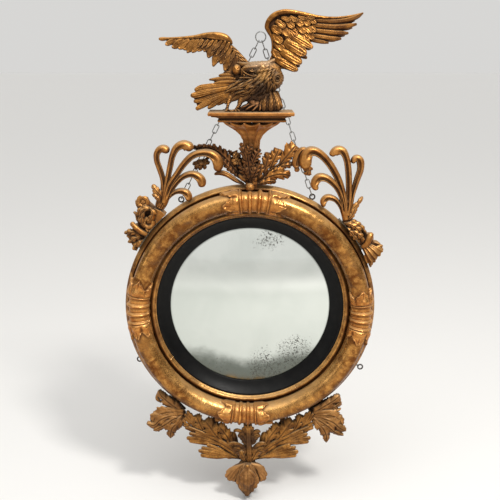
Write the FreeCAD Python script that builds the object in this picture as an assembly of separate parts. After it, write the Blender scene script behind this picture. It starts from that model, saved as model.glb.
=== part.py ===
import FreeCAD, Part
import math
import os

# Girandole mirror, carved and gilded wood, hung on a chain.
# Frame: millimetres, +X right, +Z up, +Y towards the wall.
# Origin: ring axis on the back plane (the face that lies on the wall).

V = FreeCAD.Vector
os.makedirs("parts", exist_ok=True)

# ---- driving dimensions ------------------------------------------------
R_LIP = 306.0          # outer lip of the front ring
R_BACK = 302.0         # outer radius of the back ring
R_REBATE = 232.0       # rebate that takes the backboard
R_WELL = 206.0         # well that takes the glass
T_BOARD = 8.0          # backboard thickness
Y_BACKRING = -22.0     # front face of the back ring
Y_FRONT = -36.0        # front face of the flat front ring
R_TORUS = 271.6        # centre line of the fat moulding
W_TORUS = 25.0         # its half width
H_TORUS = 22.0         # its rise in front of its widest line
Y_TORUS = -59.0        # depth of its widest line
R_SIGHT = 229.3        # inner edge of the gilt sight bead
R_BEAD = 243.0         # outer edge of the sight bead
Y_BEAD = -48.0         # top of the sight bead
R_SLIP = 197.5         # sight edge of the black slip
R_GLASS = 203.0        # glass disc
T_GLASS = 4.0
SAG_GLASS = 21.0       # rise of the convex glass
Y_GLASS = -15.2        # front of the glass at its rim
BEAD_JOINTS = (150.6, 209.4, 236.9, 297.5)   # degrees clockwise from the top
N_BACK_SEG = 8
STRIP_T = 3.0          # iron strip under each crest base
EYE_R, EYE_WIRE, EYE_BORE = 5.9, 1.9, 4.3
LINK_WIRE = 1.2        # radius of the chain wire
LINK_W = 4.8           # half width of a link, wire centre
LINK_GAP = 0.35
RING_R, RING_WIRE, RING_BORE = 11.5, 1.5, 10.3
CHAIN_Y_EYE = -12.0
CHAIN_Y_NAIL = -20.0
Y_CHAIN_CLEAR = -24.0  # nothing in the crest comes behind this plane
PLATE_FRONT = -124.0
EAGLE_Y = -72.0

# ---- sight line of the reference view ----------------------------------
VIEW_F = 813.0
VIEW_D = 2000.0
VIEW_TH = math.radians(17.76)
VIEW_C = (250.3, 250.0)
VIEW_P = VIEW_TH - math.atan((308.37 - 250.0) / VIEW_F)


def at(u, v, y):
    """x and z of the point at depth y on the sight line u, v."""
    a = (u - VIEW_C[0]) / VIEW_F
    b = (VIEW_C[1] - v) / VIEW_F
    cy, cz = -VIEW_D * math.cos(VIEW_TH) - 38.0, VIEW_D * math.sin(VIEW_TH)
    dy = math.cos(VIEW_P) + b * math.sin(VIEW_P)
    dz = -math.sin(VIEW_P) + b * math.cos(VIEW_P)
    t = (y - cy) / dy
    return (a * t, cz + dz * t)


def view(ox, oy, s, pts):
    return [(ox + p[0] / s, oy + p[1] / s) + tuple(w / s for w in p[2:]) for p in pts]


# ---- helpers ------------------------------------------------------------
def poly_face(pts):
    w = Part.makePolygon([V(*p) for p in pts] + [V(*pts[0])])
    return Part.Face(w)


def board(outline, y0, y1, ymid=None, lean=0.0, z0=0.0):
    """Sawn outline seen from the front, from depth y0 to depth y1."""
    ym = (y0 + y1) / 2 if ymid is None else ymid
    pts = []
    for u, v in outline:
        x, z = at(u, v, ym)
        if lean:
            x, z = at(u, v, ym + lean * (z - z0))
        pts.append((x, y0 + lean * (z - z0), z))
    return poly_face(pts).extrude(V(0, y1 - y0, 0))


def hull2(pts):
    """Convex outline round a set of plane points."""
    pts = sorted(set((round(a, 4), round(b, 4)) for a, b in pts))

    def half(seq):
        out = []
        for q in seq:
            while len(out) > 1 and ((out[-1][0] - out[-2][0]) * (q[1] - out[-2][1])
                                    - (out[-1][1] - out[-2][1]) * (q[0] - out[-2][0])) <= 0:
                out.pop()
            out.append(q)
        return out
    a, b = half(pts), half(pts[::-1])
    return a[:-1] + b[:-1]


def turned(profile):
    """Profile of (R, y) pairs turned about the ring axis (Y)."""
    return section(profile).revolve(V(0, 0, 0), V(0, 1, 0), 360)


def arc_of(face, a0, a1):
    """Turns a section from clockwise angle a0 to a1, both from the top."""
    f = face.copy()
    f.rotate(V(0, 0, 0), V(0, 1, 0), a0 - 90.0)
    return f.revolve(V(0, 0, 0), V(0, 1, 0), a1 - a0)


def section(profile):
    edges = []
    n = len(profile)
    pts = list(profile)
    k = 0
    while k < n:
        p = pts[k]
        q = pts[(k + 1) % n]
        if len(q) == 3 and q[2] == "m":
            r = pts[(k + 2) % n]
            e = Part.Arc(V(p[0], p[1], 0), V(q[0], q[1], 0), V(r[0], r[1], 0)).toShape()
            k += 2
        else:
            e = Part.makeLine(V(p[0], p[1], 0), V(q[0], q[1], 0))
            k += 1
        edges.append(e)
    return Part.Face(Part.Wire(edges))


def wedge(a0, a1, r=420.0):
    """Sector between two clockwise angles from the top, to cut rings with."""
    pts = [V(0, -200, 0)]
    n = max(2, int((a1 - a0) / 20) + 1)
    for i in range(n + 1):
        a = math.radians(a0 + (a1 - a0) * i / n)
        k = r / math.cos(math.radians((a1 - a0) / n / 2))
        pts.append(V(k * math.sin(a), -200, k * math.cos(a)))
    f = Part.Face(Part.makePolygon(pts + [pts[0]]))
    return f.extrude(V(0, 300, 0))


def blob(pts):
    """Row of balls joined by tangent cones; points are (x, y, z, r)."""
    out = None
    for i, (x, y, z, r) in enumerate(pts):
        s = Part.makeSphere(r, V(x, y, z))
        out = s if out is None else out.fuse(s)
        if i:
            x0, y0, z0, r0 = pts[i - 1]
            a, b = V(x0, y0, z0), V(x, y, z)
            d = b - a
            L = d.Length
            if L > abs(r - r0) + 0.05:
                sn = (r0 - r) / L
                cs = math.sqrt(1 - sn * sn)
                u = V(d.x / L, d.y / L, d.z / L)
                p0 = a + u * (r0 * sn)
                L2 = L + (r - r0) * sn
                ra, rb = r0 * cs * 0.965, r * cs * 0.965
                if abs(ra - rb) < 1e-4:
                    c = Part.makeCylinder(ra, L2, p0, u)
                else:
                    c = Part.makeCone(ra, rb, L2, p0, u)
                out = out.fuse(c)
    return out.removeSplitter()


def smooth(pts, n=5):
    out = []
    m = len(pts)
    for i in range(m - 1):
        p0, p1, p2, p3 = pts[max(i - 1, 0)], pts[i], pts[i + 1], pts[min(i + 2, m - 1)]
        for k in range(n):
            t = k / n
            out.append(tuple(0.5 * (2 * b + (c - a) * t + (2 * a - 5 * b + 4 * c - d) * t * t
                                    + (3 * b - a - 3 * c + d) * t ** 3)
                             for a, b, c, d in zip(p0, p1, p2, p3)))
    out.append(pts[-1])
    return out


def band(pts, y0, y1, n=2):
    """A carved plume: a tapering band along a centre line of (u, v, half width)."""
    ym = (y0 + y1) / 2
    rounds = []
    for k, (u, v, w) in enumerate(smooth(pts, n)):
        x, z = at(u, v, ym)
        r = max(at(u + w, v, ym)[0] - x, 1.0)
        rounds.append([(x + r * math.cos(math.radians(30 * i + 7 * k)), z + r * math.sin(math.radians(30 * i + 7 * k))) for i in range(12)])
    faces = []
    for a, b in zip(rounds, rounds[1:]):
        faces.append(poly_face([(x, y0, z) for x, z in hull2(a + b)]))
    f = faces[0].fuse(faces[1:]).removeSplitter()
    out = None
    for q in f.Faces:
        e = q.extrude(V(0, y1 - y0, 0))
        out = e if out is None else out.fuse(e)
    return out


NODES = {}
ORDER = []


def clean(shape, keep):
    sol = [s for s in shape.Solids if abs(s.Volume) > keep]
    return sol


def add(name, shapes, keep=40.0, against=None, refine=True):
    """Fits the new piece against every piece placed before it."""
    if not isinstance(shapes, (list, tuple)):
        shapes = [shapes]
    done = []
    for sh in shapes:
        for other in (ORDER if against is None else against):
            for o in NODES[other]:
                if sh.BoundBox.intersect(o.BoundBox):
                    sh = sh.cut(o)
        if refine:
            sh = sh.removeSplitter()
        done += clean(sh, keep)
    NODES[name] = done
    ORDER.append(name)
    return done


# ---- ring ---------------------------------------------------------------
BACK = section([(R_REBATE, 0), (R_BACK, 0), (R_BACK, Y_BACKRING), (R_WELL, Y_BACKRING),
               (R_WELL, -T_BOARD), (R_REBATE, -T_BOARD)])
back_segments = [arc_of(BACK, i * 45.0 + 10.0, (i + 1) * 45.0 + 10.0) for i in range(N_BACK_SEG)]

FRONT = section([(R_SIGHT, Y_BACKRING), (R_LIP, Y_BACKRING), (R_LIP, -30.5),
                (304.4, -34.4, "m"), (300.5, Y_FRONT), (297.8, Y_FRONT),
                (296.4, -33.0, "m"), (293.2, -32.0), (247.0, -32.0),
                (245.4, -33.2, "m"), (244.6, Y_FRONT), (R_SIGHT, Y_FRONT)])
front = FRONT.revolve(V(0, 0, 0), V(0, 1, 0), 360)

TORUS = section([(251.0, -32.0), (292.6, -32.0), (292.6, -45.0),
                (R_TORUS + W_TORUS - 1.1, -51.0, "m"), (R_TORUS + W_TORUS, Y_TORUS),
                (R_TORUS + 17.6, Y_TORUS - 15.6, "m"), (R_TORUS, Y_TORUS - H_TORUS),
                (R_TORUS - 17.6, Y_TORUS - 15.6, "m"), (R_TORUS - W_TORUS, Y_TORUS),
                (R_TORUS - W_TORUS + 1.1, -51.0, "m"), (251.0, -45.0)])

BEAD = section([(R_SIGHT, Y_FRONT), (R_BEAD, Y_FRONT), (R_BEAD, -42.5), (241.6, -43.2),
               (236.6, Y_BEAD, "m"), (231.6, -42.6), (R_SIGHT, -41.2)])

slip = turned([(R_WELL, Y_BACKRING), (R_SIGHT, Y_BACKRING), (R_SIGHT, -38.0), (226.0, -38.0),
               (208.5, -24.6, "m"), (R_SLIP, -19.2), (R_SLIP, Y_GLASS), (R_WELL, Y_GLASS)])

# convex glass: front and back are two equal spherical faces
rho = (R_GLASS ** 2 + SAG_GLASS ** 2) / (2 * SAG_GLASS)
cy = Y_GLASS - SAG_GLASS + rho


def sphere_y(r, shift):
    return cy - math.sqrt(rho * rho - r * r) + shift


slot = Part.Face(Part.Wire([
    Part.Arc(V(0, sphere_y(0, 0), 0), V(110, sphere_y(110, 0), 0), V(R_GLASS, sphere_y(R_GLASS, 0), 0)).toShape(),
    Part.makeLine(V(R_GLASS, sphere_y(R_GLASS, 0), 0), V(R_GLASS, sphere_y(R_GLASS, T_GLASS), 0)),
    Part.Arc(V(R_GLASS, sphere_y(R_GLASS, T_GLASS), 0), V(110, sphere_y(110, T_GLASS), 0), V(0, sphere_y(0, T_GLASS), 0)).toShape(),
    Part.makeLine(V(0, sphere_y(0, T_GLASS), 0), V(0, sphere_y(0, 0), 0))]))
glass = slot.revolve(V(0, 0, 0), V(0, 1, 0), 360)

# backboard of three planks
cuts = (-R_REBATE, -70.0, 66.0, R_REBATE)


def plank(z0, z1):
    if z1 == R_REBATE:
        a0, a1 = math.asin(z0 / R_REBATE), math.pi / 2
    elif z0 == -R_REBATE:
        a0, a1 = -math.pi / 2, math.asin(z1 / R_REBATE)
    else:
        a0, a1 = math.asin(z0 / R_REBATE), math.asin(z1 / R_REBATE)
    P = lambda a, s: V(s * R_REBATE * math.cos(a), 0, R_REBATE * math.sin(a))
    am = (a0 + a1) / 2
    if z1 == R_REBATE:
        w = [Part.Arc(P(a0, 1), V(0, 0, R_REBATE), P(a0, -1)).toShape(), Part.makeLine(P(a0, -1), P(a0, 1))]
    elif z0 == -R_REBATE:
        w = [Part.Arc(P(a1, 1), V(0, 0, -R_REBATE), P(a1, -1)).toShape(), Part.makeLine(P(a1, -1), P(a1, 1))]
    else:
        w = [Part.Arc(P(a0, 1), P(am, 1), P(a1, 1)).toShape(), Part.makeLine(P(a1, 1), P(a1, -1)),
             Part.Arc(P(a1, -1), P(am, -1), P(a0, -1)).toShape(), Part.makeLine(P(a0, -1), P(a0, 1))]
    return Part.Face(Part.Wire(w)).extrude(V(0, -T_BOARD, 0))


planks = [plank(cuts[i], cuts[i + 1]) for i in range(3)]


def wood_screw(p, d, length, r=2.0, head=4.2):
    """Countersunk screw: p is the centre of the head's top, d points in."""
    s = Part.makeCylinder(r, length, p, d)
    h = Part.makeCone(head, r, 3.0, p, d)
    tip = Part.makeCone(r, 0.3, 4.0, p + d * length, d)
    s = s.fuse(h).fuse(tip).removeSplitter()
    return s


board_screws = []
for k in range(8):
    a = math.radians(22.5 + 45 * k)
    board_screws.append(wood_screw(V(219 * math.sin(a), 0, 219 * math.cos(a)), V(0, -1, 0), 13.5))

NODES["backboard_screws"] = board_screws
ORDER.append("backboard_screws")


# blocks that press the glass rim forward
blocks = []
for k in range(8):
    a = 22.5 + 45 * k
    t = 14.0 / R_WELL
    o = [V(R_WELL * math.sin(q), 0, R_WELL * math.cos(q)) for q in (-t, 0, t)]
    lo_ = R_WELL * math.cos(t) - 11.0
    w = Part.Wire([Part.Arc(o[0], o[1], o[2]).toShape(), Part.makeLine(o[2], V(o[2].x, 0, lo_)),
                   Part.makeLine(V(o[2].x, 0, lo_), V(o[0].x, 0, lo_)), Part.makeLine(V(o[0].x, 0, lo_), o[0])])
    b = Part.Face(w).extrude(V(0, Y_GLASS + T_BOARD, 0))
    b.translate(V(0, -T_BOARD, 0))
    b.rotate(V(0, 0, 0), V(0, 1, 0), a)
    blocks.append(b)

add("mirror_glass", glass)
add("ebonised_slip", slip)
add("back_ring_segments", back_segments)
add("front_ring", front)
torus_quarters = [arc_of(TORUS, a, a + 90.0) for a in (1.6, 91.6, 181.6, 271.6)]
add("torus_quarters", torus_quarters)
js = BEAD_JOINTS
bead_parts = [arc_of(BEAD, a, b) for a, b in ((js[0], js[1]), (js[1], js[2]), (js[2], js[3]), (js[3], 404.0), (44.0, js[0]))]
add("sight_bead_segments", bead_parts)
add("backboard_planks", planks)
gblocks = []
for b in blocks:
    b = b.cut(glass)
    gblocks.append(max(b.Solids, key=lambda q: q.Volume))
add("glass_blocks", gblocks, against=["ebonised_slip"])

# ---- iron strips under the crest bases ----------------------------------
strip_ring = turned([(R_LIP, -31.0), (R_LIP + STRIP_T, -31.0), (R_LIP + STRIP_T, -8.0), (R_BACK, -8.0), (R_BACK, Y_BACKRING), (R_LIP, Y_BACKRING)])
strip_l = strip_ring.common(wedge(299.5, 316.0))
strip_r = strip_ring.common(wedge(44.5, 61.5))
strip_screws = []
for a in (303.5, 312.0, 48.5, 57.5):
    t = math.radians(a)
    d = V(-math.sin(t), 0, -math.cos(t))
    for yy in (-15.0,):
        strip_screws.append(wood_screw(V(0, yy, 0) - d * (R_LIP + STRIP_T), d, 22.0))
add("strip_screws", strip_screws, against=["back_ring_segments"])
# the screws bed in the ring: their holes are cut from the ring segments
for nm in ("back_ring_segments", "backboard_planks"):
    outs = []
    for s in NODES[nm]:
        for sc in NODES["strip_screws"] + NODES["backboard_screws"]:
            if s.BoundBox.intersect(sc.BoundBox):
                s = s.cut(sc)
        outs += s.Solids
    NODES[nm] = outs

# ---- screw eyes ----------------------------------------------------------
EYES = {"ur": (312.4, 197.0), "ul": (181.6, 199.4), "ll": (140.1, 359.0), "lr": (360.4, 366.7)}


def screw_eye(u, v):
    """Ring in the XZ plane with a cylindrical inner wall, shank into the rim."""
    x, z = at(u, v, CHAIN_Y_EYE)
    R = math.hypot(x, z)
    R = max(R, R_BACK + EYE_R + EYE_WIRE + 1.5)
    n = math.hypot(x, z)
    x, z = x / n * R, z / n * R
    c = V(x, CHAIN_Y_EYE, z)
    ring = Part.makeTorus(EYE_R, EYE_WIRE, c, V(0, 1, 0))
    ring = ring.cut(Part.makeCylinder(EYE_BORE, 20, c - V(0, 10, 0), V(0, 1, 0)))
    d = V(-x / R, 0, -z / R)
    shank = Part.makeCylinder(1.9, R - 280.0 - EYE_R, c + d * EYE_R, d)
    shank = shank.cut(Part.makeCylinder(EYE_R, 20, c - V(0, 10, 0), V(0, 1, 0)))
    return ring.fuse(shank).removeSplitter(), c


eyes = {k: screw_eye(*p) for k, p in EYES.items()}
add("screw_eyes_chain", [eyes["ul"][0], eyes["ur"][0]], against=[])
add("screw_eyes_steady", [eyes["ll"][0], eyes["lr"][0]], against=[])
outs = []
for s in NODES["back_ring_segments"]:
    for k in eyes:
        if s.BoundBox.intersect(eyes[k][0].BoundBox):
            s = s.cut(eyes[k][0])
    outs += s.Solids
NODES["back_ring_segments"] = outs

# ---- clasps on the torus -------------------------------------------------


def clasp_section(rise):
    w, h = W_TORUS + rise * 0.55, H_TORUS + rise
    return section([(R_TORUS - w, -41.0), (R_TORUS + w, -41.0), (R_TORUS + w, Y_TORUS),
                    (R_TORUS + w * 0.70, Y_TORUS - h * 0.71, "m"), (R_TORUS, Y_TORUS - h),
                    (R_TORUS - w * 0.70, Y_TORUS - h * 0.71, "m"), (R_TORUS - w, Y_TORUS)]).cut(TORUS).cut(BEAD)


def clasp(mid, spans):
    """Bands wrapped round the torus: (start angle, end angle, rise)."""
    out = None
    for a0, a1, rise in spans:
        for f in clasp_section(rise).Faces:
            b = arc_of(f, mid + a0, mid + a1)
            out = b if out is None else out.fuse(b)
    return out


def deg(mm):
    return math.degrees(mm / R_TORUS)


def clasp_spans(total, ribs=3):
    """Leaf collar, then fillets and fat ribs in turn, then leaf collar."""
    h = total / 2
    core = total * 0.26
    step = 2 * core / ribs
    sp = [(-h, -core, 3.2)]
    for i in range(ribs):
        a = -core + step * i
        sp += [(a, a + step * 0.14, 2.0), (a + step * 0.14, a + step * 0.86, 6.0), (a + step * 0.86, a + step, 2.0)]
    sp.append((core, h, 3.2))
    return sp


# centre angle clockwise from the top, and length in degrees
CLASPS = {"clasp_top": (2.3, 33.0), "clasp_right": (92.6, 29.5), "clasp_bottom": (183.2, 29.0), "clasp_left": (271.4, 32.0)}
for nm, (mid, total) in CLASPS.items():
    add(nm, clasp(mid, clasp_spans(total)), against=[])

# ---- plinth ---------------------------------------------------------------
x_pl, z_pl = at(251.4, 116.4, PLATE_FRONT)
x_l, z_top = at(207.6, 112.6, PLATE_FRONT)
x_r, _ = at(295.2, 112.6, PLATE_FRONT)
xu_l, z_um = at(217.5, 122.6, PLATE_FRONT + 14)
xu_r, _ = at(287.0, 122.6, PLATE_FRONT + 14)
print("plate x", round(x_l, 1), round(x_r, 1), "z", round(z_pl, 1), round(z_top, 1), "under", round(xu_l, 1), round(xu_r, 1), round(z_um, 1))
plate = Part.makeBox(x_r - x_l, Y_CHAIN_CLEAR - PLATE_FRONT, z_top - z_pl, V(x_l, PLATE_FRONT, z_pl))
plate = plate.makeFillet(2.0, [e for e in plate.Edges if e.BoundBox.YMax < PLATE_FRONT + 1 and e.BoundBox.XLength > 50])


def cove_tray(xa, xb, yf, xa2, xb2, yf2, z0, z1):
    """Cove under the slab: narrows downwards on three sides, back left flat."""
    secs = []
    n = 5
    for i in range(n + 1):
        t = i / n
        k = 1 - math.cos(t * math.pi / 2)
        k = math.sin(t * math.pi / 2)
        a, b, f = xa + (xa2 - xa) * k, xb + (xb2 - xb) * k, yf + (yf2 - yf) * k
        z = z0 + (z1 - z0) * t * (0.55 + 0.45 * t)
        secs.append(Part.makePolygon([V(a, f, z), V(b, f, z), V(b, Y_CHAIN_CLEAR, z), V(a, Y_CHAIN_CLEAR, z), V(a, f, z)]))
    return Part.makeLoft(secs, True, True)


z_cb = z_um + 5.5
cove = cove_tray(x_l + 7, x_r - 7, PLATE_FRONT + 6, xu_l + 4, xu_r - 4, PLATE_FRONT + 19, z_pl, z_cb)
fillet = Part.makeBox(xu_r - xu_l, Y_CHAIN_CLEAR - PLATE_FRONT - 14, z_cb - z_um, V(xu_l, PLATE_FRONT + 14, z_um))
AX_Y = -44.0
neck = at(252.1, 141.0, AX_Y - 20)
neck2 = at(251.7, 148.0, AX_Y - 19)
top_c = at(253.3, 124.0, AX_Y - 60)
x_ax = (neck[0] + neck2[0]) / 2
R_TOP = 66.0
prof = [(R_TOP, z_um)]
rows = [(124.0, 70.0), (126.5, 62.0), (129.0, 50.0), (132.0, 38.0), (136.0, 27.0), (141.0, 20.5), (148.0, 19.0), (160.0, 16.0), (176.0, 13.0)]
tp = []
for vv, rad in rows:
    z = at(252.0, vv, AX_Y - rad)[1]
    tp.append((rad, min(z, z_um - 0.0)))
tp[0] = (tp[0][0], z_um)
z_foot = 306.5
pts = [V(0, 0, z_um)] + [V(r, 0, z) for r, z in tp if z > z_foot + 4] + [V(12, 0, z_foot), V(0, 0, z_foot)]
trumpet = Part.Face(Part.makePolygon(pts + [pts[0]])).revolve(V(0, 0, 0), V(0, 0, 1), 360)
# eight concave flutes
for k in range(16):
    a = math.radians(k * 22.5 + 0.0)
    d = V(math.sin(a), -math.cos(a), 0)
    p0 = d * 22.6 + V(0, 0, z_foot + 20)
    p1 = d * 27.5 + V(0, 0, tp[4][1] + 2)
    trumpet = trumpet.cut(Part.makeCone(3.2, 4.6, (p1 - p0).Length, p0, p1 - p0))
trumpet.translate(V(x_ax, AX_Y, 0))
trumpet = trumpet.common(Part.makeBox(400, 200, 600, V(-200, -200 + Y_CHAIN_CLEAR, 100)))
foot = Part.makeBox(26, 30, 46, V(x_ax - 13, AX_Y, 298.0))
trumpet = trumpet.fuse(foot).removeSplitter()
tenon = Part.makeBox(16, 10, 62, V(x_ax - 8, -31.5, 268.0))
NODES["plinth_tenon"] = [tenon]
ORDER.append("plinth_tenon")
for nm in ("back_ring_segments", "front_ring"):
    outs = []
    for s in NODES[nm]:
        if s.BoundBox.intersect(tenon.BoundBox):
            s = s.cut(tenon)
        outs += clean(s, 40)
    NODES[nm] = outs
add("plinth_slab", plate)
add("plinth_moulding", cove.fuse(fillet))
add("plinth_trumpet", trumpet, against=["plinth_tenon", "back_ring_segments", "front_ring", "plinth_slab", "plinth_moulding", "torus_quarters", "clasp_top"])

# ---- eagle ------------------------------------------------------------------


def P3(u, v, y, r_px):
    x, z = at(u, v, y)
    x2, _ = at(u + r_px, v, y)
    return (x, y, z, x2 - x)


EY = EAGLE_Y
body = blob([P3(226.0, 88.0, EY + 4, 6.5), P3(240.0, 87.5, EY, 10.0), P3(256.0, 84.5, EY, 13.2),
             P3(270.0, 78.5, EY + 2, 13.0)])
head = blob([P3(270.0, 70.0, EY + 2, 10.5), P3(258.5, 67.5, EY - 10, 9.0), P3(250.0, 69.5, EY - 16, 6.4), P3(244.5, 74.0, EY - 20, 3.0),
             P3(244.0, 78.0, EY - 20, 1.3)])
body = body.fuse(head).removeSplitter()
trouser = blob([P3(266.0, 88.0, EY - 6, 8.5), P3(270.5, 99.0, EY - 10, 8.6), P3(272.5, 108.0, EY - 12, 8.8)])
thin = blob([P3(243.0, 96.0, EY - 8, 4.6), P3(239.0, 103.0, EY - 10, 2.6), P3(237.5, 110.0, EY - 12, 2.8)])
rock = blob([P3(246.0, 110.0, EY - 6, 5.2), P3(256.0, 107.0, EY - 4, 8.0), P3(262.0, 108.0, EY - 4, 7.0)])
above = Part.makeBox(400, 300, 400, V(-200, -250, z_top))
trouser, thin, rock = [s.common(above) for s in (trouser, thin, rock)]

W4 = lambda pts: view(250, 5, 13.07, pts)
W3 = lambda pts: view(155, 5, 14.93, pts)
W5 = lambda pts: view(185, 60, 13.63, pts)
wing_r = W4([(200, 275), (240, 190), (310, 120), (400, 80), (500, 65), (600, 72), (720, 95), (860, 130), (1000, 150),
             (1150, 150), (1300, 132), (1400, 115), (1482, 95), (1480, 125), (1440, 165), (1375, 210), (1395, 255), (1350, 290),
             (1270, 325), (1285, 365), (1240, 395), (1195, 440), (1130, 465), (1040, 478), (1030, 495), (940, 505),
             (800, 505), (812, 565), (715, 580), (725, 650), (655, 680), (663, 745), (610, 785), (625, 850), (520, 860),
             (400, 850), (300, 850), (230, 760), (280, 640), (300, 560), (298, 440), (265, 355)])
wing_l = W3([(60, 495), (130, 465), (200, 480), (400, 475), (560, 440), (720, 420), (800, 405), (940, 415), (1050, 450),
             (1120, 510), (1160, 565), (1130, 610), (1210, 690), (1300, 770), (1380, 850), (1430, 960), (1410, 1080), (1230, 1090), (1030, 1010), (1030, 880), (990, 885),
             (870, 920), (885, 770), (800, 790), (745, 740), (740, 700), (640, 690), (550, 710), (480, 715), (420, 650),
             (350, 650), (240, 605), (170, 570), (155, 542), (100, 545), (70, 520)])
tail = W5([(80, 490), (130, 410), (200, 350), (290, 330), (400, 325), (335, 265), (400, 255), (490, 235), (470, 210),
           (540, 175), (640, 180), (720, 300), (700, 480), (600, 550), (545, 600), (520, 580), (320, 660), (305, 625), (215, 685), (165, 665),
           (150, 630), (125, 570), (95, 520)])
def dowel(p, q, y, r=3.2):
    a, b = at(p[0], p[1], y), at(q[0], q[1], y)
    d = V(b[0] - a[0], 0, b[1] - a[1])
    return Part.makeCylinder(r, d.Length, V(a[0], y, a[1]), d)


add("wing_dowels", [dowel((254.5, 82.5), (241.5, 68.5), -63.0), dowel((268.0, 80.0), (280.0, 63.0), -72.0)])
add("eagle_body", body)
add("eagle_wing_right", board(wing_r, EY - 12, EY + 12), keep=400)
add("eagle_wing_left", board(wing_l, EY - 2, EY + 20), keep=400)
add("eagle_tail", board(tail, EY - 8, EY + 14), keep=400)
add("eagle_leg_right", trouser, keep=400)
add("eagle_leg_left", thin, keep=100)
add("eagle_rock", rock, keep=400)
bx, by, bz, br = P3(237.0, 69.5, EY - 9, 4.4)
add("eagle_ball", blob([(bx, by, bz, br)]))

# ---- crest scrolls -----------------------------------------------------------
C21 = lambda pts: view(125, 130, 12.545, pts)
C22 = lambda pts: view(290, 130, 11.2, pts)
C20 = lambda pts: view(185, 130, 11.61, pts)
C23 = lambda pts: view(140, 385, 7.127, pts)

base_l = C21([(345, 935), (310, 900), (290, 845), (210, 840), (135, 880), (150, 940), (175, 975), (190, 1040), (110, 1020),
              (110, 1060), (150, 1110), (185, 1180), (100, 1160), (75, 1190), (100, 1240), (30, 1250), (0, 1290), (0, 1340),
              (50, 1380), (100, 1450), (170, 1500), (225, 1500), (300, 1420), (360, 1330), (420, 1240), (520, 1140),
              (560, 1080), (515, 1050), (470, 1010), (400, 975)])
base_r = C22([(560, 1075), (600, 1010), (640, 985), (700, 1000), (780, 1050), (870, 1150), (930, 1150), (950, 1190), (940, 1230),
              (1010, 1245), (1050, 1290), (1050, 1330), (1000, 1390), (960, 1430), (940, 1490), (880, 1560), (800, 1480),
              (700, 1320), (640, 1210), (580, 1130)])
add("crest_strip_left", strip_l, against=["back_ring_segments", "front_ring", "strip_screws"])
add("crest_strip_right", strip_r, against=["back_ring_segments", "front_ring", "strip_screws"])
keepout = Part.makeCylinder(R_LIP + STRIP_T, 80, V(0, -60, 0), V(0, 1, 0))
bl = board(base_l, -54.0, -12.0).cut(keepout)
brr = board(base_r, -54.0, -12.0).cut(keepout)
add("crest_base_left", bl, keep=900)
add("crest_base_right", brr, keep=900)

pl = [
    (C21([(440, 960, 42), (465, 850, 48), (490, 740, 44), (480, 620, 36), (440, 490, 38), (405, 390, 38), (400, 300, 40), (440, 240, 44), (500, 238, 50), (548, 285, 38)]), -56, -34),
    (C21([(500, 850, 40), (535, 640, 34), (572, 450, 38), (598, 330, 40), (650, 220, 46), (730, 182, 54), (800, 212, 62), (832, 280, 46)]), -62, -36),
    (C21([(500, 880, 40), (560, 700, 36), (650, 560, 38), (740, 430, 40), (840, 320, 42), (950, 282, 44), (1070, 292, 50), (1150, 360, 60), (1176, 440, 60), (1160, 515, 42)]), -64, -38),
    (C21([(500, 900, 38), (580, 760, 34), (660, 650, 34), (750, 572, 36), (850, 548, 42), (930, 590, 52), (968, 650, 56), (958, 712, 42)]), -60, -36),
    (C21([(470, 930, 38), (540, 850, 28), (620, 782, 30), (700, 762, 36), (770, 782, 46), (800, 840, 48), (790, 888, 32)]), -56, -34),
]
left = None
for ctr, y0, y1 in pl:
    b = band(ctr, y0, y1, 2)
    left = b if left is None else left.fuse(b)
left = left.fuse(board(C21([(345, 680), (370, 668), (432, 725), (500, 830), (470, 900), (380, 1000), (370, 940), (410, 860), (385, 790), (348, 735)]), -50, -30))
add("crest_plumes_left", left, keep=900)

pr = [
    (C22([(640, 1010, 38), (620, 880, 34), (606, 760, 32), (560, 590, 38), (480, 430, 40), (390, 305, 42), (300, 235, 48), (220, 240, 62), (175, 310, 70), (190, 400, 62), (200, 455, 38)]), -62, -38),
    (C22([(150, 215, 45), (95, 290, 50), (75, 375, 46), (70, 440, 26)]), -56, -38),
    (C22([(640, 960, 36), (662, 750, 32), (660, 500, 36), (640, 335, 36), (600, 238, 42), (540, 222, 50), (482, 268, 42), (488, 305, 24)]), -62, -38),
    (C22([(670, 900, 30), (704, 720, 28), (752, 560, 34), (792, 440, 38), (788, 340, 42), (745, 308, 34), (712, 345, 34), (716, 380, 20)]), -56, -34),
    (C22([(620, 960, 32), (590, 780, 30), (530, 645, 34), (430, 548, 40), (340, 525, 46), (284, 575, 44), (290, 640, 38), (330, 676, 14)]), -60, -36),
    (C22([(620, 1000, 30), (572, 860, 24), (512, 776, 30), (432, 750, 36), (382, 784, 36), (380, 836, 30), (398, 858, 14)]), -56, -34),
]
right = None
for ctr, y0, y1 in pr:
    b = band(ctr, y0, y1, 2)
    right = b if right is None else right.fuse(b)
right = right.fuse(board(C22([(690, 820), (735, 790), (802, 735), (822, 760), (785, 840), (725, 910), (710, 1010), (640, 1040), (630, 950)]), -50, -30))
add("crest_plumes_right", right, keep=900)

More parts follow.
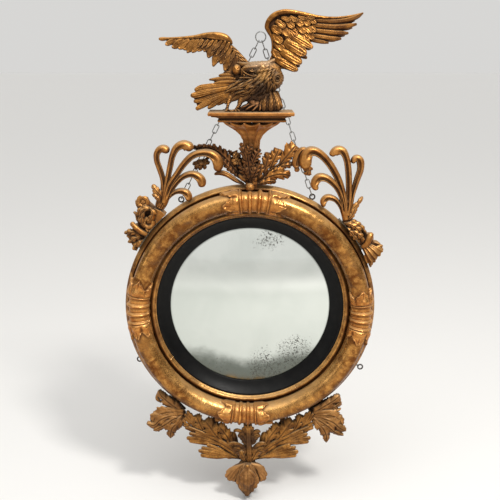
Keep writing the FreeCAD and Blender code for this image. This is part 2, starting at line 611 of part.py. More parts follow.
spray_l = C20([(735, 605), (715, 480), (700, 380), (690, 300), (650, 250), (590, 245), (545, 262), (520, 235), (440, 215),
               (385, 212), (345, 180), (270, 180), (245, 200), (205, 172), (150, 172), (95, 190), (60, 250), (120, 330),
               (105, 400), (175, 452), (240, 445), (275, 390), (330, 420), (400, 470), (340, 515), (420, 545), (560, 575), (690, 632), (735, 632)])
spray_r = C20([(800, 640), (800, 530), (830, 480), (860, 440), (905, 400), (905, 350), (940, 300), (970, 275), (1005, 310),
               (1030, 255), (1075, 245), (1110, 275), (1140, 225), (1190, 200), (1270, 200), (1300, 240), (1400, 205),
               (1380, 260), (1290, 330), (1270, 380), (1215, 375), (1220, 410), (1130, 450), (1120, 475), (1190, 500),
               (1210, 545), (1130, 575), (1040, 570), (1040, 600), (1000, 620), (940, 625), (860, 645)])
leaf_c = C20([(700, 640), (690, 500), (680, 430), (690, 300), (680, 250), (655, 165), (700, 180), (725, 200), (760, 240), (800, 215),
              (860, 240), (865, 300), (830, 370), (810, 400), (850, 440), (830, 490), (800, 540), (820, 640)])
add("crest_spray_left", board(spray_l, -37.5, -25.5), keep=900)
add("crest_spray_right", board(spray_r, -37.5, -25.5), keep=900)
bx, bz = at(250.2, 187.5, -64.0)
add("crest_bead", Part.makeSphere(10.6, V(bx, -64.0, bz)))
add("crest_leaf", board(leaf_c, -63.0, -40.0, -52.0, -0.19, 300.0), keep=900)

# ---- apron --------------------------------------------------------------------
a_sl = C23([(775, 548), (700, 525), (620, 510), (560, 485), (430, 508), (422, 440), (470, 405), (440, 385), (340, 410),
            (335, 370), (350, 335), (400, 325), (320, 290), (310, 230), (330, 190), (365, 190), (390, 235), (430, 215),
            (460, 250), (520, 240), (545, 290), (600, 290), (620, 340), (690, 330), (700, 400), (740, 470)])
a_sr = C23([(765, 548), (880, 515), (990, 490), (1040, 510), (1080, 505), (1090, 460), (1060, 430), (1170, 415), (1175, 360),
            (1150, 340), (1230, 300), (1210, 250), (1190, 220), (1130, 220), (1090, 250), (1060, 245), (1020, 265),
            (960, 280), (930, 330), (870, 320), (840, 380), (830, 450), (800, 500)])
a_cl = C23([(150, 30), (185, 70), (240, 130), (300, 150), (330, 190), (320, 235), (300, 260), (240, 300), (235, 360), (215, 370),
            (170, 320), (90, 320), (50, 270), (60, 255), (100, 250), (100, 210), (155, 160), (125, 110), (120, 60)])
a_cr = C23([(1215, 250), (1225, 200), (1240, 180), (1290, 130), (1350, 100), (1400, 60), (1425, 65), (1420, 110), (1410, 170), (1390, 200),
            (1430, 230), (1450, 290), (1465, 315), (1440, 350), (1370, 330), (1360, 360), (1330, 398), (1300, 380),
            (1290, 320), (1250, 280)])
a_cc = C23([(735, 262), (805, 262), (800, 310), (860, 320), (830, 370), (810, 400), (895, 420), (880, 440), (850, 450),
            (820, 480), (800, 550), (750, 550), (740, 480), (700, 450), (640, 430), (630, 415), (740, 400), (720, 360),
            (680, 325), (740, 315)])
a_pb = C23([(745, 545), (800, 545), (830, 555), (880, 600), (905, 650), (895, 670), (860, 690), (850, 720), (830, 750), (800, 770),
            (760, 795), (720, 755), (690, 710), (640, 670), (610, 675), (620, 620), (680, 570), (715, 550)])
xt, zt = at(248.0, 440.0, -16.0)
zt_low = at(248.0, 474.0, -16.0)[1]
tenon_a = Part.makeBox(22, 12, (-282.0) - zt_low, V(xt - 11, -24.0, zt_low))
NODES["apron_tenon"] = [tenon_a]
ORDER.append("apron_tenon")
for nm in ("back_ring_segments", "front_ring"):
    outs = []
    for s in NODES[nm]:
        if s.BoundBox.intersect(tenon_a.BoundBox):
            s = s.cut(tenon_a)
        outs += clean(s, 40)
    NODES[nm] = outs
add("apron_leaf", board(a_cc, -62.0, -38.0), keep=900)
add("apron_spray_left", board(a_sl, -40.0, -20.0, -30.0), keep=900)
add("apron_spray_right", board(a_sr, -40.0, -20.0, -30.0), keep=900)
add("apron_bud", board(a_pb, -66.0, -20.0, -44.0), keep=900)
add("corner_leaf_left", board(a_cl, -44.0, -16.0), keep=900)
add("corner_leaf_right", board(a_cr, -44.0, -16.0), keep=900)
bx, bz = at(247.8, 465.6, -68.0)
add("apron_bead", Part.makeSphere(4.4, V(bx, -68.0, bz)))
cb = []
for u0, v0, u1, v1 in ((171.0, 398.0, 183.5, 411.0), (322.0, 399.0, 311.0, 411.0)):
    x0, z0 = at(u0, v0, -18)
    x1, z1 = at(u1, v1, -18)
    d = V(x1 - x0, 0, z1 - z0)
    L = d.Length
    b = Part.makeBox(L, 12, 18, V(0, -6, -9))
    b.rotate(V(0, 0, 0), V(0, 1, 0), -math.degrees(math.atan2(d.z, d.x)))
    b.translate(V(x0, -18, z0))
    cb.append(b)
add("corner_blocks", cb, keep=300)

# ---- chain ----------------------------------------------------------------------
xn, zn = at(261.0, 31.0, CHAIN_Y_NAIL)
zn -= RING_R + RING_WIRE
C_NAIL = V(xn, CHAIN_Y_NAIL, zn)
nail_ring = Part.makeTorus(RING_R, RING_WIRE, C_NAIL, V(0, 1, 0))
nail_ring = nail_ring.cut(Part.makeCylinder(RING_BORE, 20, C_NAIL - V(0, 10, 0), V(0, 1, 0)))


def link(a2, r=LINK_WIRE, w=LINK_W):
    """Long link, bends centred on Z, lying in XZ; a2 is bend to bend."""
    h = a2 / 2 - w
    parts = []
    for s in (1, -1):
        c = Part.makeCylinder(r, 2 * h, V(s * w, 0, -h), V(0, 0, 1))
        parts.append(c)
    top = Part.makeTorus(w, r, V(0, 0, h), V(0, 1, 0)).common(Part.makeBox(40, 20, 40, V(-20, -10, h)))
    bot = Part.makeTorus(w, r, V(0, 0, -h), V(0, 1, 0)).common(Part.makeBox(40, 20, 40, V(-20, -10, -h - 40)))
    out = parts[0].fuse([parts[1], top, bot])
    return out.removeSplitter()


def chain_run(c_eye, n):
    """Links from the upper side of an eye to the lower side of the nail ring."""
    d = C_NAIL - c_eye
    d.normalize()
    start = c_eye + V(d.x, 0, d.z) * EYE_R
    end = C_NAIL - V(d.x, 0, d.z) * RING_R
    d = end - start
    L = d.Length
    d.normalize()
    lead = EYE_WIRE + LINK_WIRE + 0.8
    tail_ = RING_WIRE + LINK_WIRE + 0.4
    hook = 2 * LINK_WIRE + LINK_GAP
    a2 = (L + lead + tail_ - hook) / n + hook
    side = d.cross(V(0, 1, 0))
    side.normalize()
    nrm = side.cross(d)
    out = []
    step = 90.0 if n % 2 else 90.0 + 90.0 / (n - 1)
    for i in range(n):
        mid = start + d * (-lead + a2 / 2 + i * (a2 - hook))
        s = link(a2)
        ang = 90.0 + step * i
        m = FreeCAD.Matrix()
        ca, sa = math.cos(math.radians(ang)), math.sin(math.radians(ang))
        ex = side * ca + nrm * sa
        ez = d
        ey = ez.cross(ex)
        m.A11, m.A21, m.A31 = ex.x, ex.y, ex.z
        m.A12, m.A22, m.A32 = ey.x, ey.y, ey.z
        m.A13, m.A23, m.A33 = ez.x, ez.y, ez.z
        m.A14, m.A24, m.A34 = mid.x, mid.y, mid.z
        s.transformShape(m, True)
        out.append(s)
    print("run", n, "L", round(L, 1), "a2", round(a2, 2), "start", tuple(round(c, 3) for c in start), "end", tuple(round(c, 2) for c in end))
    return out, start


links_l, s_l = chain_run(eyes["ul"][1], 21)
links_r, s_r = chain_run(eyes["ur"][1], 19)
ax = s_r - s_l
ax.normalize()
print("hinge axis", tuple(round(c, 6) for c in ax), "from", tuple(round(c, 3) for c in s_l), "to", tuple(round(c, 3) for c in s_r))
print("nail ring centre", tuple(round(c, 3) for c in C_NAIL))
for k in eyes:
    print("eye", k, tuple(round(c, 3) for c in eyes[k][1]))
NODES["chain_links_left"] = links_l
NODES["chain_links_right"] = links_r
NODES["nail_ring"] = [nail_ring]
ORDER += ["chain_links_left", "chain_links_right", "nail_ring"]

# ---- write ------------------------------------------------------------------------
total = 0
lo, hi = [1e9] * 3, [-1e9] * 3
for nm in ORDER:
    sol = NODES[nm]
    shape = sol[0] if len(sol) == 1 else Part.makeCompound(sol)
    bb = shape.BoundBox
    for i, (a, b) in enumerate(((bb.XMin, bb.XMax), (bb.YMin, bb.YMax), (bb.ZMin, bb.ZMax))):
        lo[i], hi[i] = min(lo[i], a), max(hi[i], b)
    ok = all(s.isValid() for s in sol)
    print("%-22s solids %2d vol %10.0f valid %s faces %d" % (nm, len(sol), sum(s.Volume for s in sol), ok, len(shape.Faces)))
    shape.exportStep("parts/%s.step" % nm)
    total += 1
print("nodes", total, "box", [round(a, 1) for a in lo], [round(a, 1) for a in hi])
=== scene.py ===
import bpy
import math
import numpy as np
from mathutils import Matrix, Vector


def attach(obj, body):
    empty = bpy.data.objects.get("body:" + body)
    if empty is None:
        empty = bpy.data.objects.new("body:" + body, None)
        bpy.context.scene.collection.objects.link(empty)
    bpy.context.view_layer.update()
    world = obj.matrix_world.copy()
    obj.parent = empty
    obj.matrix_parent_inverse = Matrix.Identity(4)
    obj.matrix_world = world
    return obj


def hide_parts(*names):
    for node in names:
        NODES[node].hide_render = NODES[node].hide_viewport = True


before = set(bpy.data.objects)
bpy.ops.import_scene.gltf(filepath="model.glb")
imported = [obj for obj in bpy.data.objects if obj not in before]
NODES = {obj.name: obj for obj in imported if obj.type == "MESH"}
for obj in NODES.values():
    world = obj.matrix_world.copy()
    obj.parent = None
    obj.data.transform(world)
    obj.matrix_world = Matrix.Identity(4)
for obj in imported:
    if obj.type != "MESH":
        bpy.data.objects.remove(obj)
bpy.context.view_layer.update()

# ---------------------------------------------------------------- sight line
F_PX, DIST, TH = 813.0, 2000.0, math.radians(17.76)
CU, CV = 250.3, 250.0
PITCH = TH - math.atan((308.37 - 250.0) / F_PX)
CAM = (0.0, -DIST * math.cos(TH) - 38.0, DIST * math.sin(TH))


def at(u, v, y):
    """x, z in mm of the point at depth y on the sight line u, v."""
    u, v, y = np.asarray(u, float), np.asarray(v, float), np.asarray(y, float)
    a, b = (u - CU) / F_PX, (CV - v) / F_PX
    dy = math.cos(PITCH) + b * math.sin(PITCH)
    dz = -math.sin(PITCH) + b * math.cos(PITCH)
    t = (y - CAM[1]) / dy
    return a * t, CAM[2] + dz * t


def crop(ox, oy, s, pts):
    """Points given in an enlarged view: (x, y, depth mm, half width in view pixels)."""
    return [(ox + p[0] / s, oy + p[1] / s) + tuple(p[2:3]) + tuple(w / s for w in p[3:]) for p in pts]


def mm(pts):
    """(u, v, y, w px) -> rows of x, y, z, w in mm."""
    out = []
    for p in pts:
        x, z = at(p[0], p[1], p[2])
        w = 0.0
        if len(p) > 3:
            w = float(at(p[0] + p[3], p[1], p[2])[0] - x)
        out.append((float(x), float(p[2]), float(z), w))
    return out


def spline(pts, n, even=True):
    """n samples of a Catmull-Rom curve through rows of any width, even by arc length of x, y, z."""
    P = np.array(pts, float)
    if len(P) == 2:
        t = np.linspace(0, 1, n)[:, None]
        return P[0] * (1 - t) + P[1] * t
    Q = np.vstack([2 * P[0] - P[1], P, 2 * P[-1] - P[-2]])
    out = []
    for i in range(len(P) - 1):
        p0, p1, p2, p3 = Q[i], Q[i + 1], Q[i + 2], Q[i + 3]
        t = np.linspace(0, 1, 24, endpoint=False)[:, None]
        out.append(0.5 * (2 * p1 + (p2 - p0) * t + (2 * p0 - 5 * p1 + 4 * p2 - p3) * t ** 2
                          + (3 * p1 - p0 - 3 * p2 + p3) * t ** 3))
    out.append(P[-1:])
    D = np.vstack(out)
    L = np.concatenate([[0], np.cumsum(np.linalg.norm(np.diff(D[:, :3], axis=0), axis=1))])
    q = np.linspace(0, L[-1], n)
    return np.stack([np.interp(q, L, D[:, k]) for k in range(D.shape[1])], axis=1)


def smooth01(x, a, b):
    t = np.clip((x - a) / (b - a), 0, 1)
    return t * t * (3 - 2 * t)


def unit(v):
    return v / np.maximum(np.linalg.norm(v, axis=-1, keepdims=True), 1e-9)


def hash3(i, j, k, seed):
    h = (i * 374761393 + j * 668265263 + k * 2147483647 + seed * 144665) & 0xFFFFFFFF
    h = ((h ^ (h >> 13)) * 1274126177) & 0xFFFFFFFF
    h = ((h ^ (h >> 16)) * 2246822519) & 0xFFFFFFFF
    return ((h ^ (h >> 15)) & 0xFFFFFF) / float(0xFFFFFF) * 2 - 1


def noise3(p, scale, seed=1):
    """Smooth value noise in -1..1 at points p (mm); scale is the feature size in mm."""
    q = np.asarray(p, float) / scale
    f = np.floor(q).astype(np.int64)
    r = q - f
    w = r * r * (3 - 2 * r)
    out = 0.0
    for dx in (0, 1):
        for dy in (0, 1):
            for dz in (0, 1):
                c = (w[..., 0] if dx else 1 - w[..., 0]) * (w[..., 1] if dy else 1 - w[..., 1]) * (w[..., 2] if dz else 1 - w[..., 2])
                out = out + c * hash3(f[..., 0] + dx + 5000, f[..., 1] + dy + 5000, f[..., 2] + dz + 5000, seed)
    return out


def fbm(p, scale, seed=1, octaves=3):
    s, amp, out = scale, 1.0, 0.0
    for k in range(octaves):
        out = out + amp * noise3(p, s, seed + 17 * k)
        s, amp = s / 2.03, amp * 0.5
    return out / 1.75


# ---------------------------------------------------------------- mesh tools
class Piece:
    """Collects closed shells, in mm, and turns them into one object in metres."""

    def __init__(self, name):
        self.name, self.v, self.f, self.n = name, [], [], 0

    def add(self, verts, quads, tris=None):
        verts = np.asarray(verts, float)
        quads = np.asarray(quads, np.int64).reshape(-1, 4)
        tris = np.zeros((0, 3), np.int64) if tris is None else np.asarray(tris, np.int64).reshape(-1, 3)
        # outward normals: signed volume has to be positive
        def vol(f, a, b, c):
            return np.einsum("ij,ij->i", verts[f[:, a]], np.cross(verts[f[:, b]], verts[f[:, c]])).sum() if len(f) else 0.0
        s = vol(quads, 0, 1, 2) + vol(quads, 0, 2, 3) + vol(tris, 0, 1, 2)
        if s < 0:
            quads, tris = quads[:, ::-1], tris[:, ::-1]
        self.v.append(verts)
        self.f.append((quads + self.n, tris + self.n))
        self.n += len(verts)
        return self

    def grow(self, other_v):
        return self

    def make(self, mat, replaces=(), slot=None, wobble=0.0, wseed=3, sharp=None, body="mirror"):
        V = np.vstack(self.v)
        if wobble:
            V = V + wobble * np.stack([fbm(V, 9.0, wseed), fbm(V, 9.0, wseed + 5), fbm(V, 9.0, wseed + 9)], axis=1)
        Q = np.vstack([f[0] for f in self.f])
        T = np.vstack([f[1] for f in self.f])
        me = bpy.data.meshes.new(self.name)
        me.vertices.add(len(V))
        me.vertices.foreach_set("co", (V / 1000.0).astype(np.float32).ravel())
        nl = Q.size + T.size
        me.loops.add(nl)
        me.loops.foreach_set("vertex_index", np.concatenate([Q.ravel(), T.ravel()]).astype(np.int32))
        me.polygons.add(len(Q) + len(T))
        starts = np.concatenate([np.arange(len(Q)) * 4, Q.size + np.arange(len(T)) * 3]).astype(np.int32)
        me.polygons.foreach_set("loop_start", starts)
        me.update(calc_edges=True)
        me.validate()
        me.polygons.foreach_set("use_smooth", [True] * len(me.polygons))
        if sharp:
            me.set_sharp_from_angle(angle=math.radians(sharp))
        me.update()
        o = bpy.data.objects.new(self.name, me)
        bpy.context.scene.collection.objects.link(o)
        o.data.materials.append(mat)
        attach(o, body)
        if replaces:
            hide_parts(*replaces)
        return o


def loft(piece, rings, closed=False):
    """Skins equal closed rings; open ends get a fan to their middle, closed=True joins last to first."""
    R = np.asarray(rings, float)
    n, m = R.shape[:2]
    verts = R.reshape(-1, 3)
    i = np.arange(n if closed else n - 1)[:, None] * m
    j = np.arange(m)[None, :]
    a, b = i + j, i + (j + 1) % m
    nxt = (((np.arange(n if closed else n - 1) + 1) % n) * m)[:, None]
    c, d = nxt + (j + 1) % m, nxt + j
    quads = np.stack([a, b, c, d], axis=-1).reshape(-1, 4)
    tris = None
    if not closed:
        c0, c1 = len(verts), len(verts) + 1
        verts = np.vstack([verts, R[0].mean(0), R[-1].mean(0)])
        k = np.arange(m)
        t0 = np.stack([np.full(m, c0), (k + 1) % m, k], axis=1)
        t1 = np.stack([np.full(m, c1), (n - 1) * m + k, (n - 1) * m + (k + 1) % m], axis=1)
        tris = np.vstack([t0, t1])
    return piece.add(verts, quads, tris)


def frames(C, roll=None, front=(0.0, -1.0, 0.0)):
    """Tangent, front normal and side vector along a centre line."""
    T = unit(np.gradient(C, axis=0))
    N0 = np.array(front, float)
    N = unit(N0 - (T @ N0)[:, None] * T)
    B = np.cross(T, N)
    if roll is not None:
        r = np.radians(np.asarray(roll, float))[:, None]
        N, B = N * np.cos(r) + B * np.sin(r), B * np.cos(r) - N * np.sin(r)
    return T, N, B


def strip(piece, pts, front, back, n=80, m=15, roll=None, sweep=0.0, cap0=0.0, cap1=0.0, edge=None, width=None, nrm=(0.0, -1.0, 0.0)):
    """A carved strip along pts (x, y, z, half width). front and back give heights over a (-1..1) and s (0..1).
    cap0, cap1: share of the end half width that is rounded off; sweep: forward lean of the edges, in half widths."""
    S = spline(pts, n)
    C, W = S[:, :3], S[:, 3].copy()
    L = np.concatenate([[0], np.cumsum(np.linalg.norm(np.diff(C, axis=0), axis=1))])
    s = L / L[-1]
    k = np.ones(n)
    if cap1:
        r = cap1 * W[-1]
        d = np.clip((L - (L[-1] - r)) / r, 0, 1)
        k *= np.sqrt(np.clip(1 - d ** 2, 0.0, 1))
    if cap0:
        r = cap0 * W[0]
        d = np.clip((r - L) / r, 0, 1)
        k *= np.sqrt(np.clip(1 - d ** 2, 0.0, 1))
    if cap1 or cap0:
        # pack more rings into the rounded ends
        q = np.linspace(0, 1, n)
        e0 = (cap0 * W[0] / L[-1]) if cap0 else 0.0
        e1 = (cap1 * W[-1] / L[-1]) if cap1 else 0.0
        x = np.linspace(0, 1, n)
        out = x.copy()
        if e1:
            m1 = x > 0.86
            out[m1] = (1 - e1) + e1 * np.sin(np.pi / 2 * (x[m1] - 0.86) / 0.14)
            out[~m1] = x[~m1] / 0.86 * (1 - e1)
        if e0:
            m0 = x < 0.14
            keep = out.copy()
            lo = np.interp(0.14, x, keep)
            out[m0] = e0 * (1 - np.cos(np.pi / 2 * x[m0] / 0.14))
            out[~m0] = e0 + (keep[~m0] - lo) / (1 - lo) * (1 - e0)
        C = np.stack([np.interp(out, s, C[:, i]) for i in range(3)], axis=1)
        W = np.interp(out, s, W)
        L = out * L[-1]
        s = out
        k = np.ones(n)
        if cap1:
            r = cap1 * W[-1]
            d = np.clip((L - (L[-1] - r)) / r, 0, 1)
            k *= np.sqrt(np.clip(1 - d ** 2, 0.0, 1))
        if cap0:
            r = cap0 * W[0]
            d = np.clip((r - L) / r, 0, 1)
            k *= np.sqrt(np.clip(1 - d ** 2, 0.0, 1))
        k = np.maximum(k, 0.02)
    if roll is not None:
        roll = np.interp(s, np.linspace(0, 1, len(roll)), roll)
    T, N, B = frames(C, roll, nrm)
    a = np.sin(np.linspace(-np.pi / 2, np.pi / 2, m))
    A = np.concatenate([a, a[-2:0:-1]])
    isf = np.concatenate([np.ones(m, bool), np.zeros(m - 2, bool)])
    AA, SS = np.meshgrid(A, s)
    Hf = front(AA, SS)
    Hb = back(AA, SS)
    H = np.where(isf[None, :], Hf, Hb)
    Wl = W[:, None] * k[:, None] * np.ones_like(AA)
    if width is not None:
        Wl = Wl * width(AA, SS)
    fwd = 0.0
    if sweep:
        fwd = sweep * np.abs(AA) ** 1.3 * Wl
    R = C[:, None, :] + B[:, None, :] * (AA * Wl)[..., None] + N[:, None, :] * (H * k[:, None])[..., None]
    if sweep:
        R = R + T[:, None, :] * np.asarray(fwd)[..., None]
    loft(piece, R)
    return piece


def ball(piece, c, r, sq=(1, 1, 1), n=24, bump=None):
    th = np.linspace(0.02, np.pi - 0.02, n)
    ph = np.linspace(0, 2 * np.pi, 2 * n, endpoint=False)
    TT, PP = np.meshgrid(th, ph, indexing="ij")
    d = np.stack([np.sin(TT) * np.cos(PP), np.cos(TT), np.sin(TT) * np.sin(PP)], axis=-1)
    rr = r * np.ones(TT.shape)
    if bump is not None:
        rr = rr * bump(TT, PP)
    R = np.array(c) + d * rr[..., None] * np.array(sq)
    return loft(piece, R)


def lathe(piece, prof, a0=0.0, a1=360.0, n=720, wob=0.0, seed=2):
    """Closed (R, y) profile turned clockwise from the top, angles in degrees."""
    Pf = np.array(prof, float)
    full = abs(a1 - a0 - 360) < 1e-6
    ang = np.radians(np.linspace(a0, a1, n, endpoint=not full))
    R = np.stack([Pf[None, :, 0] * np.sin(ang)[:, None], np.repeat(Pf[None, :, 1], n, 0),
                  Pf[None, :, 0] * np.cos(ang)[:, None]], axis=-1)
    if wob:
        R = R + wob * noise3(R, 22.0, seed)[..., None] * np.array([0, -1.0, 0])
    return loft(piece, R, closed=full)


def arc2(p, q, r, n=8):
    """Points of the circle through three (R, y) points, from p to r."""
    (x1, y1), (x2, y2), (x3, y3) = p, q, r
    d = 2 * (x1 * (y2 - y3) + x2 * (y3 - y1) + x3 * (y1 - y2))
    ux = ((x1 ** 2 + y1 ** 2) * (y2 - y3) + (x2 ** 2 + y2 ** 2) * (y3 - y1) + (x3 ** 2 + y3 ** 2) * (y1 - y2)) / d
    uy = ((x1 ** 2 + y1 ** 2) * (x3 - x2) + (x2 ** 2 + y2 ** 2) * (x1 - x3) + (x3 ** 2 + y3 ** 2) * (x2 - x1)) / d
    R = math.hypot(x1 - ux, y1 - uy)
    t0, t1, t2 = (math.atan2(b - uy, a - ux) for a, b in (p, q, r))
    def wrap(t, ref):
        while t - ref > math.pi:
            t -= 2 * math.pi
        while t - ref < -math.pi:
            t += 2 * math.pi
        return t
    t1 = wrap(t1, t0)
    t2 = wrap(t2, t1)
    return [(ux + R * math.cos(t), uy + R * math.sin(t)) for t in np.linspace(t0, t2, n)]


def profile(pts, n=8):
    """Same rows as the construction profiles: a row ending in 'm' is the middle of an arc."""
    out, k, N = [], 0, len(pts)
    while k < N:
        p, q = pts[k], pts[(k + 1) % N]
        if len(q) == 3:
            out += arc2(p[:2], q[:2], pts[(k + 2) % N][:2], n)[:-1]
            k += 2
        else:
            d = math.hypot(q[0] - p[0], q[1] - p[1])
            s = max(1, int(d / 4.0))
            out += [(p[0] + (q[0] - p[0]) * i / s, p[1] + (q[1] - p[1]) * i / s) for i in range(s)]
            k += 1
    return out


# ---------------------------------------------------------------- materials
class NT:
    """Short way to write node trees."""

    def __init__(self, name):
        self.mat = bpy.data.materials.new(name)
        self.mat.use_nodes = True
        self.t = self.mat.node_tree
        self.t.nodes.clear()
        self.out = self.t.nodes.new("ShaderNodeOutputMaterial")
        self.x = 0

    def node(self, kind, **kw):
        n = self.t.nodes.new(kind)
        for k, v in kw.items():
            if hasattr(n, k) and k not in ("inputs",):
                setattr(n, k, v)
        return n

    def link(self, a, b):
        self.t.links.new(a, b)

    def put(self, sock, val):
        if isinstance(val, bpy.types.NodeSocket):
            self.link(val, sock)
        else:
            sock.default_value = val

    def coord(self):
        return self.node("ShaderNodeTexCoord").outputs["Object"]

    def noise(self, vec, scale, detail=4.0, rough=0.55, dist=0.0, out="Fac"):
        n = self.node("ShaderNodeTexNoise")
        self.link(vec, n.inputs["Vector"])
        n.inputs["Scale"].default_value = scale
        n.inputs["Detail"].default_value = detail
        n.inputs["Roughness"].default_value = rough
        n.inputs["Distortion"].default_value = dist
        return n.outputs[out]

    def voro(self, vec, scale, feature="F1", out="Distance", rand=1.0):
        n = self.node("ShaderNodeTexVoronoi", feature=feature)
        self.link(vec, n.inputs["Vector"])
        n.inputs["Scale"].default_value = scale
        n.inputs["Randomness"].default_value = rand
        return n.outputs[out]

    def remap(self, val, a, b, c=0.0, d=1.0, smooth=True):
        n = self.node("ShaderNodeMapRange")
        n.interpolation_type = "SMOOTHSTEP" if smooth else "LINEAR"
        self.put(n.inputs["Value"], val)
        for k, v in (("From Min", a), ("From Max", b), ("To Min", c), ("To Max", d)):
            n.inputs[k].default_value = v
        return n.outputs["Result"]

    def math(self, op, a, b=0.0, c=None):
        n = self.node("ShaderNodeMath", operation=op)
        self.put(n.inputs[0], a)
        self.put(n.inputs[1], b)
        if c is not None:
            self.put(n.inputs[2], c)
        return n.outputs[0]

    def mix(self, fac, a, b):
        n = self.node("ShaderNodeMix", data_type="RGBA")
        self.put(n.inputs[0], fac)
        self.put(n.inputs[6], a)
        self.put(n.inputs[7], b)
        return n.outputs[2]

    def mixf(self, fac, a, b):
        n = self.node("ShaderNodeMix", data_type="FLOAT")
        self.put(n.inputs[0], fac)
        self.put(n.inputs[2], a)
        self.put(n.inputs[3], b)
        return n.outputs[0]

    def scale(self, vec, s):
        n = self.node("ShaderNodeMapping")
        self.link(vec, n.inputs["Vector"])
        n.inputs["Scale"].default_value = s
        return n.outputs["Vector"]

    def normal_z(self):
        g = self.node("ShaderNodeNewGeometry")
        s = self.node("ShaderNodeSeparateXYZ")
        self.link(g.outputs["Normal"], s.inputs[0])
        return s.outputs["Z"]

    def pointy(self):
        return self.node("ShaderNodeNewGeometry").outputs["Pointiness"]

    def ao(self, dist, samples=6):
        n = self.node("ShaderNodeAmbientOcclusion")
        n.samples = samples
        n.inputs["Distance"].default_value = dist
        return n.outputs["AO"]

    def bump(self, height, strength, distance, normal=None):
        n = self.node("ShaderNodeBump")
        self.put(n.inputs["Height"], height)
        n.inputs["Strength"].default_value = strength
        n.inputs["Distance"].default_value = distance
        if normal is not None:
            self.link(normal, n.inputs["Normal"])
        return n.outputs["Normal"]

    def bsdf(self, color, rough, metal=0.0, normal=None, spec=0.5, coat=0.0, coat_rough=0.2):
        b = self.node("ShaderNodeBsdfPrincipled")
        self.put(b.inputs["Base Color"], color)
        self.put(b.inputs["Roughness"], rough)
        self.put(b.inputs["Metallic"], metal)
        b.inputs["Specular IOR Level"].default_value = spec
        b.inputs["Coat Weight"].default_value = coat
        b.inputs["Coat Roughness"].default_value = coat_rough
        if normal is not None:
            self.link(normal, b.inputs["Normal"])
        self.link(b.outputs[0], self.out.inputs[0])
        return self.mat


def col(r, g, b):
    return (r, g, b, 1.0)


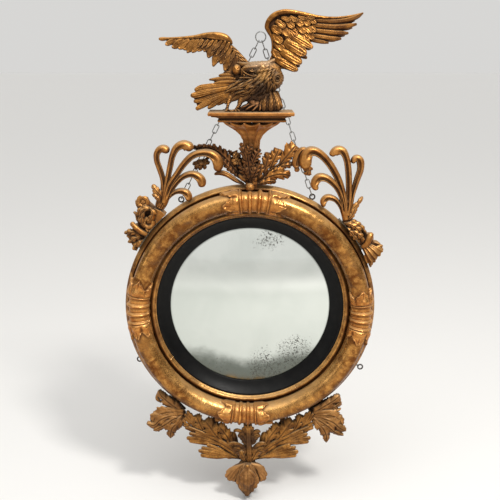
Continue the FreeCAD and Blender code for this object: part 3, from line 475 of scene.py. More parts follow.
def gold(name, leaf=(0.74, 0.46, 0.155), deep=(0.42, 0.215, 0.062), dark=(0.055, 0.024, 0.010), bole=(0.26, 0.085, 0.030),
         recess=1.0, dust=1.0, grime=0.35, rough=0.40, ao=0.013, metal=0.80, wear=0.5, crackle=0.5, darkness=0.0, underside_shade=0.62, zones=()):
    """Old water gilding: leaf over red bole, rubbed on the edges, brown in the hollows, dusty on top; painted shade
    darkens the hollows and the undersides, painted highlight lightens upper faces and raised edges.
    """
    leaf = (min(1.0, leaf[0] * 1.10), leaf[1] * 0.97, leaf[2] * 0.86)
    deep = (deep[0] * 0.98, deep[1] * 0.84, deep[2] * 0.72)
    n = NT(name)
    v = n.coord()
    big = n.noise(v, 14.0, 5.0, 0.6)
    mid = n.noise(v, 55.0, 6.0, 0.62, 0.3)
    fine = n.noise(v, 330.0, 6.0, 0.62)
    base = n.mix(n.remap(mid, 0.40, 0.70), col(*deep), col(*leaf))
    base = n.mix(n.remap(big, 0.34, 0.62, 0.0, 0.55), base, col(*[0.55 * a + 0.45 * b for a, b in zip(leaf, deep)]))
    # leaf rubbed through to the bole in small patches
    rub = n.math("MULTIPLY", n.remap(fine, 0.56, 0.70), n.remap(mid, 0.40, 0.58))
    rub = n.math("MULTIPLY", rub, wear)
    base = n.mix(rub, base, col(*bole))
    # brown grime that has settled over broad areas
    soot = n.math("MULTIPLY", n.remap(n.noise(v, 34.0, 7.0, 0.7, 0.6), 0.47, 0.68), grime)
    base = n.mix(soot, base, col(0.150, 0.062, 0.017))
    # painted shade: ambient occlusion and concave pointiness mark the hollows, creases and grooves, where shade falls
    # and some grime sits
    occ = n.math("MULTIPLY", n.ao(ao * 2.2, 8), n.mixf(0.5, 1.0, n.ao(ao * 0.6, 6)))
    hollow = n.remap(n.math("ADD", occ, n.math("MULTIPLY", n.math("SUBTRACT", fine, 0.5), 0.30)), 0.26, 0.98, 1.0, 0.0)
    hollow = n.math("MULTIPLY", hollow, recess)
    pt = n.pointy()
    edge = n.remap(pt, 0.515, 0.60)
    groove = n.remap(pt, 0.43, 0.493, 1.0, 0.0)
    hollow = n.math("MAXIMUM", hollow, n.math("MULTIPLY", groove, 0.75 * recess))
    # painted highlight: faces that point up are mixed towards a paler gold, as light from above shows them
    top_highlight = n.math("MULTIPLY", n.remap(n.math("ADD", n.normal_z(), n.math("MULTIPLY", n.math("SUBTRACT", big, 0.5), 0.8)), 0.0, 0.85), 0.55)
    base = n.mix(top_highlight, base, col(min(1, leaf[0] * 1.12), min(1, leaf[1] * 1.36), min(1, leaf[2] * 1.90)))
    # raised edges: rubbed bright as wear, and made paler than the leaf as a painted highlight
    base = n.mix(n.math("MULTIPLY", edge, 0.75), base, col(min(1, leaf[0] * 1.28), min(1, leaf[1] * 1.50), min(1, leaf[2] * 2.3)))
    # painted shade: faces that point down are mixed towards a dark deep brown, as shade under the light from above
    low = n.remap(n.math("ADD", n.normal_z(), n.math("MULTIPLY", n.math("SUBTRACT", big, 0.5), 0.9)), 0.25, -0.75)
    low = n.math("MULTIPLY", low, underside_shade)
    base = n.mix(low, base, col(deep[0] * 0.30 + 0.012, deep[1] * 0.25 + 0.003, deep[2] * 0.22))
    # painted shade: the hollows take the dark colour
    base = n.mix(hollow, base, col(*dark))
    # broad patches of a given colour, placed on the object; the callers use dark ones as painted shade and pale ones as
    # dust
    patch_mix = None
    if zones:
        sx = n.node("ShaderNodeSeparateXYZ")
        n.link(v, sx.inputs[0])
        for (zx, zz, r0, r1, zc, zk) in zones:
            ddx = n.math("SUBTRACT", sx.outputs["X"], zx)
            ddz = n.math("SUBTRACT", sx.outputs["Z"], zz)
            dd = n.math("SQRT", n.math("ADD", n.math("MULTIPLY", ddx, ddx), n.math("MULTIPLY", ddz, ddz)))
            dd = n.math("ADD", dd, n.math("MULTIPLY", n.math("SUBTRACT", mid, 0.5), 0.9 * r1))
            zf = n.math("MULTIPLY", n.remap(dd, r0, r1, 1.0, 0.0), zk)
            base = n.mix(zf, base, col(*zc))
            patch_mix = zf if patch_mix is None else n.math("MAXIMUM", patch_mix, zf)
    if darkness:
        base = n.mix(darkness, base, col(*dark))
    up = n.remap(n.normal_z(), 0.50, 0.97)
    dusty = n.math("MULTIPLY", up, n.remap(n.noise(v, 120.0, 6.0, 0.65), 0.30, 0.60, 0.45, 1.0))
    dusty = n.math("MULTIPLY", dusty, 0.85 * dust)
    base = n.mix(dusty, base, col(0.340, 0.245, 0.150))
    rest = n.math("MULTIPLY", n.math("SUBTRACT", 1.0, n.math("MULTIPLY", hollow, 0.9)), n.math("SUBTRACT", 1.0, dusty))
    rest = n.math("MULTIPLY", rest, n.math("SUBTRACT", 1.0, n.math("MULTIPLY", rub, 0.8)))
    rest = n.math("MULTIPLY", rest, n.math("SUBTRACT", 1.0, n.math("MULTIPLY", soot, 0.8)))
    if patch_mix is not None:
        rest = n.math("MULTIPLY", rest, n.math("SUBTRACT", 1.0, n.math("MULTIPLY", patch_mix, 0.8)))
    met = n.math("MULTIPLY", rest, metal * (1 - 0.6 * darkness))
    ro = n.mixf(n.remap(fine, 0.35, 0.65), rough - 0.10, rough + 0.10)
    ro = n.mixf(hollow, ro, 0.72)
    ro = n.mixf(dusty, ro, 0.92)
    ro = n.mixf(n.math("MULTIPLY", edge, 0.5), ro, rough - 0.10)
    crack = n.voro(v, 95.0, "DISTANCE_TO_EDGE")
    crack = n.math("MULTIPLY", n.remap(crack, 0.0, 0.045, 1.0, 0.0), n.remap(big, 0.48, 0.60))
    h = n.math("ADD", n.math("MULTIPLY", mid, 0.6), n.math("MULTIPLY", fine, 0.30))
    h = n.math("SUBTRACT", h, n.math("MULTIPLY", crack, 0.35 * crackle))
    nrm = n.bump(h, 0.55, 0.0011)
    return n.bsdf(base, ro, met, nrm, 0.22)


GOLD = gold("gilt", leaf=(0.66, 0.345, 0.095), deep=(0.32, 0.135, 0.034))
GOLD_RING = gold("gilt_moulding", leaf=(0.70, 0.385, 0.108), deep=(0.175, 0.064, 0.013), dark=(0.070, 0.020, 0.005), grime=0.95, recess=0.72, rough=0.29, wear=0.6, ao=0.012, dust=0.5, underside_shade=0.70)
GOLD_CLASP = gold("gilt_clasps", leaf=(0.74, 0.385, 0.105), deep=(0.42, 0.165, 0.040), dark=(0.040, 0.012, 0.004), grime=0.35, rough=0.30, wear=0.6, ao=0.007, dust=0.3, underside_shade=0.45)
GOLD_WING = gold("gilt_wings", leaf=(0.60, 0.285, 0.060), deep=(0.11, 0.038, 0.007), dark=(0.040, 0.014, 0.005), recess=1.0, grime=0.55, ao=0.013, wear=0.8, dust=0.35, rough=0.32)

GOLD_LEAF = gold("gilt_leaves", leaf=(0.60, 0.31, 0.080), deep=(0.27, 0.110, 0.027), grime=0.5, ao=0.013, wear=0.65, dust=0.6, rough=0.40)
GOLD_DARK = gold("gilt_dark_leaves", leaf=(0.30, 0.130, 0.034), deep=(0.085, 0.032, 0.010), dark=(0.022, 0.009, 0.004), grime=0.6, ao=0.012, wear=0.9, dust=0.35, rough=0.42, metal=0.6)
GOLD_PLINTH = gold("gilt_plinth", leaf=(0.58, 0.285, 0.078), deep=(0.32, 0.130, 0.036), grime=0.4, ao=0.014, wear=0.7, dust=1.0, rough=0.44)


def ebonised():
    n = NT("ebonised_wood")
    v = n.coord()
    g = n.noise(v, 60.0, 6.0, 0.6)
    f = n.noise(v, 420.0, 5.0, 0.6)
    c = n.mix(n.remap(g, 0.4, 0.7), col(0.0022, 0.0022, 0.0022), col(0.0050, 0.0047, 0.0042))
    up = n.math("MULTIPLY", n.remap(n.normal_z(), 0.45, 0.95), n.remap(f, 0.42, 0.6, 0.02, 0.16))
    c = n.mix(up, c, col(0.045, 0.040, 0.034))
    r = n.mixf(n.remap(f, 0.3, 0.7), 0.36, 0.50)
    return n.bsdf(c, r, 0.0, n.bump(n.math("ADD", g, n.math("MULTIPLY", f, 0.3)), 0.30, 0.0005), 0.16)


EBONY = ebonised()


def mirror():
    """Old silvering behind glass: clear in the middle, foxed specks and grey bloom towards two edges; painted shade
    darkens the lower part and a ring along the rim.
    """
    n = NT("silvered_glass")
    v = n.coord()
    s = n.node("ShaderNodeSeparateXYZ")
    n.link(v, s.inputs[0])
    x, z = s.outputs["X"], s.outputs["Z"]
    rr = n.math("SQRT", n.math("ADD", n.math("MULTIPLY", x, x), n.math("MULTIPLY", z, z)))
    broad = n.noise(v, 9.0, 4.0, 0.55, 0.4)
    specks = n.noise(v, 210.0, 5.0, 0.75)
    specks2 = n.noise(v, 420.0, 3.0, 0.7)

    def patch(px, pz, r0, r1):
        dx, dz = n.math("SUBTRACT", x, px), n.math("SUBTRACT", z, pz)
        d = n.math("SQRT", n.math("ADD", n.math("MULTIPLY", dx, dx), n.math("MULTIPLY", dz, dz)))
        d = n.math("ADD", d, n.math("MULTIPLY", n.math("SUBTRACT", broad, 0.5), 0.10))
        return n.remap(d, r0, r1, 1.0, 0.0)

    top = patch(0.055, 0.170, 0.012, 0.068)
    right = patch(0.184, 0.080, 0.004, 0.060)
    low = patch(0.100, -0.110, 0.02, 0.078)
    low2 = patch(0.045, -0.160, 0.02, 0.100)
    low3 = patch(-0.070, -0.160, 0.01, 0.075)
    zone = n.math("MAXIMUM", n.math("MAXIMUM", top, n.math("MULTIPLY", right, 0.6)), n.math("MAXIMUM", low, n.math("MAXIMUM", low2, n.math("MULTIPLY", low3, 0.7))))
    rim = n.math("MULTIPLY", n.remap(rr, 0.150, 0.197), 0.35)
    zone = n.math("MAXIMUM", zone, rim)
    # specks show where the noise beats a threshold that falls inside the zones
    thr = n.mixf(zone, 0.76, 0.528)
    fox = n.remap(n.math("SUBTRACT", specks, thr), -0.01, 0.035)
    fox = n.math("MAXIMUM", fox, n.math("MULTIPLY", n.remap(n.math("SUBTRACT", specks2, n.mixf(zone, 0.80, 0.575)), 0.0, 0.03), 0.8))
    tint = n.mix(n.remap(broad, 0.35, 0.65), col(0.80, 0.838, 0.792), col(0.88, 0.912, 0.866))
    # painted shade: the silvering is darker below z 0.030 to 0.064 m, standing in for a darker reflection there
    tint = n.mix(n.remap(z, 0.064, 0.030, 0.0, 0.48), tint, col(0.42, 0.46, 0.42))
    # bloom: a grey-green veil along the low edge
    down = n.math("MULTIPLY", n.remap(z, -0.055, -0.165), n.remap(rr, 0.085, 0.180))
    veil = n.remap(n.math("ADD", down, n.math("MULTIPLY", n.math("SUBTRACT", n.noise(v, 30.0, 6.0, 0.65), 0.5), 0.55)), 0.25, 0.95)
    tint = n.mix(n.math("MULTIPLY", veil, 0.92), tint, col(0.10, 0.115, 0.095))
    # painted shadow: a dark ring along the rim of the glass next to the slip, standing in for the slip's shadow
    edge = n.remap(rr, 0.1925, 0.1985)
    tint = n.mix(n.math("MULTIPLY", edge, 0.75), tint, col(0.10, 0.12, 0.10))
    tint = n.mix(n.math("MULTIPLY", fox, 0.88), tint, col(0.055, 0.055, 0.045))
    met = n.math("SUBTRACT", 1.0, n.math("MULTIPLY", fox, 0.55))
    ro = n.mixf(n.remap(n.noise(v, 24.0, 5.0, 0.6), 0.4, 0.62), 0.09, 0.14)
    ro = n.mixf(n.math("MAXIMUM", n.math("MULTIPLY", zone, 0.5), veil), ro, 0.20)
    ro = n.mixf(fox, ro, 0.45)
    wave = n.noise(v, 5.5, 2.0, 0.5, 0.8)
    return n.bsdf(tint, ro, met, n.bump(wave, 0.25, 0.0018), 0.5, coat=0.5, coat_rough=0.02)


MIRROR = mirror()


def pine(name="bare_pine", axis=(1, 0, 0), tone=1.0, patch_mix=0.45):
    n = NT(name)
    v = n.coord()
    st = [9.0, 9.0, 9.0]
    for i in range(3):
        if axis[i]:
            st[i] = 0.7
    w = n.scale(v, tuple(st))
    rings = n.noise(w, 9.0, 5.0, 0.55, 1.2)
    fib = n.noise(w, 75.0, 5.0, 0.7)
    g = n.math("FRACT", n.math("MULTIPLY", rings, 9.0))
    g = n.remap(g, 0.0, 0.85)
    c = n.mix(g, col(0.36 * tone, 0.235 * tone, 0.125 * tone), col(0.24 * tone, 0.135 * tone, 0.062 * tone))
    c = n.mix(n.remap(fib, 0.45, 0.7, 0.0, 0.5), c, col(0.15 * tone, 0.09 * tone, 0.045 * tone))
    c = n.mix(n.math("MULTIPLY", n.remap(n.noise(v, 12.0, 5.0, 0.65), 0.42, 0.68), patch_mix), c, col(0.075, 0.047, 0.028))
    # painted shade: ambient occlusion darkens the wood in corners and joins
    occ = n.remap(n.ao(0.012), 0.3, 0.85, 0.8, 0.0)
    c = n.mix(occ, c, col(0.045, 0.028, 0.018))
    r = n.mixf(n.remap(fib, 0.3, 0.7), 0.72, 0.88)
    return n.bsdf(c, r, 0.0, n.bump(n.math("ADD", n.math("MULTIPLY", fib, 0.6), n.math("MULTIPLY", g, 0.35)), 0.5, 0.0007), 0.3)


PINE = pine()
PINE_PLANK = pine("backboard_pine", axis=(1, 0, 0), tone=1.08)
PINE_RING = pine("ring_pine", axis=(0, 1, 0), tone=0.72, patch_mix=0.75)


def iron(name="old_iron", rust=0.55, base=(0.075, 0.070, 0.066)):
    n = NT(name)
    v = n.coord()
    a, b = n.noise(v, 260.0, 6.0, 0.7), n.noise(v, 900.0, 5.0, 0.7)
    c = n.mix(n.remap(a, 0.35, 0.65), col(*base), col(base[0] * 1.9, base[1] * 1.85, base[2] * 1.8))
    rs = n.math("MULTIPLY", n.remap(n.math("ADD", n.math("MULTIPLY", a, 0.6), n.math("MULTIPLY", b, 0.4)), 0.50, 0.62), rust)
    c = n.mix(rs, c, col(0.145, 0.060, 0.026))
    r = n.mixf(rs, n.mixf(n.remap(b, 0.3, 0.7), 0.38, 0.55), 0.88)
    m = n.math("SUBTRACT", 0.85, n.math("MULTIPLY", rs, 0.8))
    return n.bsdf(c, r, m, n.bump(n.math("ADD", a, n.math("MULTIPLY", b, 0.6)), 0.5, 0.0004), 0.5)


IRON = iron()
IRON_STRIP = iron("strip_iron", rust=0.3, base=(0.16, 0.135, 0.10))
STEEL = iron("chain_wire", rust=0.10, base=(0.235, 0.245, 0.245))
GOLD_STEM = gold("gilt_stem", leaf=(0.58, 0.29, 0.080), deep=(0.34, 0.140, 0.038), grime=0.25, ao=0.007, wear=0.5, dust=0.3, rough=0.42, metal=0.65, crackle=0.2, underside_shade=0.25, recess=0.8)
GOLD_WING_L = gold("gilt_wing_left", leaf=(0.57, 0.280, 0.066), deep=(0.090, 0.034, 0.008), grime=0.6, ao=0.013, wear=0.8, dust=0.5, rough=0.38)
GOLD_DUSTY = gold("gilt_dusty", leaf=(0.46, 0.33, 0.20), deep=(0.28, 0.18, 0.10), grime=0.4, ao=0.012, wear=0.4, dust=1.0, rough=0.6, metal=0.4)

def spotp(u, v, r0, r1, colour, k):
    q = at(u, v, -45.0)
    return float(q[0]) / 1000, float(q[1]) / 1000, r0, r1, colour, k


# zones: dark patches painted as shade at the roots of the two sprays and round the middle leaf
GOLD_APRON = gold("gilt_apron", leaf=(0.58, 0.290, 0.070), deep=(0.115, 0.044, 0.010), dark=(0.020, 0.007, 0.002), grime=0.5, ao=0.014, wear=0.6, dust=0.8, rough=0.30,
                  zones=[spotp(249, 440, 0.012, 0.052, (0.045, 0.017, 0.004), 0.80), spotp(214, 421, 0.006, 0.034, (0.060, 0.023, 0.006), 0.55), spotp(285, 421, 0.006, 0.034, (0.060, 0.023, 0.006), 0.55)])
# zone: a dark patch painted as shade in the middle of the bud
GOLD_BUD = gold("gilt_bud", leaf=(0.52, 0.275, 0.090), deep=(0.14, 0.062, 0.020), dark=(0.025, 0.009, 0.003), grime=0.55, ao=0.014, wear=0.6, dust=0.5, rough=0.40, zones=[spotp(249, 490, 0.008, 0.030, (0.060, 0.025, 0.008), 0.65)], metal=0.6)
GOLD_CORNER = gold("gilt_corner", leaf=(0.56, 0.295, 0.092), deep=(0.15, 0.066, 0.020), dark=(0.025, 0.009, 0.003), grime=0.55, ao=0.014, wear=0.6, dust=0.8, rough=0.36, metal=0.72)
PINE_DARK = pine("block_pine", axis=(1, 0, 0), tone=0.16, patch_mix=0.6)


def spot5(x, y, r):
    q = at(185 + x / 13.63, 60 + y / 13.63, -85.0)
    return float(q[0]) / 1000, float(q[1]) / 1000, 0.0, r * 0.000175


# zones: near-black patches painted as shade on the lower body, between the legs and the rock and under the neck; a
# brighter gold patch on the cheek; pale dust on the crown and shoulders
GOLD_BODY = gold("gilt_eagle", leaf=(0.48, 0.245, 0.066), deep=(0.085, 0.034, 0.009), recess=1.0, grime=0.65, ao=0.018, wear=0.8, dust=1.0, rough=0.42,
                 zones=[spot5(1060, 390, 260) + ((0.020, 0.009, 0.004), 0.92), spot5(940, 560, 190) + ((0.030, 0.013, 0.006), 0.85), spot5(1230, 200, 120) + ((0.035, 0.016, 0.008), 0.6),
                        spot5(1060, 185, 130) + ((0.52, 0.27, 0.075), 0.65), spot5(960, 40, 150) + ((0.33, 0.235, 0.150), 0.75), spot5(1120, 20, 120) + ((0.33, 0.235, 0.150), 0.7)])
# zone: a near-black patch painted as shade where the leg meets the body
GOLD_LEG = gold("gilt_leg", leaf=(0.50, 0.245, 0.062), deep=(0.15, 0.058, 0.015), dark=(0.03, 0.012, 0.005), grime=0.6, ao=0.016, wear=0.8, dust=0.4, rough=0.38,
                zones=[spot5(1110, 450, 150) + ((0.025, 0.011, 0.005), 0.8)])

GOLD_SPRAY = gold("gilt_spray", leaf=(0.54, 0.255, 0.060), deep=(0.21, 0.080, 0.018), grime=0.5, ao=0.012, wear=0.7, dust=0.5, rough=0.38)


# ---------------------------------------------------------------- carved forms
def V5(kind):
    o = {"C20": (185, 130, 11.61), "C21": (125, 130, 12.545), "C22": (290, 130, 11.2), "C23": (140, 385, 7.127),
         "W4": (250, 5, 13.07), "W3": (155, 5, 14.93), "W5": (185, 60, 13.63)}[kind]
    return lambda pts: mm(crop(o[0], o[1], o[2], pts))


C20, C21, C22, C23, W4, W3, W5 = (V5(k) for k in ("C20", "C21", "C22", "C23", "W4", "W3", "W5"))


def acanthus(piece, pts, lobes=5, depth=0.45, sweep=0.55, camber=2.0, ruffle=1.6, vein=2.2, rib=2.2, thick=4.5, n=None, m=25,
             roll=None, start=0.10, seed=1, teeth=0.07, tipcurl=0.0, cup=0.0, ribw=0.075, saw=False):
    """One carved leaf: a rib cut down the middle, side lobes that lean forward, veins between them, ragged edge."""
    n = n or int(26 + lobes * 13)
    rs = np.random.RandomState(seed)
    jit = rs.uniform(-0.5, 0.5, (2, 40))

    def ph(a, s):
        return np.clip((s - start) / (1 - start), 0, 1) ** 0.92 * lobes

    def lobe_no(a, p):
        k = np.clip(np.floor(p).astype(int), 0, 39)
        side = (a > 0).astype(int)
        return jit[side, k]

    def width(a, s):
        p = ph(a, s)
        j = lobe_no(a, p)
        fr_ = p - np.floor(p)
        notch = 1 - np.abs(np.sin(np.pi * fr_)) ** 0.62
        if saw:
            notch = 1 - np.clip(fr_ / 0.86, 0, 1) ** 0.75 * (1 - smooth01(fr_, 0.88, 1.0))
        notch = np.where(s < start, 0.25 + 0.75 * (s / start) * 0 + 0.0, notch)
        w = 1 - depth * (1 + 0.35 * j) * notch * np.abs(a) ** 1.6
        w = w + 0.10 * j * np.abs(a) * np.sin(np.pi * fr_)
        w = w + teeth * np.abs(a) ** 3 * np.sin(2 * np.pi * p * 3 + 4 * j)
        return np.maximum(w, 0.05)

    def relief(a, s):
        p = ph(a, s)
        j = lobe_no(a, p)
        fr_ = p - np.floor(p)
        A = np.abs(a)
        e = np.minimum(fr_, 1 - fr_)
        taper = smooth01(1 - s, 0.0, 0.22)
        h = camber * (1 - A ** 2.2) + cup * A ** 2
        h = h - rib * np.exp(-(A / ribw) ** 2) * (0.35 + 0.65 * taper)
        h = h + 0.55 * rib * np.exp(-((A - 2.3 * ribw) / (1.25 * ribw)) ** 2)
        vv = np.exp(-(e / 0.11) ** 2) * smooth01(A, 0.12, 0.5) * (s > start * 0.6)
        h = h - vein * vv
        h = h - 0.45 * vein * np.exp(-((fr_ - 0.5) / 0.07) ** 2) * smooth01(A, 0.30, 0.8)
        h = h + ruffle * A ** 1.7 * np.cos(2 * np.pi * (fr_ - 0.5) + 2.0 * j) + 1.2 * ruffle * j * A ** 2
        h = h + tipcurl * smooth01(s, 0.72, 1.0) ** 1.5
        return h

    def front(a, s):
        return relief(a, s) + thick * 0.5 * np.sqrt(np.clip(1 - np.abs(a) ** 5, 0, 1))

    def back(a, s):
        p = ph(a, s)
        j = lobe_no(a, p)
        fr_ = p - np.floor(p)
        A = np.abs(a)
        h = 0.7 * camber * (1 - A ** 2.2) + cup * A ** 2 + ruffle * A ** 1.7 * np.cos(2 * np.pi * (fr_ - 0.5) + 2.0 * j) + 1.2 * ruffle * j * A ** 2
        return h + tipcurl * smooth01(s, 0.72, 1.0) ** 1.5 - thick * 0.5 * np.sqrt(np.clip(1 - np.abs(a) ** 5, 0, 1)) + 0.4 * np.sin(s * 40 + a * 9)

    return strip(piece, pts, front, back, n=n, m=m, roll=roll, sweep=sweep, cap1=1.0, cap0=0.3, width=width)


def plume(piece, pts, H=12.0, B=10.0, side=1.0, groove=4.2, n=130, m=31, gpos=0.34, gw=0.36, lift=0.0, endlift=0.0, capE=1.0):
    """A scroll plume: round outer back, a hollow channel on the inner side, fat rounded tip."""
    Wref = max(p[3] for p in pts)

    def hw(s):
        return np.interp(s, np.linspace(0, 1, len(pts)), [p[3] for p in pts]) / Wref

    def front(a, s):
        k = 0.45 + 0.55 * hw(s)
        x = a * side
        base = H * k * np.sqrt(np.clip(1 - np.abs(a) ** 2.3, 0, 1))
        g = 1.75 * groove * np.exp(-(np.abs(x - gpos) / gw) ** 2.6) * (1 - smooth01(s, 0.80, 0.94)) * smooth01(s, 0.02, 0.14)
        g = g - 1.5 * smooth01(s, 0.86, 0.97) * (1 - a ** 2)
        g2 = 0.5 * groove * np.exp(-((x + 0.62) / 0.10) ** 2) * (1 - smooth01(s, 0.50, 0.80)) * smooth01(s, 0.05, 0.2)
        return base - g * np.sqrt(np.clip(1 - a ** 2, 0, 1)) - g2 * 0.6 + lift + endlift * smooth01(s, 0.6, 1.0)

    def back(a, s):
        k = 0.45 + 0.55 * hw(s)
        return -B * k * np.clip(1 - np.abs(a) ** 4, 0, 1) ** 0.5 + lift + endlift * smooth01(s, 0.6, 1.0)

    return strip(piece, pts, front, back, n=n, m=m, cap1=capE, cap0=0.4)


def tube(piece, pts, n=60, m=20, squash=1.0, ripple=None, cap0=1.0, cap1=1.0):
    """Round bar along pts (x, y, z, radius)."""
    S = spline(pts, n)

    def front(a, s):
        W = np.interp(s, np.linspace(0, 1, n), S[:, 3])
        h = squash * W * np.sqrt(np.clip(1 - a ** 2, 0, 1))
        return h + (ripple(a, s) if ripple else 0.0)

    def back(a, s):
        W = np.interp(s, np.linspace(0, 1, n), S[:, 3])
        return -squash * W * np.sqrt(np.clip(1 - a ** 2, 0, 1)) + (-ripple(a, s) if ripple else 0.0)

    return strip(piece, pts, front, back, n=n, m=m, cap0=cap0, cap1=cap1)


def feather(piece, pts, thick=3.0, camber=2.0, n=44, m=13, barbs=0.35, nb=16, split=None, rachis=0.8, roll=None, both=True):
    """Long blade with a shaft line, slanting barb cuts and a rounded end."""
    def front(a, s):
        A = np.abs(a)
        h = camber * (1 - A ** 2) + thick * 0.5 * np.clip(1 - A ** 4, 0, 1) ** 0.5
        h = h + rachis * np.exp(-(A / 0.10) ** 2) * (1 - 0.7 * s) - 0.7 * rachis * np.exp(-((A - 0.22) / 0.08) ** 2)
        h = h + barbs * np.sin(2 * np.pi * (nb * s + 2.6 * A)) * A ** 0.6 * (1 - A ** 6)
        return h

    def back(a, s):
        A = np.abs(a)
        h = camber * (1 - A ** 2) - thick * 0.5 * np.clip(1 - A ** 4, 0, 1) ** 0.5
        h = h + barbs * 0.7 * np.sin(2 * np.pi * (nb * s + 2.6 * A)) * A ** 0.6 * (1 - A ** 6)
        return h

    return strip(piece, pts, front, back, n=n, m=m, cap0=0.5, cap1=0.95, roll=roll)


def prism(outline, y0, y1, ymid=None, lean=0.0, z0=0.0):
    """Verts and faces of a sawn outline (u, v) from depth y0 to y1, in mm."""
    ym = (y0 + y1) / 2 if ymid is None else ymid
    pts = []
    for u, v in outline:
        x, z = at(u, v, ym)
        if lean:
            x, z = at(u, v, ym + lean * (z - z0))
        pts.append((float(x), float(z)))
    k = len(pts)
    f = [(x, y0 + lean * (z - z0), z) for x, z in pts] + [(x, y1 + lean * (z - z0), z) for x, z in pts]
    faces = [list(range(k)), list(range(2 * k - 1, k - 1, -1))]
    faces += [[(i + 1) % k, i, i + k, (i + 1) % k + k] for i in range(k)]
    return f, faces


def uvball(c, r, sq=(1, 1, 1), n=20):
    v, f = [], []
    for i in range(n + 1):
        t = math.pi * i / n
        for j in range(2 * n):
            p = math.pi * j / n
            v.append((c[0] + r * sq[0] * math.sin(t) * math.cos(p), c[1] + r * sq[1] * math.sin(t) * math.sin(p), c[2] + r * sq[2] * math.cos(t)))
    for i in range(n):
        for j in range(2 * n):
            a, b = i * 2 * n + j, i * 2 * n + (j + 1) % (2 * n)
            f.append([a, a + 2 * n, b + 2 * n, b])
    return v, f


def chainballs(pts, n=14):
    """Balls along a tapering line, close enough to merge: (x, y, z, r)."""
    out = []
    for p, q in zip(pts, pts[1:]):
        d = math.dist(p[:3], q[:3])
        k = max(1, int(d / (0.30 * min(p[3], q[3]))))
        for i in range(k):
            t = i / k
            out.append(uvball([p[j] + (q[j] - p[j]) * t for j in range(3)], p[3] + (q[3] - p[3]) * t, n=n))
    out.append(uvball(pts[-1][:3], pts[-1][3], n=n))
    return out


def mass(piece, parts, voxel=1.6, smooth=6, disp=None, factor=0.5):
    """Joins closed parts into one skin of even quads, smooths it, then carves it with disp(points, normals)."""
    vs, fs, k = [], [], 0
    for v, f in parts:
        vs += list(v)
        fs += [[i + k for i in face] for face in f]
        k += len(v)
    me = bpy.data.meshes.new("tmp")
    me.from_pydata([(a / 1000, b / 1000, c / 1000) for a, b, c in vs], [], fs)
    me.update()
    o = bpy.data.objects.new("tmp", me)
    bpy.context.scene.collection.objects.link(o)
    md = o.modifiers.new("r", "REMESH")
    md.mode, md.voxel_size, md.adaptivity = "VOXEL", voxel / 1000.0, 0.0
    if smooth:
        ms = o.modifiers.new("s", "SMOOTH")
        ms.iterations, ms.factor = smooth, factor
    dg = bpy.context.evaluated_depsgraph_get()
    ev = o.evaluated_get(dg)
    em = ev.to_mesh()
    nv = len(em.vertices)
    co = np.zeros(nv * 3)
    em.vertices.foreach_get("co", co)
    co = co.reshape(-1, 3) * 1000.0
    no = np.zeros(nv * 3, np.float32)
    em.vertices.foreach_get("normal", no)
    no = no.reshape(-1, 3).astype(float)
    quads = np.array([list(p.vertices) for p in em.polygons if len(p.vertices) == 4], np.int64).reshape(-1, 4)
    tris = np.array([list(p.vertices) for p in em.polygons if len(p.vertices) == 3], np.int64).reshape(-1, 3)
    ev.to_mesh_clear()
    bpy.data.objects.remove(o)
    bpy.data.meshes.remove(me)
    if disp is not None:
        co = co + no * disp(co, no)[:, None]
    piece.add(co, quads, tris if len(tris) else None)
    return piece


# ---------------------------------------------------------------- ring
R_LIP, R_SIGHT, R_BEAD, R_TORUS, W_TORUS, H_TORUS, Y_TORUS = 306.0, 229.3, 243.0, 271.6, 25.0, 22.0, -59.0
Y_BACKRING, Y_FRONT, Y_BEAD = -22.0, -36.0, -48.0
R_WELL, R_SLIP, R_GLASS, T_GLASS, SAG, Y_GLASS = 206.0, 197.5, 203.0, 4.0, 21.0, -15.2
BEAD_JOINTS = (150.6, 209.4, 236.9, 297.5)


def torus_section(rise=0.0, n=9):
    return [(250.0, -32.0), (288.6, -32.0), (288.9, -42.0),
            (R_TORUS + 19.6, -50.0, "m"), (R_TORUS + 20.0, Y_TORUS + 2.0),
            (R_TORUS + 14.6, Y_TORUS - 15.4, "m"), (R_TORUS - 2.0, Y_TORUS - H_TORUS),
            (R_TORUS - 19.4, Y_TORUS - 13.8, "m"), (R_TORUS - 26.6, Y_TORUS + 2.0),
            (R_TORUS - 26.8, -51.0, "m"), (250.0, -45.0)]


ring = Piece("front_ring_moulded")
lathe(ring, profile([(R_SIGHT, Y_BACKRING), (R_LIP, Y_BACKRING), (R_LIP, -29.5),
                     (305.3, -34.2, "m"), (301.6, -38.6), (299.6, -41.6, "m"), (297.2, -43.0), (295.2, -42.6, "m"), (294.4, -40.6),
                     (293.6, -36.0, "m"), (291.8, -33.6), (247.0, -32.0),
                     (245.4, -33.2, "m"), (244.6, Y_FRONT), (R_SIGHT, Y_FRONT)], 6), n=900, wob=0.22, seed=4)
ring.make(GOLD_RING, ["front_ring"], "gilt")

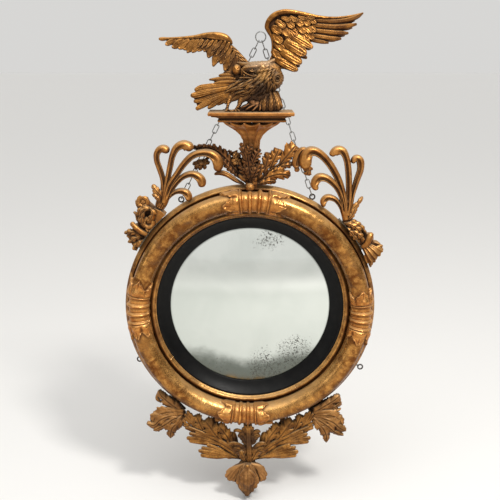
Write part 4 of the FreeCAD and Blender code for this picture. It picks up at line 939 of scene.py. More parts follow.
tor = Piece("torus_quarters_moulded")
for q in range(4):
    a0 = 1.6 + 90.0 * q
    P_ = profile(torus_section(), 12)
    g = 0.06
    ang = np.linspace(a0 + g, a0 + 90.0 - g, 300)
    Pf = np.array(P_)
    cR, cY = R_TORUS, Y_TORUS
    rings_ = []
    for i, a in enumerate(ang):
        e = min(a - a0, a0 + 90 - a)
        k = 1 - 0.018 * math.exp(-(e / 0.22) ** 2)
        RR = cR + (Pf[:, 0] - cR) * k
        YY = cY + (Pf[:, 1] - cY) * k
        t = math.radians(a)
        rings_.append(np.stack([RR * math.sin(t), YY, RR * math.cos(t)], axis=1))
    R_ = np.array(rings_)
    d = R_ - np.stack([cR * np.sin(np.radians(ang)), np.full(len(ang), cY), cR * np.cos(np.radians(ang))], axis=1)[:, None, :]
    d = unit(d)
    w = 0.30 * fbm(R_, 38.0, 11) + 0.12 * noise3(R_, 6.0, 12)
    # small dents and losses
    w = w - 0.55 * smooth01(noise3(R_, 9.0, 33), 0.62, 0.85)
    front_ = smooth01(-R_[..., 1], 40, 52)
    R_ = R_ + d * (w * front_)[..., None]
    loft(tor, R_)
tor.make(GOLD_RING, ["torus_quarters"], "gilt")

bead = Piece("sight_bead_moulded")
js = BEAD_JOINTS
spans = [(js[0], js[1]), (js[1], js[2]), (js[2], js[3]), (js[3], 404.0), (44.0, js[0])]
for a, b in spans:
    lathe(bead, profile([(R_SIGHT, Y_FRONT), (R_BEAD, Y_FRONT), (R_BEAD, -42.5), (242.4, -43.0), (241.6, -43.2),
                         (240.9, -44.6), (236.6, Y_BEAD, "m"), (232.6, -44.2), (231.6, -42.4), (230.6, -41.9), (R_SIGHT, -41.2)], 9),
          a + 0.07, b - 0.07, n=max(40, int((b - a) * 3)), wob=0.18, seed=6)
bead.make(GOLD_RING, ["sight_bead_segments"], "gilt")

slip = Piece("ebonised_slip_turned")
lathe(slip, profile([(R_WELL, Y_BACKRING), (R_SIGHT, Y_BACKRING), (R_SIGHT, -37.2), (228.6, -38.0), (226.0, -38.0), (224.9, -37.2),
                     (208.5, -24.6, "m"), (198.3, -19.4), (R_SLIP, -18.6), (R_SLIP, Y_GLASS), (R_WELL, Y_GLASS)], 18), n=720, wob=0.05, seed=8)
slip.make(EBONY, ["ebonised_slip"], "ebonised", sharp=50)

rho = (R_GLASS ** 2 + SAG ** 2) / (2 * SAG)
cyg = Y_GLASS - SAG + rho
glass_p = Piece("mirror_glass_ground")
rad = np.concatenate([[0.5], np.linspace(4, R_GLASS - 0.8, 70), [R_GLASS - 0.25, R_GLASS]])
fr = [(r, cyg - math.sqrt(rho * rho - r * r)) for r in rad]
bk = [(r, cyg - math.sqrt(rho * rho - r * r) + T_GLASS) for r in rad[::-1]]
bk[0] = (R_GLASS, bk[0][1] - 0.0)
prof_g = fr + bk
ang = np.radians(np.linspace(0, 360, 360, endpoint=False))
Pg = np.array(prof_g)
Rg = np.stack([Pg[None, :, 0] * np.sin(ang)[:, None], np.repeat(Pg[None, :, 1], 360, 0), Pg[None, :, 0] * np.cos(ang)[:, None]], axis=-1)
loft(glass_p, Rg, closed=True)
glass_o = glass_p.make(MIRROR, ["mirror_glass"], "mirror_glass", sharp=40)


# ---------------------------------------------------------------- clasps
def clasp_shell(name, node, mid, total, seed, lobes_a, lobes_b):
    """Ribs and two leaf collars wrapped round the fat moulding; a height field over (length, section angle)."""
    h = total / 2.0
    nt, nf = 330, 96
    t = np.linspace(-h, h, nt)                      # degrees along the ring
    phi = np.linspace(-118.0, 118.0, nf)            # section angle, + outwards
    T, Ph = np.meshgrid(t, phi, indexing="ij")
    core = total * 0.215
    step = 2 * core / 3.0
    mmdeg = math.radians(1.0) * R_TORUS

    # ribs: four proud narrow ribs with three hollow bands between them
    rise = np.zeros_like(T)
    u = (T + core) / step                            # 0..3 over the core
    du = np.abs(u - np.round(u))
    rib = np.exp(-(du / 0.20) ** 2.6)
    second = np.exp(-((np.abs(u - np.floor(u) - 0.5)) / 0.20) ** 4)
    ribbed = 0.2 + 6.4 * rib + 2.0 * second
    inside = smooth01(core + 0.25 - np.abs(T), -0.25, 0.30)

    # collars
    def collar(sign, lobes):
        tau_len = (h - core)
        d = (sign * T - core) / tau_len              # 0 at the core, 1 at the far tip
        tips = np.array([l[0] for l in lobes])
        ext = np.array([l[1] for l in lobes])
        half = np.array([l[2] for l in lobes])
        # outline: the furthest of the lobes at this section angle
        lim = np.zeros_like(Ph)
        crest_ = np.zeros_like(Ph)
        for tp, ex, hf in zip(tips, ext, half):
            q = np.clip(np.abs(Ph - tp) / hf, 0, 1.4)
            lb = ex * (1 - 0.55 * q ** 1.15)
            lim = np.maximum(lim, lb)
            crest_ = np.maximum(crest_, np.exp(-(q / 0.50) ** 2))
        jag = 0.03 * np.sin(np.radians(Ph) * 17 + seed)
        lim = lim + jag
        body = 3.0 + 4.2 * np.exp(-((d - 0.20) / 0.26) ** 2) + 3.6 * crest_ * smooth01(d, 0.0, 0.35)
        seam = np.zeros_like(Ph)
        for a_, b_ in zip(tips[:-1], tips[1:]):
            seam += np.exp(-((Ph - (a_ + b_) / 2) / 5.5) ** 2)
        for tp in tips:
            seam += 0.45 * np.exp(-((Ph - tp) / 2.6) ** 2) * smooth01(d, 0.30, 0.6)
        body -= 4.4 * seam * smooth01(d, 0.06, 0.3)
        body += 2.4 * np.exp(-((d / np.maximum(lim, 0.1) - 0.93) / 0.09) ** 2)
        out_ = smooth01(lim - d, -0.006, 0.018)
        return np.where(out_ > 0.02, body * out_ + (-1.6) * (1 - out_), -1.6), d

    ca, da = collar(-1.0, lobes_a)
    cb, db = collar(+1.0, lobes_b)
    rise = np.where(T < 0, ca, cb)
    root = np.exp(-((np.abs(T) - core - 0.35) / 0.45) ** 2)
    rise = rise - 1.6 * root * (np.abs(T) > core)
    rise = rise * (1 - inside) + ribbed * inside
    rise = rise - 1.2 * smooth01(np.abs(Ph), 84, 112) * inside
    ed = smooth01(h - np.abs(T), 0.0, 0.10)
    rise = rise * ed - 1.6 * (1 - ed)
    nn = np.stack([T * mmdeg, Ph * 0.45, np.full_like(T, seed * 9.0)], axis=-1)
    rise = rise + 0.28 * fbm(nn, 7.0, seed) + 0.12 * noise3(nn, 2.2, seed + 3)

    def place(rs):
        pr = np.radians(np.clip(Ph, -90, 90))
        wave = 1.5 * np.cos(2 * np.pi * (T + core) / step) * inside * smooth01(np.abs(Ph), 45, 85)
        w = np.where(Ph > 0, 21.6, 26.4) + rs * 0.72 + wave
        hh = H_TORUS + rs
        Rr = R_TORUS + w * np.sin(pr)
        Yy = Y_TORUS - hh * np.cos(pr)
        past = np.clip(np.abs(Ph) - 90, 0, None) / 28.0
        Yy = Yy + past * 17.5
        Rr = Rr - np.sign(Ph) * past ** 2 * 2.0
        # the inner side stays in front of the sight bead
        lowlim = np.where(Ph < 0, R_BEAD + 0.6, 0.0)
        Rr = np.maximum(Rr, lowlim)
        am = np.radians(mid + T)
        return np.stack([Rr * np.sin(am), Yy, Rr * np.cos(am)], axis=-1)

    top = place(rise)
    bot = place(np.full_like(rise, -2.6))
    ringv = np.concatenate([top, bot[:, ::-1]], axis=1)
    P_ = Piece(name)
    loft(P_, ringv)
    P_.make(GOLD_CLASP, [node], "gilt")


LA = [(82, 0.96, 46), (-8, 1.00, 44), (-86, 0.92, 42)]
LB = [(84, 0.98, 44), (4, 0.97, 46), (-84, 1.00, 40)]
clasp_shell("clasp_top_carved", "clasp_top", 2.3, 33.0, 21, LA, LB)
clasp_shell("clasp_right_carved", "clasp_right", 92.6, 29.5, 22, [(80, 0.93, 44), (6, 0.97, 46), (-80, 1.0, 42)], [(76, 0.95, 40), (0, 1.0, 44), (-82, 0.9, 46)])
clasp_shell("clasp_bottom_carved", "clasp_bottom", 183.2, 29.0, 23, [(82, 1.0, 44), (0, 0.94, 44), (-80, 0.95, 42)], LA)
clasp_shell("clasp_left_carved", "clasp_left", 271.4, 32.0, 24, [(84, 1.0, 42), (14, 0.92, 34), (-40, 0.94, 32), (-92, 1.0, 36)], [(82, 1.0, 44), (8, 0.97, 42), (-78, 1.0, 46)])


# ---------------------------------------------------------------- crest scrolls
def yy(pts, y, dy=0.0):
    """Adds a depth to (x, y px, w) rows."""
    k = len(pts)
    return [(p[0], p[1], y + dy * i / max(1, k - 1), p[2]) for i, p in enumerate(pts)]


pl = Piece("crest_plumes_left_carved")
plume(pl, C21(yy([(440, 960, 34), (465, 850, 44), (490, 740, 42), (480, 620, 36), (440, 490, 37), (405, 390, 37), (402, 305, 40), (440, 245, 46), (500, 238, 54), (552, 282, 44)], -44, -3)), 11.5, 9.5, side=1.0, groove=3.8)
plume(pl, C21(yy([(490, 900, 34), (510, 780, 36), (535, 640, 35), (572, 450, 38), (598, 330, 40), (650, 225, 48), (730, 185, 58), (800, 215, 70), (822, 268, 56)], -48, -4)), 13.5, 11.5, side=1.0, groove=4.4)
plume(pl, C21(yy([(490, 920, 36), (560, 700, 38), (650, 560, 38), (740, 430, 42), (840, 330, 44), (950, 288, 46), (1070, 296, 54), (1150, 362, 66), (1172, 440, 66), (1150, 520, 44)], -50, -3)), 13.5, 11.5, side=1.0, groove=4.6, n=150)
plume(pl, C21(yy([(490, 940, 34), (580, 760, 34), (660, 650, 34), (750, 575, 38), (850, 552, 44), (930, 592, 54), (966, 652, 58), (946, 715, 42)], -46, -3)), 12.5, 11.0, side=1.0, groove=4.2)
plume(pl, C21(yy([(470, 950, 34), (540, 850, 28), (620, 785, 30), (700, 764, 38), (770, 786, 48), (798, 842, 50), (778, 888, 34)], -43, -2)), 11.5, 10.0, side=1.0, groove=3.6)
# bound stem of the plumes
strip(pl, C21([(430, 985, -42, 60), (470, 900, -43, 74), (510, 800, -44, 62), (530, 700, -44, 34)]),
      lambda a, s: 10.5 * np.sqrt(np.clip(1 - np.abs(a) ** 2.4, 0, 1)) - 2.4 * np.abs(np.sin(a * 7.5)) ** 6 * (1 - s * 0.3) + 0.4 * np.sin(s * 30 + a * 4),
      lambda a, s: -9.0 * np.clip(1 - np.abs(a) ** 4, 0, 1) ** 0.5, n=70, m=41, cap0=0.4, cap1=1.0)
# side leaf on the outside
acanthus(pl, C21([(478, 850, -48, 24), (436, 800, -52, 48), (392, 752, -53, 46), (352, 684, -47, 14)]), lobes=3, depth=0.22, camber=2.6, ruffle=0.6, vein=1.3, thick=5, seed=4)
acanthus(pl, C21([(448, 905, -50, 18), (420, 862, -54, 34), (388, 826, -54, 30), (352, 806, -49, 10)]), lobes=2, depth=0.20, camber=2.4, ruffle=0.6, vein=1.2, thick=5, seed=5)
pl.make(GOLD, ["crest_plumes_left"], "gilt", wobble=0.25)

pr = Piece("crest_plumes_right_carved")
plume(pr, C22(yy([(630, 1010, 34), (620, 880, 36), (606, 760, 34), (560, 590, 38), (480, 430, 42), (390, 312, 44), (300, 246, 50), (225, 245, 62), (182, 305, 72), (180, 385, 66), (195, 445, 40)], -48, -3)), 13.0, 11.5, side=-1.0, groove=5.0, n=160)
plume(pr, C22(yy([(190, 225, 34), (140, 235, 46), (98, 290, 54), (74, 370, 50), (72, 432, 28)], -44, 0)), 9.5, 9.0, side=-1.0, groove=3.2, n=80)
plume(pr, C22(yy([(645, 960, 34), (662, 750, 34), (660, 500, 37), (640, 340, 38), (600, 244, 45), (540, 228, 54), (490, 262, 48), (484, 300, 28)], -48, -3)), 13.0, 11.5, side=-1.0, groove=4.6, n=130)
plume(pr, C22(yy([(670, 900, 28), (704, 720, 29), (752, 560, 35), (792, 440, 39), (788, 345, 44), (748, 312, 38), (716, 342, 36), (714, 376, 22)], -44, -2)), 11.5, 9.5, side=-1.0, groove=4.0)
plume(pr, C22(yy([(620, 960, 30), (590, 780, 31), (530, 645, 35), (430, 550, 42), (340, 530, 50), (288, 575, 50), (284, 632, 42), (316, 668, 20)], -47, -3)), 12.0, 11.0, side=-1.0, groove=4.4)
plume(pr, C22(yy([(620, 1000, 28), (572, 860, 25), (512, 780, 31), (432, 754, 38), (384, 786, 40), (380, 832, 32), (396, 856, 16)], -43, -2)), 10.5, 10.0, side=-1.0, groove=3.6)
strip(pr, C22([(635, 1030, -42, 44), (640, 950, -43, 56), (640, 860, -44, 54), (634, 760, -44, 34)]),
      lambda a, s: 10.5 * np.sqrt(np.clip(1 - np.abs(a) ** 2.4, 0, 1)) - 2.4 * np.abs(np.sin(a * 7.5)) ** 6 + 0.4 * np.sin(s * 30 + a * 4),
      lambda a, s: -9.0 * np.clip(1 - np.abs(a) ** 4, 0, 1) ** 0.5, n=70, m=41, cap0=0.4, cap1=1.0)
acanthus(pr, C22([(640, 990, -46, 16), (700, 890, -50, 34), (765, 820, -50, 30), (815, 745, -44, 14)]), lobes=3, depth=0.35, camber=3.0, ruffle=1.2, vein=1.6, thick=5, seed=6)
acanthus(pr, C22([(630, 1020, -46, 14), (690, 960, -52, 36), (720, 900, -52, 34), (735, 850, -48, 14)]), lobes=2, depth=0.3, camber=3.0, ruffle=1.0, vein=1.4, thick=5, seed=7)
# ragged hanging tips under the big curl, as carved leaf ends
acanthus(pr, C22([(215, 300, -50, 26), (200, 380, -52, 52), (205, 450, -50, 50), (190, 505, -46, 22)]), lobes=3, depth=0.4, camber=3.5, ruffle=1.8, vein=2.2, thick=5, seed=8)
acanthus(pr, C22([(110, 270, -42, 20), (85, 340, -44, 38), (80, 410, -44, 36), (84, 470, -42, 16)]), lobes=3, depth=0.4, camber=2.5, ruffle=1.4, vein=1.8, thick=4.5, seed=9)
pr.make(GOLD, ["crest_plumes_right"], "gilt", wobble=0.25)


# ---------------------------------------------------------------- crest bases on the shoulders of the ring
def carve(scale=6.0, amp=0.9, seed=1, keep=None):
    def f(p, nrm):
        d = amp * fbm(p, scale, seed) + 0.35 * amp * noise3(p, scale / 3.2, seed + 5)
        gr = np.abs(noise3(p, scale * 1.6, seed + 8))
        d = d - amp * 1.3 * np.exp(-(gr / 0.07) ** 2)
        if keep is not None:
            d = d * keep(p)
        return d
    return f


def clear_ring(R0):
    """Returns a function that hands points back unchanged."""
    def f(p):
        return p
    return f


def petal_ring(piece, c, r0, r1, count, y, width, lift=4.0, seed=1, thick=3.0, a0=0.0, sq=1.0):
    cx, cz = c
    rs = np.random.RandomState(seed)
    for i in range(count):
        t = a0 + 2 * math.pi * i / count + rs.uniform(-0.12, 0.12)
        k = 1 + rs.uniform(-0.12, 0.12)
        d = (math.cos(t), math.sin(t) * sq)
        pts = [(cx + d[0] * r0, y + 1.0, cz + d[1] * r0, width * 0.45),
               (cx + d[0] * (r0 + (r1 - r0) * 0.45 * k), y - lift, cz + d[1] * (r0 + (r1 - r0) * 0.45 * k), width * k),
               (cx + d[0] * r1 * k, y - lift * 0.35, cz + d[1] * r1 * k, width * 0.7 * k)]
        strip(piece, pts, lambda a, s: 1.8 * (1 - a ** 2) + thick * 0.5 - 1.5 * np.exp(-(a / 0.12) ** 2) * (1 - s) + 1.4 * np.abs(a) ** 2 * s,
              lambda a, s: 1.0 * (1 - a ** 2) - thick * 0.5, n=22, m=13, cap0=0.4, cap1=1.0)


bl = Piece("crest_base_left_carved")
base_l = [(345, 935), (310, 900), (290, 845), (210, 840), (135, 880), (150, 940), (175, 975), (190, 1040), (130, 1040),
          (150, 1110), (185, 1180), (120, 1180), (110, 1240), (60, 1270), (30, 1310),
          (70, 1370), (110, 1440), (175, 1485), (225, 1490), (300, 1410), (360, 1320), (420, 1230), (510, 1130),
          (530, 1080), (505, 1050), (470, 1015), (400, 985)]


def outside_rim(piece_parts, R0=309.3):
    return piece_parts


def keep_off_ring(P_, R0=309.2):
    """Moves vertices that fall inside the rim out to it."""
    for i, v in enumerate(P_.v):
        r = np.hypot(v[:, 0], v[:, 2])
        k = np.where(r < R0, R0 / np.maximum(r, 1e-6), 1.0)
        v = v.copy()
        m_ = (v[:, 1] > -60) & (r > 250)
        v[:, 0] = np.where(m_, v[:, 0] * k, v[:, 0])
        v[:, 2] = np.where(m_, v[:, 2] * k, v[:, 2])
        P_.v[i] = v


o21 = [(125 + x / 12.545, 130 + y / 12.545) for x, y in base_l]
mass(bl, [prism(o21, -44.0, -13.5)], 1.7, 8, carve(7.0, 1.1, 3))
# squared block with its cut edge against the iron strip
blk = [(125 + x / 12.545, 130 + y / 12.545) for x, y in [(385, 965), (470, 1000), (525, 1055), (520, 1110), (430, 1210), (360, 1310), (330, 1290), (300, 1230), (370, 1120), (395, 1050), (350, 1000)]]
mass(bl, [prism(blk, -52.0, -13.0)], 1.3, 3, carve(9.0, 0.35, 5))
# upper flower bud: round head with petals
c = C21([(232, 900, -46, 70)])[0]
ball(bl, c[:3], c[3] * 0.80, (1, 0.75, 1), 26, lambda t, p: 1 - 0.07 * np.abs(np.sin(2.5 * p + 0.6)) ** 8 + 0.02 * np.sin(9 * t))
petal_ring(bl, (c[0], c[2]), c[3] * 0.35, c[3] * 1.18, 6, -47, c[3] * 0.48, 5.0, 3)
# leaves folding over the middle flower
acanthus(bl, C21([(345, 1000, -48, 26), (280, 985, -54, 42), (215, 1010, -55, 44), (200, 1090, -52, 36), (190, 1150, -48, 16)]), lobes=3, depth=0.35, camber=4, ruffle=2, vein=2, thick=5, seed=11)
acanthus(bl, C21([(220, 960, -50, 22), (185, 1010, -55, 34), (165, 1060, -52, 30), (118, 1028, -46, 12)]), lobes=3, depth=0.4, camber=3, ruffle=1.5, vein=1.6, thick=4.5, seed=12)
acanthus(bl, C21([(330, 985, -52, 24), (355, 1040, -58, 40), (330, 1110, -58, 40), (290, 1160, -54, 20)]), lobes=3, depth=0.3, camber=4, ruffle=2, vein=2, thick=5, seed=13)
acanthus(bl, C21([(250, 1010, -54, 18), (225, 1080, -58, 30), (215, 1150, -58, 32), (250, 1215, -54, 18)]), lobes=3, depth=0.3, camber=4, ruffle=1.6, vein=1.8, thick=5, seed=14)
# open flower
c = C21([(300, 1160, -50, 78)])[0]
petal_ring(bl, (c[0], c[2]), c[3] * 0.30, c[3] * 1.0, 6, -51, c[3] * 0.42, 7.0, 5)
ball(bl, (c[0], c[1] - 3, c[2]), c[3] * 0.34, (1, 0.8, 1), 18, lambda t, p: 1 + 0.07 * np.sin(8 * p) * np.sin(7 * t))
petal_ring(bl, (c[0] + 2, c[2] - 14), c[3] * 0.2, c[3] * 0.62, 4, -50, c[3] * 0.30, 6.0, 6, a0=0.5)
# smooth scroll roll across
tube(bl, C21([(96, 1178, -52, 30), (120, 1205, -56, 34), (190, 1265, -58, 32), (250, 1300, -56, 30), (300, 1322, -52, 24)]), 70, 22)
ball(bl, C21([(100, 1182, -54, 30)])[0][:3], C21([(100, 1182, -54, 33)])[0][3], (1, 0.9, 1), 20)
# lower bud and dark ragged leaves
c = C21([(190, 1425, -48, 48)])[0]
ball(bl, c[:3], c[3], (1, 0.9, 1.1), 24, lambda t, p: 1 - 0.06 * np.abs(np.sin(2 * p)) ** 8)
acanthus(bl, C21([(210, 1300, -44, 26), (140, 1290, -50, 44), (70, 1275, -50, 38), (4, 1290, -42, 14)]), lobes=4, depth=0.45, camber=3, ruffle=2.2, vein=2.2, thick=5, seed=15)
acanthus(bl, C21([(230, 1330, -44, 26), (150, 1350, -50, 40), (90, 1385, -48, 30), (50, 1400, -42, 12)]), lobes=3, depth=0.45, camber=3, ruffle=2.2, vein=2.2, thick=5, seed=16)
acanthus(bl, C21([(260, 1360, -42, 24), (180, 1410, -46, 44), (130, 1460, -46, 36), (150, 1500, -40, 14)]), lobes=3, depth=0.4, camber=3, ruffle=2.2, vein=2.2, thick=5, seed=17)
acanthus(bl, C21([(330, 1300, -42, 24), (270, 1370, -48, 42), (230, 1430, -48, 36), (215, 1490, -42, 14)]), lobes=3, depth=0.4, camber=3, ruffle=2.0, vein=2.2, thick=5, seed=18)
keep_off_ring(bl)
bl.make(GOLD_LEAF, ["crest_base_left"], "gilt", wobble=0.3)

br = Piece("crest_base_right_carved")
base_r = [(575, 1080), (600, 1020), (640, 995), (700, 1010), (780, 1060), (860, 1150), (920, 1160), (935, 1190), (925, 1235),
          (990, 1250), (1030, 1290), (1030, 1330), (985, 1390), (945, 1430), (925, 1490), (880, 1545), (810, 1480),
          (710, 1320), (650, 1210), (595, 1130)]
o22 = [(290 + x / 11.2, 130 + y / 11.2) for x, y in base_r]
mass(br, [prism(o22, -42.0, -13.5)], 1.7, 8, carve(7.0, 1.0, 7))
acanthus(br, C22([(610, 1040, -46, 26), (690, 1060, -54, 44), (760, 1110, -55, 40), (800, 1180, -50, 18)]), lobes=4, depth=0.4, camber=4, ruffle=2, vein=2.2, thick=5, seed=21)
acanthus(br, C22([(650, 1010, -44, 20), (720, 1030, -50, 36), (800, 1090, -50, 34), (850, 1160, -44, 14)]), lobes=4, depth=0.4, camber=3, ruffle=2, vein=2, thick=5, seed=22)
acanthus(br, C22([(620, 1080, -46, 26), (680, 1140, -54, 44), (730, 1200, -55, 44), (790, 1250, -50, 18)]), lobes=4, depth=0.4, camber=4, ruffle=2, vein=2.2, thick=5, seed=23)
acanthus(br, C22([(700, 1120, -52, 20), (760, 1160, -58, 34), (800, 1200, -58, 34), (820, 1250, -54, 16)]), lobes=3, depth=0.35, camber=4, ruffle=2, vein=2.2, thick=5, seed=24)
acanthus(br, C22([(640, 1140, -44, 22), (700, 1230, -50, 38), (760, 1320, -50, 34), (810, 1380, -46, 16)]), lobes=4, depth=0.4, camber=3, ruffle=2, vein=2.2, thick=5, seed=25)
# roll that crosses the base
tube(br, C22([(925, 1150, -50, 26), (900, 1190, -55, 36), (880, 1240, -57, 38), (850, 1290, -56, 36), (800, 1320, -52, 26)]), 70, 22,
     ripple=lambda a, s: -0.8 * np.abs(np.sin(a * 5)) ** 8)
ball(br, C22([(905, 1180, -52, 30)])[0][:3], C22([(905, 1180, -52, 34)])[0][3], (1, 0.9, 1), 20)
# fluted bell at the end
strip(br, C22([(840, 1290, -48, 44), (875, 1330, -52, 74), (915, 1380, -54, 104), (945, 1415, -50, 128)]),
      lambda a, s: (9 + 5 * s) * np.sqrt(np.clip(1 - np.abs(a) ** 2.2, 0, 1)) + (0.9 + 1.8 * s) * np.cos(a * 13.0) + 2.2 * s * s,
      lambda a, s: -9.0 * np.clip(1 - np.abs(a) ** 4, 0, 1) ** 0.5, n=60, m=61, cap0=0.4, cap1=0.10,
      width=lambda a, s: 1 + 0.0 * a)
for k_, (du, dv) in enumerate([(1040, 1290), (1045, 1330), (1010, 1385), (975, 1430), (950, 1480), (900, 1535)]):
    q_ = C22([(900, 1370, -56, 12), ((900 + du) / 2, (1370 + dv) / 2, -57, 26), (du, dv, -50, 15)])
    strip(br, q_, lambda a, s: 2.6 * (1 - a ** 2) + 1.8 - 1.4 * np.exp(-(a / 0.14) ** 2), lambda a, s: -2.5 * np.clip(1 - a ** 4, 0, 1), n=26, m=13, cap0=0.4, cap1=1.0)
keep_off_ring(br)
br.make(GOLD_LEAF, ["crest_base_right"], "gilt", wobble=0.3)

# ---------------------------------------------------------------- central crest
cs = Piece("crest_spray_right_carved")
Y1 = -33.0


def C28(pts):
    return mm(crop(205, 110, 16.5, pts))


# two thin stems and seven toothed leaflets
for st_ in ([(815, 1225, Y1 - 6, 20), (960, 1090, Y1 - 8, 18), (1110, 965, Y1 - 8, 17), (1290, 868, Y1 - 6, 15), (1400, 800, Y1 - 5, 12), (1480, 745, Y1 - 3, 8)],
            [(840, 1232, Y1 - 8, 18), (1000, 1122, Y1 - 10, 16), (1150, 1022, Y1 - 9, 14), (1230, 960, Y1 - 8, 9)]):
    tube(cs, C28(st_), 70, 14, ripple=lambda a, s: 0.2 * np.sin(s * 70))
LFS = [
    ([(1225, 905, Y1 - 4, 22), (1300, 820, Y1 - 9, 78), (1375, 730, Y1 - 10, 104), (1440, 655, Y1 - 8, 84), (1500, 585, Y1 - 3, 20)], 5, 31),
    ([(1075, 985, Y1 - 3, 20), (1115, 880, Y1 - 8, 64), (1160, 780, Y1 - 9, 80), (1195, 705, Y1 - 7, 58), (1215, 640, Y1 - 3, 16)], 5, 32),
    ([(975, 1085, Y1 - 5, 18), (1000, 960, Y1 - 10, 56), (1025, 850, Y1 - 11, 70), (1045, 770, Y1 - 9, 50), (1062, 705, Y1 - 4, 14)], 4, 33),
    ([(880, 1170, Y1 - 8, 14), (905, 1070, Y1 - 13, 42), (925, 970, Y1 - 13, 48), (935, 885, Y1 - 9, 14)], 4, 34),
    ([(1225, 920, Y1 - 5, 16), (1300, 918, Y1 - 9, 44), (1380, 905, Y1 - 8, 42), (1452, 880, Y1 - 3, 12)], 3, 35),
    ([(960, 1140, Y1 - 8, 22), (1080, 1092, Y1 - 13, 66), (1200, 1062, Y1 - 14, 80), (1310, 1058, Y1 - 11, 58), (1412, 1082, Y1 - 5, 16)], 5, 36),
    ([(870, 1228, Y1 - 10, 14), (980, 1194, Y1 - 15, 42), (1075, 1172, Y1 - 15, 46), (1172, 1184, Y1 - 9, 14)], 4, 37),
    ([(1100, 1010, Y1 - 9, 14), (1180, 985, Y1 - 13, 40), (1250, 985, Y1 - 11, 34), (1312, 1000, Y1 - 6, 10)], 3, 38)]
for p_, l_, sd_ in LFS:
    acanthus(cs, C28([(q[0], q[1], q[2], q[3] * (1.34 if 0 < j_ < len(p_) - 1 else 1.0)) for j_, q in enumerate(p_)]), lobes=max(3, l_ - 2), depth=0.34, sweep=0.85, camber=2.8, ruffle=1.5, vein=2.2, rib=3.0, thick=4.4, seed=sd_, teeth=0.05, ribw=0.07)
acanthus(cs, C28([(845, 1190, Y1 - 4, 16), (858, 1060, Y1 - 6, 36), (850, 950, Y1 - 6, 34), (838, 860, Y1 - 2, 10)]), lobes=3, depth=0.3, sweep=0.6, camber=2.5, ruffle=1.0, vein=1.4, rib=1.4, thick=4, seed=39)
tube(cs, C28([(800, 1195, Y1 - 13, 20), (830, 1150, Y1 - 17, 38), (860, 1105, Y1 - 15, 20)]), 30, 18)
# pierced web behind, ties the leaflets to the stem
mass(cs, chainballs([tuple(q) for q in C28([(820, 1230, -27, 26), (960, 1100, -27, 24), (1110, 975, -27, 24), (1260, 880, -27, 24), (1400, 720, -27, 26)])], 10)
     + chainballs([tuple(q) for q in C28([(900, 1190, -27, 20), (1060, 1110, -27, 22), (1220, 1065, -27, 18)])], 10)
     + chainballs([tuple(q) for q in C28([(1100, 970, -27, 20), (1150, 820, -27, 22), (1185, 740, -27, 14)])], 10)
     + chainballs([tuple(q) for q in C28([(990, 1080, -27, 18), (1010, 920, -27, 18), (1035, 820, -27, 12)])], 10), 1.5, 6, None)
cs.make(GOLD_SPRAY, ["crest_spray_right"], "gilt", wobble=0.25)

cl = Piece("crest_spray_left_carved")
acanthus(cl, C20([(725, 625, Y1 - 4, 14), (640, 520, Y1 - 6, 46), (540, 410, Y1 - 8, 74), (450, 310, Y1 - 6, 80), (360, 240, Y1 - 3, 66), (255, 200, Y1, 30)]), lobes=9, depth=0.5, sweep=0.7, camber=2.2, ruffle=2.0, vein=2.6, rib=2.8, thick=4.5, seed=41)
acanthus(cl, C20([(735, 620, Y1, 12), (690, 480, Y1 - 3, 50), (640, 380, Y1 - 4, 66), (590, 300, Y1 - 2, 56), (570, 248, Y1, 22)]), lobes=6, depth=0.5, sweep=0.7, camber=2.2, ruffle=1.9, vein=2.4, rib=2.4, thick=4.5, seed=42)
acanthus(cl, C20([(520, 330, Y1 + 1, 14), (420, 260, Y1 - 2, 40), (300, 215, Y1 - 2, 44), (190, 200, Y1, 38), (95, 205, Y1 + 3, 14)]), lobes=7, depth=0.55, sweep=0.7, camber=2.0, ruffle=1.8, vein=2.2, thick=4.5, seed=43)
acanthus(cl, C20([(640, 560, Y1 - 9, 12), (540, 470, Y1 - 13, 34), (470, 390, Y1 - 13, 42), (410, 330, Y1 - 10, 16)]), lobes=6, depth=0.5, sweep=0.7, camber=2.5, ruffle=1.8, vein=2.4, thick=4.5, seed=44)
acanthus(cl, C20([(700, 560, Y1 - 9, 12), (665, 470, Y1 - 13, 38), (660, 400, Y1 - 13, 40), (690, 340, Y1 - 9, 16)]), lobes=5, depth=0.5, sweep=0.7, camber=2.5, ruffle=1.8, vein=2.4, thick=4.5, seed=45)
for k_, (u_, v_) in enumerate([(120, 190), (205, 185), (290, 190), (345, 200), (400, 225), (455, 228), (520, 245)]):
    acanthus(cl, C20([(u_ + 46, v_ + 52, Y1 - 1, 12), (u_ + 18, v_ + 22, Y1 - 4, 26), (u_ - 14, v_ - 8, Y1 - 2, 10)]), lobes=3, depth=0.4, sweep=0.6, camber=1.8, ruffle=1.2, vein=1.6, thick=4, seed=60 + k_, m=15)
cl.make(GOLD_DARK, ["crest_spray_left"], "gilt_dark", wobble=0.25)

cl2 = Piece("crest_spray_left_stems")
